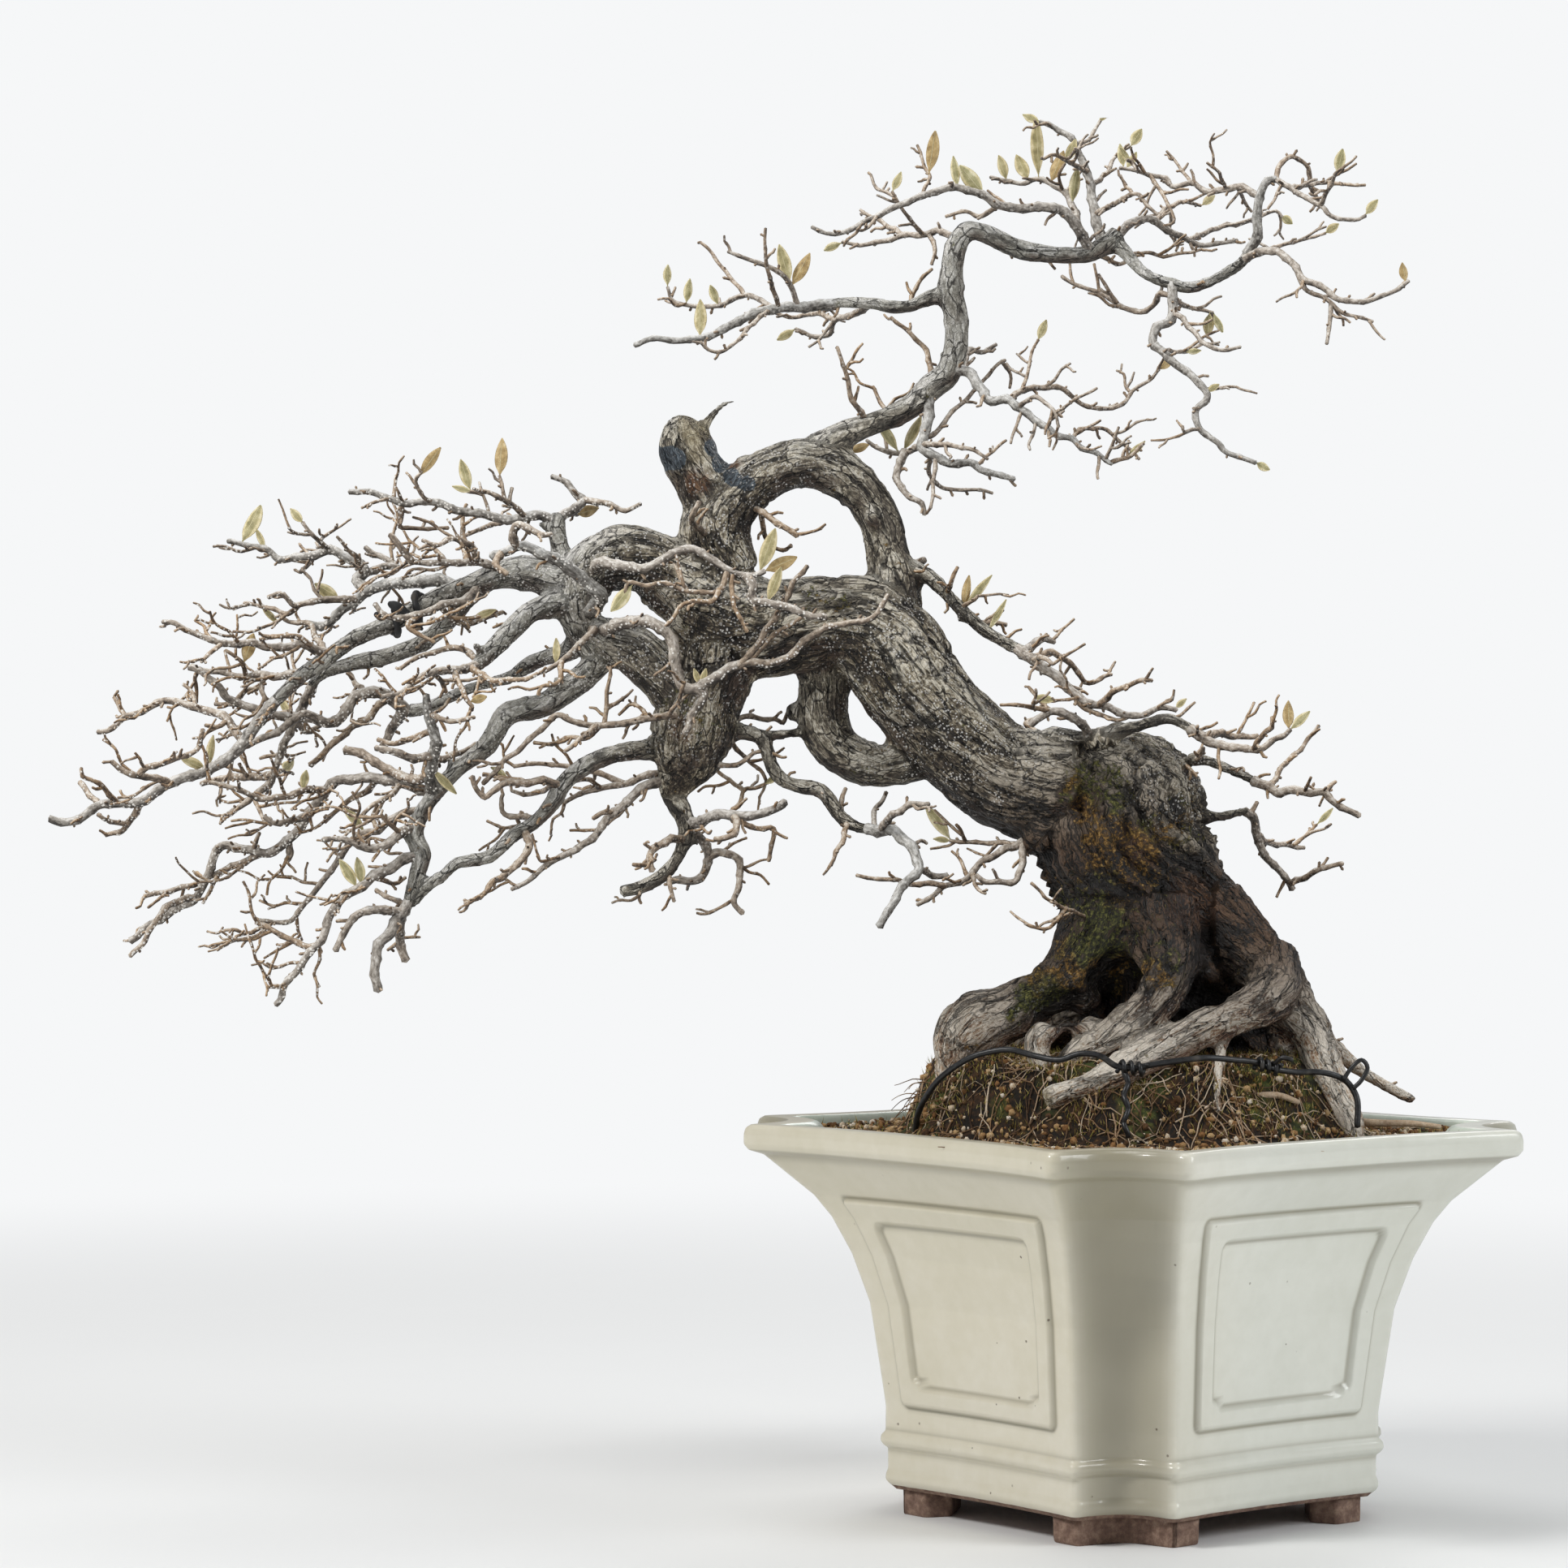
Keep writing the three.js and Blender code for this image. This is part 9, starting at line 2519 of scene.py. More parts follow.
@dataclass
class Pot:
    """The square pot: four bowed walls between four hollow grooves, on four feet.

    The outside, the lip and the inside are rows of height and reach, which is how far a groove's
    edges lie from the axis. An edge of the frame is its half width as a share of the wall's, its
    lowest and highest height, the radius of its corners and that of the hollows in its lower ones.
    A chip is its middle and its reach.
    """

    turn: float = math.radians(-6)
    foot_height: float = 12.5
    foot_inset: float = 6.0
    foot_reach: float = 17.0
    foot_thickness: float = 13.0
    floor_top: float = 22.0
    base_reach: float = 120.0
    rim_reach: float = 193.0
    base_groove: float = 45.5
    rim_groove: float = 62.0
    groove_depth: float = 0.3
    base_bow: float = 4.2
    rim_bow: float = 13.0
    panel_rise: float = 2.6
    frame_outer: tuple[float, ...] = (0.775, 54.5, 155.5, 3, 0)
    frame_inner: tuple[float, ...] = (0.64, 63.5, 145, 6, 5)
    drain_radius: float = 22.0
    outside: tuple[tuple[float, float], ...] = (
        (12.5, 117.0), (13.8, 118.4), (15.2, 120.6), (17.4, 122.2), (20.0, 122.0), (22.4, 120.9),
        (32.6, 121.0), (34.0, 123.2), (36.2, 124.8), (39.0, 124.4), (41.0, 122.2), (53.2, 122),
        (62.5, 123.4), (104, 130), (128, 139), (146, 149.0), (156.5, 157.8), (176.5, 183),
        (178.6, 190.5), (181.5, 193), (186.5, 193), (189.6, 192.0), (191, 189.5),
    )
    inside: tuple[tuple[float, float], ...] = ((22, 106), (104, 118), (140, 133), (175, 164.5),
                                               (191, 171.5))
    lip: tuple[tuple[float, float], ...] = ((191.0, 190.8), (191.3, 186), (191.3, 177),
                                            (190.6, 172.6), (187, 169.2))
    chips: tuple[tuple[float, ...], ...] = (
        (24, -192, 187, 4.0), (33, -190, 189, 3.0), (-62, -150, 190, 2.5),
        (-40, -140, 96, 4.0), (-38, -134, 78, 3.0), (96, -120, 190, 2.5),
    )
    lip_rows: int = 8
    groove_steps: int = 14

    def plan(self, reach: Array, shares: Array, groove_steps: int) -> tuple[Array, Array, Array]:
        """Return the pot's plan at each reach.

        A groove's edge lies at reach from the axis, and its hollow is groove depth x width x
        (1 - t^2). A wall joins two grooves' edges and is bowed inwards by bow x (1 - |t|^flare).

        Args:
            reach: One reach for every row.
            shares: Places along a wall, -1 to 1.
            groove_steps: Steps across a groove.

        Returns:
            x and y, the wall's share or 9 in a groove, and the wall's outward way.
        """
        up = (reach - self.base_reach) / (self.rim_reach - self.base_reach)
        groove = self.base_groove + (self.rim_groove - self.base_groove) * up
        bow = self.base_bow + (self.rim_bow - self.base_bow) * up
        flare = 2 + np.maximum(up, 0)
        across = np.linspace(-1, 1, groove_steps + 1)
        parts, marks, outs = [], [], []
        for corner in range(4):
            angle = -math.pi / 2 + self.turn + corner * math.pi / 2
            out = np.array([math.cos(angle), math.sin(angle)])
            side = np.array([-out[1], out[0]])
            depth = self.groove_depth * groove[:, None] * (1 - across ** 2)
            parts.append((reach[:, None] - depth)[..., None] * out
                         + (groove[:, None] * across / 2)[..., None] * side)
            start = reach[:, None] * out + groove[:, None] / 2 * side
            end = reach[:, None] * side + groove[:, None] / 2 * out
            inward = -(out + side) / math.sqrt(2)
            blend = (shares + 1) / 2
            wall = start[:, None] + (end - start)[:, None] * blend[None, :, None]
            sag = bow[:, None] * (1 - np.abs(shares)[None] ** flare[:, None])
            parts.append(wall + sag[..., None] * inward)
            marks.extend([np.full(len(across), 9.0), shares])
            outs.extend([np.tile(out, (len(across), 1)), np.tile(-inward, (len(shares), 1))])
        return np.concatenate(parts, axis=1), np.concatenate(marks), np.concatenate(outs)

    def _panel(self, share: Array, half: Array, z: Array) -> tuple[Array, Array]:
        """Return the raised frame of a wall.

        The frame lies between two rounded rectangles, found by their signed distances, and the
        lower corners of the inner one are hollowed by a quarter circle.

        Args:
            share: Places along the wall, -1 to 1.
            half: Half the wall's width there.
            z: Their height.

        Returns:
            How far a place stands out, and how much glaze pools and painted shade lies along the frame's
            edges, 0 to 1.
        """
        x = np.abs(share) * half

        def inside(edge: tuple[float, ...]) -> Array:
            """Return how deep a place lies inside an edge of the frame.

            Args:
                edge: The edge, as the class says.

            Returns:
                The depth, below 0 outside.
            """
            share_of_wall, low, high, radius, notch = edge
            width = share_of_wall * half
            dx = x - (width - radius)
            dz = np.abs(z - (low + high) / 2) - ((high - low) / 2 - radius)
            out = np.hypot(np.maximum(dx, 0), np.maximum(dz, 0)) + np.minimum(np.maximum(dx, dz), 0)
            corner = notch - np.hypot(x - width, z - low)
            return -np.maximum(out - radius, corner)

        outer, inner = inside(self.frame_outer), inside(self.frame_inner)
        rise = self.panel_rise * eased(-0.7, 0.9, outer) * (1 - eased(-1.0, 0.8, inner))
        # Thin lines just outside the frame and just inside its inner edge: glaze pooling with painted
        # shade.
        pooled = np.exp(-((outer + 1.0) / 1.0) ** 2) + 0.8 * np.exp(-((inner - 1.3) / 1.0) ** 2)
        return rise, pooled

    @staticmethod
    def rounded(profile: Array, radius: float, steps: int = 4) -> Array:
        """Return a profile with each corner replaced by a quadratic curve.

        Args:
            profile: Rows of two numbers.
            radius: How far from the corner the curve starts.
            steps: Rows on each curve.

        Returns:
            The rows.
        """
        rows = [profile[:1]]
        for before, corner, after in zip(profile[:-2], profile[1:-1], profile[2:]):
            to_before, to_after = before - corner, after - corner
            a = corner + to_before * min(0.45, radius / np.linalg.norm(to_before))
            b = corner + to_after * min(0.45, radius / np.linalg.norm(to_after))
            t = np.linspace(0, 1, steps)[:, None]
            rows.append((1 - t) ** 2 * a + 2 * t * (1 - t) * corner + t ** 2 * b)
        rows.append(profile[-1:])
        return np.concatenate(rows)

    @staticmethod
    def refined(profile: Array, step: float) -> Array:
        """Return a profile with rows added where they are further apart than a step.

        Args:
            profile: Rows of two numbers.
            step: The most that is left between rows.

        Returns:
            The rows.
        """
        runs = np.linalg.norm(np.diff(profile, axis=0), axis=1)
        counts = np.maximum(np.ceil(runs / step).astype(int), 1)
        parts = [a + (b - a) * (np.arange(n) / n)[:, None]
                 for a, b, n in zip(profile[:-1], profile[1:], counts)]
        return np.vstack([*parts, profile[-1:]])

    def wall_shares(self) -> Array:
        """Return the places along a wall, closer together at the frame's edges.

        Returns:
            The places, -1 to 1 across the wall, without its ends.
        """
        edges = [-1, -0.9, -0.81, -0.74, -0.67, -0.58, 0.58, 0.67, 0.74, 0.81, 0.9, 1]
        steps = [4, 6, 6, 6, 8, 14, 8, 6, 6, 6, 4]
        parts = [np.linspace(a, b, n, endpoint=False) for a, b, n in zip(edges, edges[1:], steps)]
        return np.concatenate(parts)[1:]

    def _section(self) -> tuple[Array, int]:
        """Return the wall's section, up the outside and down the inside.

        Returns:
            Rows of z and reach, and how many of them lie outside.
        """
        outer = self.refined(self.rounded(np.array(self.outside), 0.9), 1.8)
        inner = np.vstack([self.lip, np.array(self.inside)[::-1][1:]])
        inner = self.refined(self.rounded(inner, 2.5), 5)
        return np.vstack([outer, inner[1:]]), len(outer)

    def _to_drain(self, ring: Array, edge: Array, level: float, shares: Iterable[float]) -> list[Array]:
        """Return level rings between the drain's edge and a row of the wall.

        Args:
            ring: x and y round the drain's edge.
            edge: x and y of the row.
            level: The rings' height.
            shares: How far out each ring lies, 0 at the drain.

        Returns:
            The rings.
        """
        return [np.column_stack([ring + (edge - ring) * share, np.full(len(ring), level)])
                for share in shares]

    def _pools_and_shade(self, z: Array, mark: Array, pooled: Array, across: Array) -> Array:
        """Return where the glaze pools and painted shade lies on the outside, 0 to 1: in grooves and
        under edges, the rim's and the rolls' near the foot.

        Args:
            z: Height of every row.
            mark: The wall's share in every column, or 9 in a groove.
            pooled: How much glaze pools and painted shade lies beside the frames.
            across: Places across a groove, -1 to 1.

        Returns:
            One number for every row and column.
        """
        # Grooves get pooled glaze with painted shade, strongest across their middle; under the rim lies
        # a band of painted shade, and along the two rolls near the foot thin lines of it, with the glaze
        # pooled there.
        deep = np.where(mark > 2, 1.0, 0.0)
        deep[mark > 2] = np.tile(0.3 + 0.7 * (1 - across ** 4), 4)
        below = eased(172, 178, z) * (1 - eased(178, 179.5, z))
        roll = np.exp(-((z - 31.5) / 1.2) ** 2) + np.exp(-((z - 42.3) / 1.0) ** 2)
        return np.maximum(np.maximum(pooled, deep[None]), np.maximum(0.8 * below, 0.6 * roll))

    def body(self, shell: Shell) -> None:
        """Add the body: rows over its whole section, from the drain's edge out, up, in and back.

        Args:
            shell: The mesh that it is added to.
        """
        section, outer = self._section()
        shares, steps = self.wall_shares(), self.groove_steps
        places, mark, out = self.plan(section[:, 1], shares, steps)
        z = section[:, 0][:, None]
        half = np.linalg.norm(places[:, steps + len(shares)] - places[:, steps + 1], axis=1) / 2
        outside = (np.arange(len(section)) < outer)[:, None]
        share = np.where(mark < 2, mark, 0)[None]
        rise, pooled = (np.where((mark < 2) & outside, part, 0)
                        for part in self._panel(share, half[:, None] * np.ones_like(share), z))
        places = self._softened(places + rise[..., None] * out[None], mark)
        rows = np.dstack([places, np.broadcast_to(z, places.shape[:2])])
        turn = np.arctan2(rows[0, :, 1], rows[0, :, 0])
        ring = np.column_stack([np.cos(turn), np.sin(turn)]) * self.drain_radius
        under = self._to_drain(ring, rows[0, :, :2], self.foot_height, (0.0, 1 - 0.66, 1 - 0.33))
        over = self._to_drain(ring, rows[-1, :, :2], self.floor_top, (0.66, 0.33, 0.0))
        loop = np.stack([*under, *rows, *over])
        inner = np.zeros(loop.shape[:2])
        inner[len(under) + outer + self.lip_rows:] = 1
        # Where glaze pools and painted shade lies, on the outside only.
        pooling_and_shade = np.zeros(loop.shape[:2])
        across = np.linspace(-1, 1, steps + 1)
        pooling_and_shade[len(under):len(under) + len(rows)] = np.where(
            outside, self._pools_and_shade(z, mark, pooled, across), 0)
        # The wall value blends from the left walls' warm painted light to the right walls' cool painted
        # light.
        shell.grid(loop, capped=False, grain=np.zeros(3), inner=inner,
                   bare=1 - eased(13.4, 15.6, loop[..., 2]), pooled=pooling_and_shade,
                   wall=eased(-30, 60, loop[..., 0]), chip=self._chipped(loop))

    @staticmethod
    def _softened(places: Array, mark: Array) -> Array:
        """Round the plan's edges: places near a groove's edge move to their neighbours' mean.

        Args:
            places: Rings of places.
            mark: Which stretch of the plan each column is on.

        Returns:
            The moved places.
        """
        change = (mark > 2) != (np.roll(mark, 1) > 2)
        near = np.zeros(len(mark))
        for step in range(-3, 3):
            near = np.maximum(near, np.roll(change, step) * (1 - abs(step + 0.5) / 4))
        for _ in range(3):
            mean = (np.roll(places, 1, axis=1) + np.roll(places, -1, axis=1)) / 2
            places = places + (mean - places) * (near * 0.7)[None, :, None]
        return places

    def _chipped(self, loop: Array) -> Array:
        """Return where the glaze is chipped: 1 at a chip's middle, eased to 0 past its reach.

        Args:
            loop: The skin's places.

        Returns:
            A value from 0 to 1 for each.
        """
        total = np.zeros(loop.shape[:2])
        for x, y, z, reach in self.chips:
            away = np.linalg.norm(loop - (x, y, z), axis=-1)
            total = np.maximum(total, 1 - eased(0.3 * reach, 1.2 * reach, away))
        return total

    def feet(self, shell: Shell) -> None:
        """Add four feet, each an outline round a groove, narrower towards the floor.

        Args:
            shell: The mesh that they are added to.
        """
        reach = self.base_reach - 2 - self.foot_inset
        half = self.base_groove / 2
        slant = self.foot_reach * math.sqrt(0.5)
        inset = self.foot_thickness
        points = np.array([
            [reach - slant, half + slant], [reach - slant - inset, half + slant - inset * 0.4],
            [reach - slant - inset * 1.2, 0], [reach - slant - inset, -half - slant + inset * 0.4],
            [reach - slant, -half - slant], [reach, -half], [reach - 10, -half / 2],
            [reach - 13.5, 0], [reach - 10, half / 2], [reach, half]])[::-1]
        closed = np.vstack([points[-1:], points, points[:2]])
        outline = self.refined(self.rounded(closed, 2.2, 4)[1:-1], 3.0)[:-1]
        middle = outline.mean(axis=0)
        levels = ((0.0, 0.965), (0.25, 0.98), (1.0, 0.99), (4.0, 1.0), (9.0, 1.0), (13.4, 1.012))
        for corner in range(4):
            angle = -math.pi / 2 + self.turn + corner * math.pi / 2
            out = np.array([math.cos(angle), math.sin(angle)])
            side = np.array([-out[1], out[0]])
            rows = []
            for z, size in levels:
                ring = middle + (outline - middle) * size
                flat = ring[:, :1] * out + ring[:, 1:] * side
                rows.append(np.column_stack([flat, np.full(len(flat), z)]))
            grid = np.stack(rows)
            shell.grid(grid if self._turns_left(grid[0]) else grid[:, ::-1], grain=np.zeros(3),
                       inner=0.0, bare=1.0, pooled=0.0, wall=0.0, chip=0.0)

    @staticmethod
    def _turns_left(ring: Array) -> bool:
        """Whether a ring runs anticlockwise seen from above, by its signed area."""
        after = np.roll(ring, -1, axis=0)
        return float((ring[:, 0] * after[:, 1] - after[:, 0] * ring[:, 1]).sum()) > 0

    def build(self, glaze: bpy.types.Material) -> None:
        """Make the pot.

        Args:
            glaze: Its finish.
        """
        shell = Shell()
        self.body(shell)
        self.feet(shell)
        shell.build("glazed_pot", [glaze], "glaze", "pot")


# Soil and what lies on it

def icosahedron() -> tuple[Array, Array]:
    """Work out a round crumb: corners at (0, 1, golden) and its turns, scaled to a radius of 1.

    Returns:
        The twelve corners and the twenty faces.
    """
    golden = (1 + math.sqrt(5)) / 2
    corners = unit(np.array([(-1, golden, 0), (1, golden, 0), (-1, -golden, 0), (1, -golden, 0),
                             (0, -1, golden), (0, 1, golden), (0, -1, -golden), (0, 1, -golden),
                             (golden, 0, -1), (golden, 0, 1), (-golden, 0, -1), (-golden, 0, 1)],
                            float))
    faces = np.array([(0, 11, 5), (0, 5, 1), (0, 1, 7), (0, 7, 10), (0, 10, 11), (1, 5, 9),
                      (5, 11, 4), (11, 10, 2), (10, 7, 6), (7, 1, 8), (3, 9, 4), (3, 4, 2),
                      (3, 2, 6), (3, 6, 8), (3, 8, 9), (4, 9, 5), (2, 4, 11), (6, 2, 10),
                      (8, 6, 7), (9, 8, 1)])
    return corners, faces


@dataclass
class Soil:
    """The soil and root ball in the pot, with grit, moss, fibres and hair roots on it.

    The shoulders are how far the root ball's top reaches from the axis, and the feet how far its
    slope does.
    """

    pot: Pot
    sight: Sight
    clearance: float = 0.4
    bottom: float = 23.8
    edge: float = 186.0
    top: float = 224.0
    front_shoulder: float = 52.0
    side_shoulder: float = 92.0
    back_shoulder: float = 78.0
    front_foot: float = 104.0
    side_foot: float = 118.0
    grains: int = 7000
    spikes: int = 32000
    fibres: int = 460
    hairs: int = 26
    from_wall: float = 2.0
    groove_steps: int = 14
    rings: int = 150
    root_tips: tuple[tuple[tuple[float, ...], ...], ...] = (
        ((50, -62, 207, 2), (60, -66, 204.5, 1.9), (72, -66, 204.5, 1.7), (82, -64, 201, 1.4)),
        ((106, -36, 194, 2.2), (112, -40, 191.5, 2), (124, -46, 190.8, 1.8),
         (138, -50, 190.6, 1.6), (152, -52, 189, 1.2)),
    )

    def height(self, x: Array, y: Array) -> Array:
        """Return the soil's height: level along the wall, with the root ball in the middle.

        From the shoulder to the foot of the root ball the height falls by 3 t^2 - 2 t^3.

        Args:
            x: Places sideways.
            y: Places in depth.

        Returns:
            The heights.
        """
        away = np.maximum(np.hypot(x, y), 1e-6)
        sideways = np.abs(x / away) ** 1.5
        near = np.where(y < 0, self.front_shoulder, self.back_shoulder)
        shoulder = near + (self.side_shoulder - near) * sideways
        foot = self.front_foot + (self.side_foot - self.front_foot) * sideways
        share = np.clip((foot - away) / (foot - shoulder), 0, 1)
        return self.edge + (self.top - self.edge) * share * share * (3 - 2 * share)

    def rough_height(self, x: Array, y: Array) -> Array:
        """Return the height with lumps and crumbs: noise of three sizes added to it.

        Args:
            x: Places sideways.
            y: Places in depth.

        Returns:
            The heights.
        """
        flat = np.column_stack([x.ravel(), y.ravel(), np.zeros(x.size)])
        noise = Noise(Seed.EARTH)
        ball = eased(188, 205, self.height(x, y)).ravel()
        lumps = noise.layered(flat / 17, 3) * (1.2 + 2.2 * ball) + noise.ridged(flat / 5, 2) * 1.8
        crumbs = noise.layered(flat / 2.2, 2) * 0.9
        return self.height(x, y) + (lumps + crumbs - 0.6).reshape(x.shape)

    def sides(self) -> Array:
        """Work out the soil's side: the pot's inner wall, less the clearance, up to the edge.

        Returns:
            The rows of places, the last of them along the soil's edge.
        """
        inner = [(max(z, self.bottom), reach - self.clearance) for z, reach in self.pot.inside]
        (z0, r0), (z1, r1) = inner[-2:]
        brim = r0 + (r1 - r0) * (self.edge - z0) / (z1 - z0)
        levels = np.array([*inner[:-1], (self.edge, brim)])
        shares = np.linspace(-1, 1, 34)[1:-1]
        places, _, _ = self.pot.plan(levels[:, 1], shares, self.groove_steps)
        return np.dstack([places, np.broadcast_to(levels[:, :1], places.shape[:2])])

    def surface(self, earth: bpy.types.Material) -> None:
        """Make the soil: rows from the bottom's middle out, up the wall and in over the top.

        Args:
            earth: Its finish.
        """
        rows = self.sides()
        under = [rows[0] * (k, k, 1) for k in (0.02, 0.5)]
        inwards = 1 - np.linspace(0, 1, self.rings)[1:-1]
        top = rows[-1][None, :, :2] * inwards[:, None, None]
        x, y = top[..., 0], top[..., 1]
        z = self.rough_height(x, y)
        blend = eased(0, 0.04, 1 - inwards)[:, None]
        z = self.edge + (z - self.edge) * blend
        over = np.dstack([top, z])
        grid = np.concatenate([np.stack(under), rows, over])
        flat = grid.reshape(-1, 3)
        moss = eased(-0.1, 0.35, Noise(Seed.EARTH_MOSS).layered(flat / 26, 2))
        tone = 0.35 + 0.25 * Noise(Seed.EARTH_TONE).layered(flat / 3, 2)
        shell = Shell()
        shell.grid(grid, tone=tone.reshape(grid.shape[:2]), moss=moss.reshape(grid.shape[:2]))
        shell.build("root_ball_soil", [earth], "soil", "soil")

    def _scattered(self, count: int, seed: int) -> tuple[Array, Array]:
        """Return places scattered all over the soil, a little away from the wall.

        Args:
            count: How many.
            seed: Seed of the random numbers.

        Returns:
            The places, and eight random numbers for each.
        """
        random = np.random.default_rng(seed)
        angle = random.uniform(0, 2 * math.pi, count)
        loop = self.sides()[-1]
        turn = np.arctan2(loop[:, 1], loop[:, 0]) % (2 * math.pi)
        order = np.argsort(turn)
        border = np.interp(angle, turn[order], np.hypot(loop[:, 0], loop[:, 1])[order],
                           period=2 * math.pi)
        away = (border - self.from_wall) * np.sqrt(random.uniform(0.06, 1, count))
        x, y = away * np.cos(angle), away * np.sin(angle)
        places = np.column_stack([x, y, self.rough_height(x, y)])
        return places, random.random((len(places), 8))

    def grit(self, material: bpy.types.Material) -> None:
        """Make the grit: twenty-sided lumps, each turned and stretched at random and half sunk.

        Args:
            material: Its finish.
        """
        places, chance = self._scattered(self.grains, Seed.GRIT)
        keep = chance[:, 6] < 1 - 0.35 * eased(187, 200, places[:, 2])
        places, chance = places[keep], chance[keep]
        corners, faces = icosahedron()
        size = 0.55 + 1.5 * chance[:, 0] ** 3
        stretch = 0.65 + 0.7 * chance[:, 1:4]
        lump = corners[None] * (size[:, None] * stretch)[:, None]
        dent = np.random.default_rng(Seed.GRIT_FORM).uniform(-1, 1, lump.shape[:2])
        lump = lump * (1 + 0.18 * dent)[..., None]
        turn = 2 * math.pi * chance[:, 4]
        spun = np.stack([lump[..., 0] * np.cos(turn)[:, None] - lump[..., 1] * np.sin(turn)[:, None],
                         lump[..., 0] * np.sin(turn)[:, None] + lump[..., 1] * np.cos(turn)[:, None],
                         lump[..., 2]], -1)
        sunk = places + np.column_stack([0 * size, 0 * size, 0.25 * size])
        points = (spun + sunk[:, None]).reshape(-1, 3)
        total = len(corners)
        index = (faces[None] + total * np.arange(len(places))[:, None, None]).reshape(-1, 3)
        shell = Shell()
        shell.add(points, [index], tone=np.repeat(chance[:, 5] ** 0.8, total))
        shell.build("soil_grit", [material], "soil")

    def moss(self, material: bpy.types.Material) -> None:
        """Make dry moss: three-sided spikes, close together in tufts, that lean at random.

        Args:
            material: Its finish.
        """
        places, chance = self._scattered(self.spikes, Seed.TUFTS)
        patch = Noise(Seed.TUFT_ZONES).layered(places * (1, 1, 0.4) / 13, 2)
        ball = eased(187, 200, places[:, 2])
        keep = chance[:, 0] < (0.25 + 0.75 * eased(-0.3, 0.4, patch)) * (0.15 + 0.85 * ball)
        places, chance = places[keep], chance[keep]
        count = len(places)
        lean = np.column_stack([chance[:, 1] - 0.5, chance[:, 2] - 0.62, 0.35 + 0.5 * chance[:, 3]])
        length = 1.4 + 4.4 * chance[:, 4] ** 1.5
        tips = places + unit(lean) * length[:, None]
        turn = (2 * math.pi / 3) * np.arange(3)[None] + FULL_TURN * chance[:, 5:6]
        thick = (0.2 + 0.25 * chance[:, 6])[:, None]
        ring = np.stack([np.cos(turn) * thick, np.sin(turn) * thick, np.full_like(turn, -0.7)], -1)
        points = np.concatenate([places[:, None] + ring, tips[:, None]], axis=1).reshape(-1, 3)
        faces = np.array([(0, 1, 3), (1, 2, 3), (2, 0, 3), (0, 2, 1)])
        index = (faces[None] + 4 * np.arange(count)[:, None, None]).reshape(-1, 3)
        shell = Shell()
        shell.add(points, [index], tone=np.repeat(chance[:, 7], 4))
        shell.build("soil_moss", [material], "soil")

    def roots(self, material: bpy.types.Material) -> None:
        """Make the fibres, hair roots and root tips.

        Args:
            material: Their finish.
        """
        shell, draw = Shell(), Draws(Seed.FIBRES)
        self._lay_fibres(shell, draw)
        self._lay_hairs(shell, draw)
        for line in self.root_tips:
            rows = curve(self.sight.seen(np.array(line, float)), 2.5)
            shell.tube(rows, 8, tone=0.8)
        shell.build("hair_roots", [material], "soil")

    def _lay_fibres(self, shell: Shell, draw: Draws) -> None:
        """Add fibres that wander over the soil, each a little humped in its middle.

        Args:
            shell: The mesh that they are added to.
            draw: Where the random numbers come from.
        """
        for i in range(self.fibres):
            angle, away = draw.between(-math.pi, 0.15), draw.between(60, 128)
            x, y = away * math.cos(angle), away * math.sin(angle)
            heading, count = draw.between(0, 2 * math.pi), 7
            step = draw.between(2.0, 5.5)
            turns = heading + np.cumsum([draw.between(-0.55, 0.55) for _ in range(count)])
            xs = x + np.cumsum(np.cos(turns)) * step
            ys = y + np.cumsum(np.sin(turns)) * step
            zs = self.rough_height(xs, ys) + 0.4 + 0.9 * np.sin(np.linspace(0, math.pi, count))
            thick = draw.between(0.22, 0.55)
            radius = np.linspace(thick, thick * 0.5, count)
            shell.tube(np.column_stack([xs, ys, zs, radius]), 4, shift=11 * i, tone=draw())

    def _lay_hairs(self, shell: Shell, draw: Draws) -> None:
        """Add hair roots that stick out of the root ball at the left: start + out x t + sag x t^2.

        Args:
            shell: The mesh that they are added to.
            draw: Where the random numbers come from.
        """
        noise, count = Noise(Seed.HAIRS), 8
        for i in range(self.hairs):
            angle = draw.between(math.pi * 0.95, math.pi * 1.22)
            away = draw.between(100, 112)
            start = np.array([away * math.cos(angle), away * math.sin(angle), 0])
            start[2] = self.rough_height(start[:1], start[1:2])[0] + 0.2
            out = unit(np.array([start[0], start[1], draw.between(0, 60)]))
            t = np.linspace(0, 1, count)[:, None]
            reach = draw.between(6, 17)
            sag = np.array([0, 0, -draw.between(2, 12)])
            path = start + out * reach * t + sag * t ** 2
            path = path + 0.8 * np.column_stack([noise.smooth(path / 4 + k * 7) for k in range(3)]) * t
            radius = np.linspace(0.35, 0.16, count)
            shell.tube(np.column_stack([path, radius]), 4, shift=11 * i, tone=draw.between(0.2, 0.7))


# Wire and strap

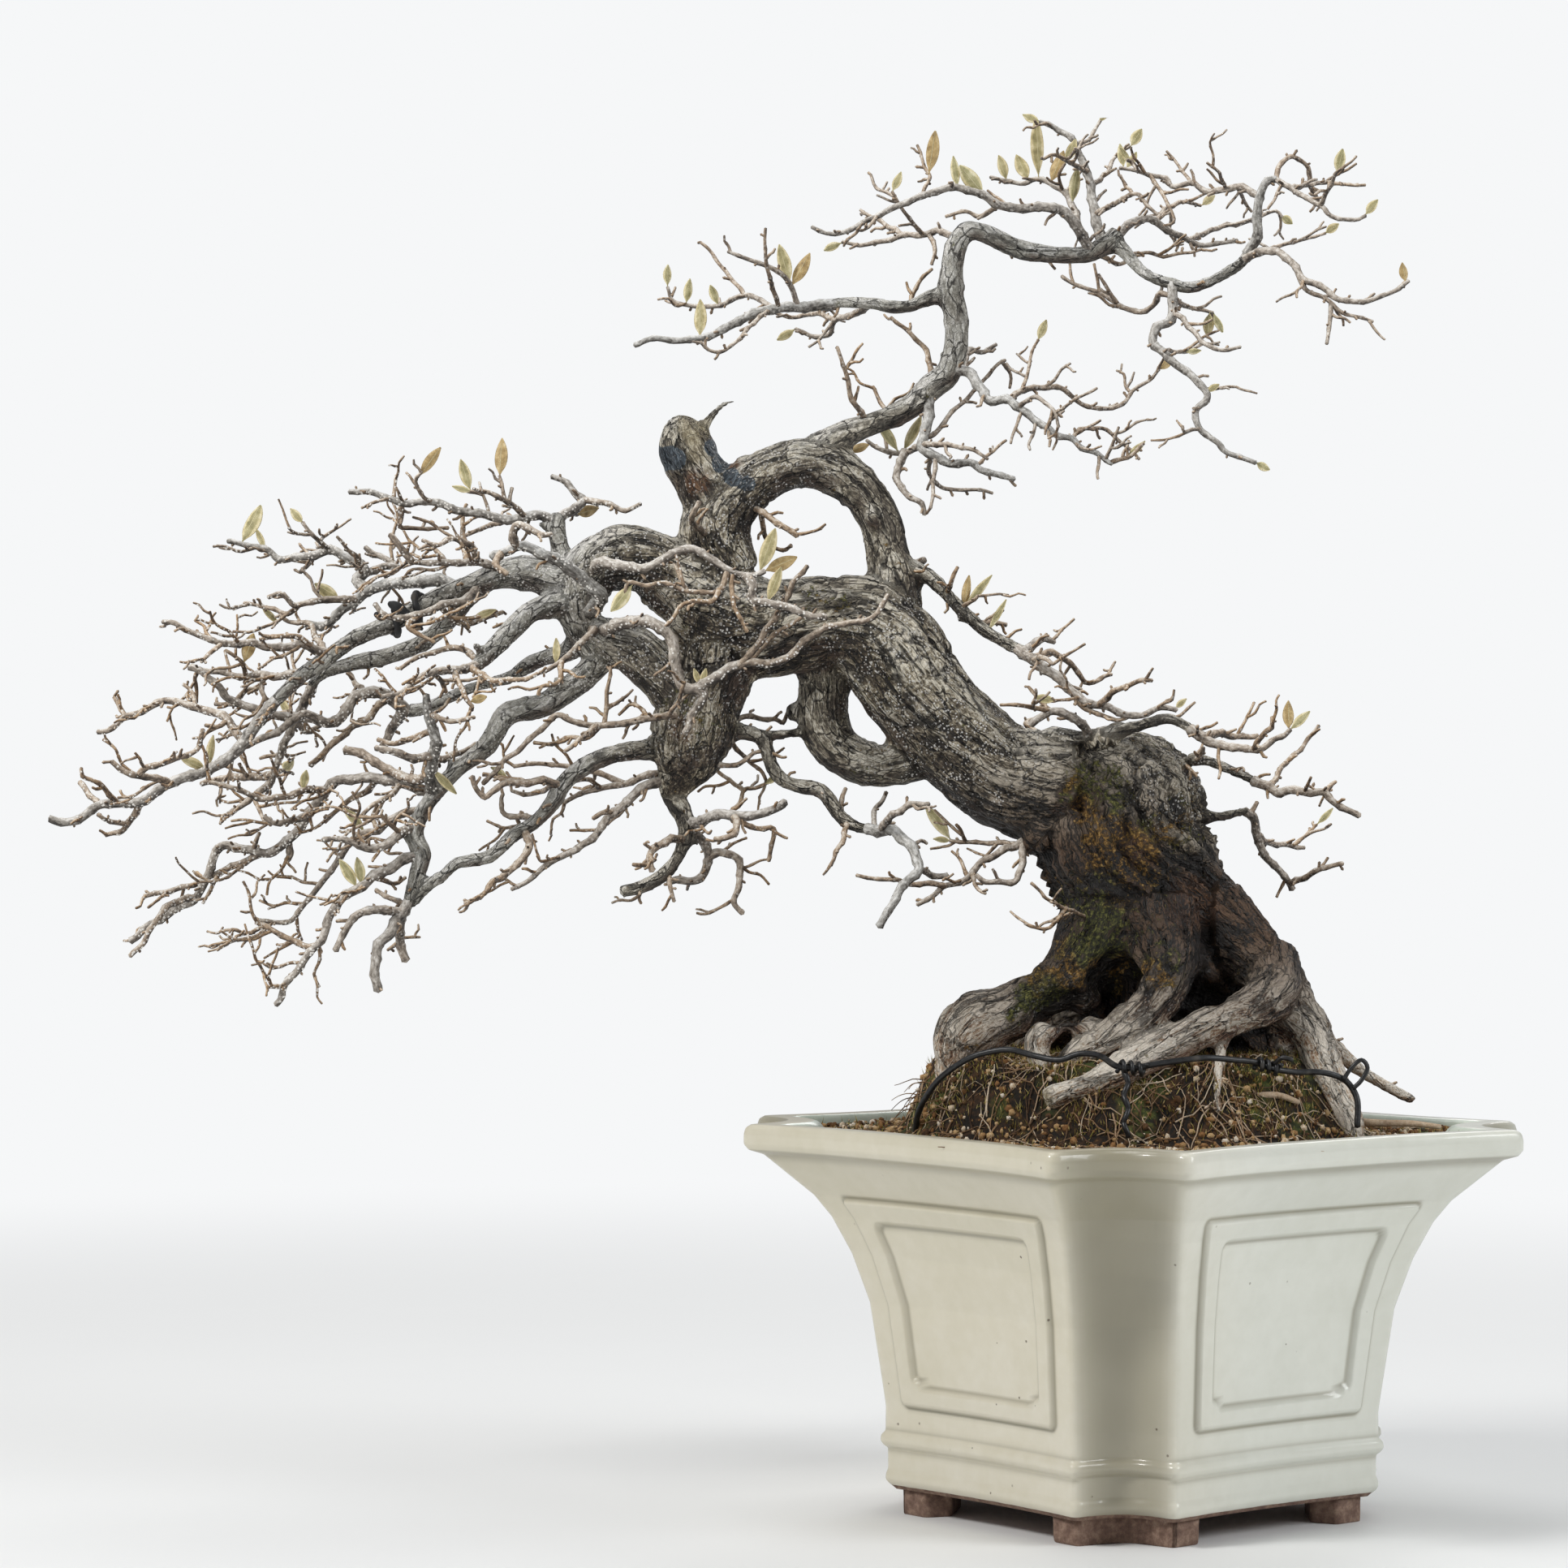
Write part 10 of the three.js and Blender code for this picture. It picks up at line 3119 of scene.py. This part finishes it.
@dataclass
class TieWire:
    """The plastic-covered wire that holds the tree in its pot, with its knots.

    A knot is a strand wound round a stretch of the wire, and a strand is its reach, its turns and
    its radius. The loop and the tail are the wire's bent and cut ends.
    """

    sight: Sight
    radius: float = 1.5
    end_radius: float = 1.1
    tail_radius: float = 1.2
    drop_strand: Triple = (1.0, 2.5, 1.3)
    knot_strand: Triple = (2.6, 3.5, 1.1)
    knots: tuple[tuple[Triple, Triple], ...] = (((-7, -90, 219), (7, -90, 217)),
                                                ((61, -70, 220.5), (73, -68, 217)))
    loop: tuple[Triple, ...] = ((104, -59, 212), (108, -60, 218), (113, -60, 222), (116, -60, 218),
                                (113, -60, 212), (109, -60, 208))
    tail: tuple[Triple, ...] = ((70, -70, 220), (74, -73, 223), (79, -74, 222))

    def _path(self, route: Iterable[Triple], step: float, radius: float) -> Array:
        """Return rows on a route of x, depth and z.

        Args:
            route: The route.
            step: Length between rows, about.
            radius: Their radius.

        Returns:
            Rows of place and radius.
        """
        places = np.array(route, float)
        rows = curve(self.sight.seen(np.column_stack([places, np.ones(len(places))])), step)
        rows[:, 3] = radius
        return rows

    @staticmethod
    def _coil(shell: Shell, rows: Array, reach: float, turns: float, thick: float) -> None:
        """Add a strand wound round a path: the path plus reach x (cos, sin) of an even turn.

        Args:
            shell: The mesh that it is added to.
            rows: Rows of place and radius along the path.
            reach: How far from the path the strand lies.
            turns: How often it goes round, below 0 the other way.
            thick: Its radius.
        """
        _, side, up = carried(rows[:, :3])
        gone = travelled(rows[:, :3])
        angle = 2 * math.pi * turns * gone / gone[-1]
        coil = rows.copy()
        coil[:, :3] += reach * (np.cos(angle)[:, None] * side + np.sin(angle)[:, None] * up)
        coil[:, 3] = thick
        shell.tube(coil, 10)

    def build(self, material: bpy.types.Material) -> None:
        """Make the wire, its hanging twisted ends and its knots.

        Args:
            material: Its finish.
        """
        shell = Shell()
        shell.tube(self._path(WIRE_ROUTE, 2.0, self.radius), 12)
        drop = self._path(WIRE_DROP, 0.8, self.radius)
        reach, turns, thick = self.drop_strand
        for hand in (1, -1):
            self._coil(shell, drop, reach, hand * turns, thick)
        for start, end in self.knots:
            middle = tuple((a + b) / 2 for a, b in zip(start, end))
            self._coil(shell, self._path((start, middle, end), 0.5, self.radius), *self.knot_strand)
        shell.tube(self._path(self.loop, 1.5, self.end_radius), 8)
        shell.tube(self._path(self.tail, 1.0, self.tail_radius), 8)
        shell.build("wire_tie", [material], "wire", "tie_wire")


@dataclass
class Strap:
    """The rubber tie that is wound around the left limb, with its knob and its loose tongue.

    The knob and the tongue are rows of x, depth, z and radius.
    """

    sight: Sight
    limb: str = "left_main"
    start: float = -370.0
    end: float = -347.0
    turns: float = 2.25
    steps: int = 8
    radius: float = 1.7
    gap: float = 0.3
    fine_steps: int = 28
    knob: tuple[tuple[float, ...], ...] = ((-366, 1, 447, 1.3), (-364, -1, 446, 2.4),
                                           (-361, -2, 444.5, 2.6), (-358, -2, 443, 1.6))
    tongue: tuple[tuple[float, ...], ...] = ((-358, -2, 443, 1.5), (-355, -3, 440, 1.4),
                                             (-352, -3, 437, 1.3), (-350, -2, 434, 0.9))

    def stops(self, steps: int | None = None) -> Array:
        """Return stops round the limb: its middle, plus its radius and the tie's, evenly turned.

        Args:
            steps: Stops in each turn; as many as the solid has, if none is given.

        Returns:
            Rows of place and radius.
        """
        steps = steps or self.steps
        count = round(self.turns * steps)
        line = np.array(LIMBS[self.limb], float)
        rows = []
        for i in range(count + 1):
            x = self.start + (self.end - self.start) * i / count
            at = int(np.argmax(line[:, 0] < x))
            a, b = line[at - 1], line[at]
            centre = a + (b - a) * (x - a[0]) / (b[0] - a[0])
            out = unit(np.array([b[2] - a[2], 0, a[0] - b[0]]))
            angle = 2 * math.pi * i / steps
            reach = (centre[3] + self.gap + self.radius) / math.cos(math.pi / steps)
            place = self.sight.seen(centre)[0, :3] + out * reach * math.cos(angle)
            place[1] += reach * math.sin(angle)
            rows.append([*place, self.radius])
        return np.array(rows)

    def build(self, material: bpy.types.Material) -> None:
        """Make the tie, whose radius swells and narrows by a cosine of its length.

        Args:
            material: Its finish.
        """
        shell = Shell()
        rows = curve(self.stops(self.fine_steps), 1.0)
        gone = travelled(rows[:, :3])
        rows[:, 3] = self.radius * (1 - 0.12 * np.cos(gone * 1.1))
        shell.tube(rows, 12)
        for line in (self.knob, self.tongue):
            shell.tube(curve(self.sight.seen(np.array(line, float)), 0.8), 10)
        shell.build("rubber_tie", [material], "strap", "branch_strap")


# Floor, light and camera

@dataclass(frozen=True)
class Lamp:
    """A square soft light at a place, turned to its aim, in metres and watts."""

    name: str
    place: Triple
    aim: Triple
    size: float
    watts: float
    colour: Colour = (1.0, 1.0, 1.0)

    def build(self) -> None:
        """Add the light."""
        lamp = bpy.data.lights.new(self.name, "AREA")
        lamp.size = self.size
        lamp.energy = self.watts
        lamp.color = self.colour
        piece = bpy.data.objects.new(self.name, lamp)
        piece.location = self.place
        way = Vector(self.aim) - Vector(self.place)
        piece.rotation_euler = way.to_track_quat("-Z", "Y").to_euler()
        bpy.context.scene.collection.objects.link(piece)


@dataclass(frozen=True)
class Studio:
    """A pale floor, soft light from the upper left and the front view's camera."""

    sight: Sight
    lens: float = 106.2
    sensor: float = 36.0
    reach: float = 40.0
    floor_rings: tuple[float, ...] = (0.01, 0.5, 1.0, 2.0, 4.0, 9.0)
    floor_sides: int = 64
    ambient: float = 0.3
    lamps: tuple[Lamp, ...] = (
        Lamp("key", (-1.9, -1.2, 2.3), (0.1, 0, 0.3), 0.7, 50, (1.0, 0.985, 0.965)),
        Lamp("fill", (2.2, -1.0, 1.5), (0.1, 0, 0.3), 1.1, 27, (0.96, 0.98, 1.0)),
        Lamp("top", (-0.3, 0.6, 2.6), (0, 0, 0.4), 1.2, 16),
        Lamp("back", (0.9, 2.4, 1.9), (0.1, 0, 0.3), 1.2, 15),
    )

    def floor(self) -> None:
        """Make the floor: a flat round sheet of rings, each at reach x (cos, sin) of a turn."""
        turn = np.linspace(0, 2 * math.pi, self.floor_sides + 1)[:-1]
        rings = np.array(self.floor_rings)
        x = rings[:, None] * np.cos(turn)
        y = rings[:, None] * np.sin(turn)
        places = np.dstack([x, y, np.zeros_like(x)]).reshape(-1, 3)
        index = np.arange(len(places)).reshape(len(rings), self.floor_sides)
        after = np.roll(index, -1, axis=1)
        quads = np.stack([index[:-1], index[1:], after[1:], after[:-1]], -1).reshape(-1, 4)
        mesh = bpy.data.meshes.new("floor")
        mesh.from_pydata(places.tolist(), [], [index[0].tolist(), *quads.tolist()])
        mesh.materials.append(Floor().build())
        piece = bpy.data.objects.new("floor", mesh)
        bpy.context.scene.collection.objects.link(piece)

    def backdrop(self) -> None:
        """Give the world the backdrop's colour, dimmer as a light than it shows."""
        scene = bpy.context.scene
        world = scene.world or bpy.data.worlds.new("backdrop")
        scene.world = world
        world.use_nodes = True
        tree = world.node_tree
        background = tree.nodes["Background"]
        background.inputs["Color"].default_value = (*BACKDROP, 1)
        level = tree.nodes.new("ShaderNodeMapRange")
        level.inputs["To Min"].default_value = self.ambient
        seen = tree.nodes.new("ShaderNodeLightPath").outputs["Is Camera Ray"]
        tree.links.new(seen, level.inputs["Value"])
        tree.links.new(level.outputs["Result"], background.inputs["Strength"])

    def camera(self) -> None:
        """Make the camera, level at the front view's eye."""
        scene = bpy.context.scene
        lens = bpy.data.cameras.new("front_view")
        lens.sensor_width = self.sensor
        lens.lens = self.lens
        lens.clip_end = self.reach
        camera = bpy.data.objects.new("front_view", lens)
        camera.location = (self.sight.x / 1000 + AXIS_X, -self.sight.distance / 1000,
                           self.sight.z / 1000)
        camera.rotation_euler = (math.pi / 2, 0, 0)
        scene.collection.objects.link(camera)
        scene.camera = camera

    def build(self) -> None:
        """Make the floor, the lights, the backdrop and the camera."""
        bpy.context.scene.view_settings.view_transform = "Standard"
        self.floor()
        self.backdrop()
        for lamp in self.lamps:
            lamp.build()
        self.camera()


def recolour(node: str, material: bpy.types.Material) -> None:
    """Give a solid whose shape is right a better material."""
    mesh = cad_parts[node].data
    mesh.materials.clear()
    mesh.materials.append(material)


def main() -> None:
    """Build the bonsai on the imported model, piece by piece."""
    logging.basicConfig(level=logging.INFO, format="%(message)s", stream=sys.stdout)
    sight = Sight()
    Studio(sight).build()
    strap = Strap(sight)
    layout = Layout(sight, Wood(sight))
    layout.lay(strap.stops())
    bark, twig, leaf = Bark().build(), TwigBark().build(), Leaf().build()
    Trunk(sight).build(layout, bark, twig, leaf)
    foliage = Foliage(layout)
    for node in SPRAYS:
        foliage.build(node, twig, leaf)
    pot = Pot()
    pot.build(Glaze().build())
    soil = Soil(pot, sight)
    soil.surface(Earth(Ground.SOIL).build())
    soil.grit(Earth(Ground.GRIT, 700.0, 0.85).build())
    soil.moss(Earth(Ground.MOSS, 500.0).build())
    soil.roots(Earth(Ground.FIBRE, 600.0, 0.9).build())
    TieWire(sight).build(Plastic("black_wire", 0.3).build())
    strap.build(Plastic("black_rubber", 0.55).build())
    recolour("drain_mesh", Plastic("black_mesh", 0.5).build())
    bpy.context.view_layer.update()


if __name__ == "__main__":
    main()
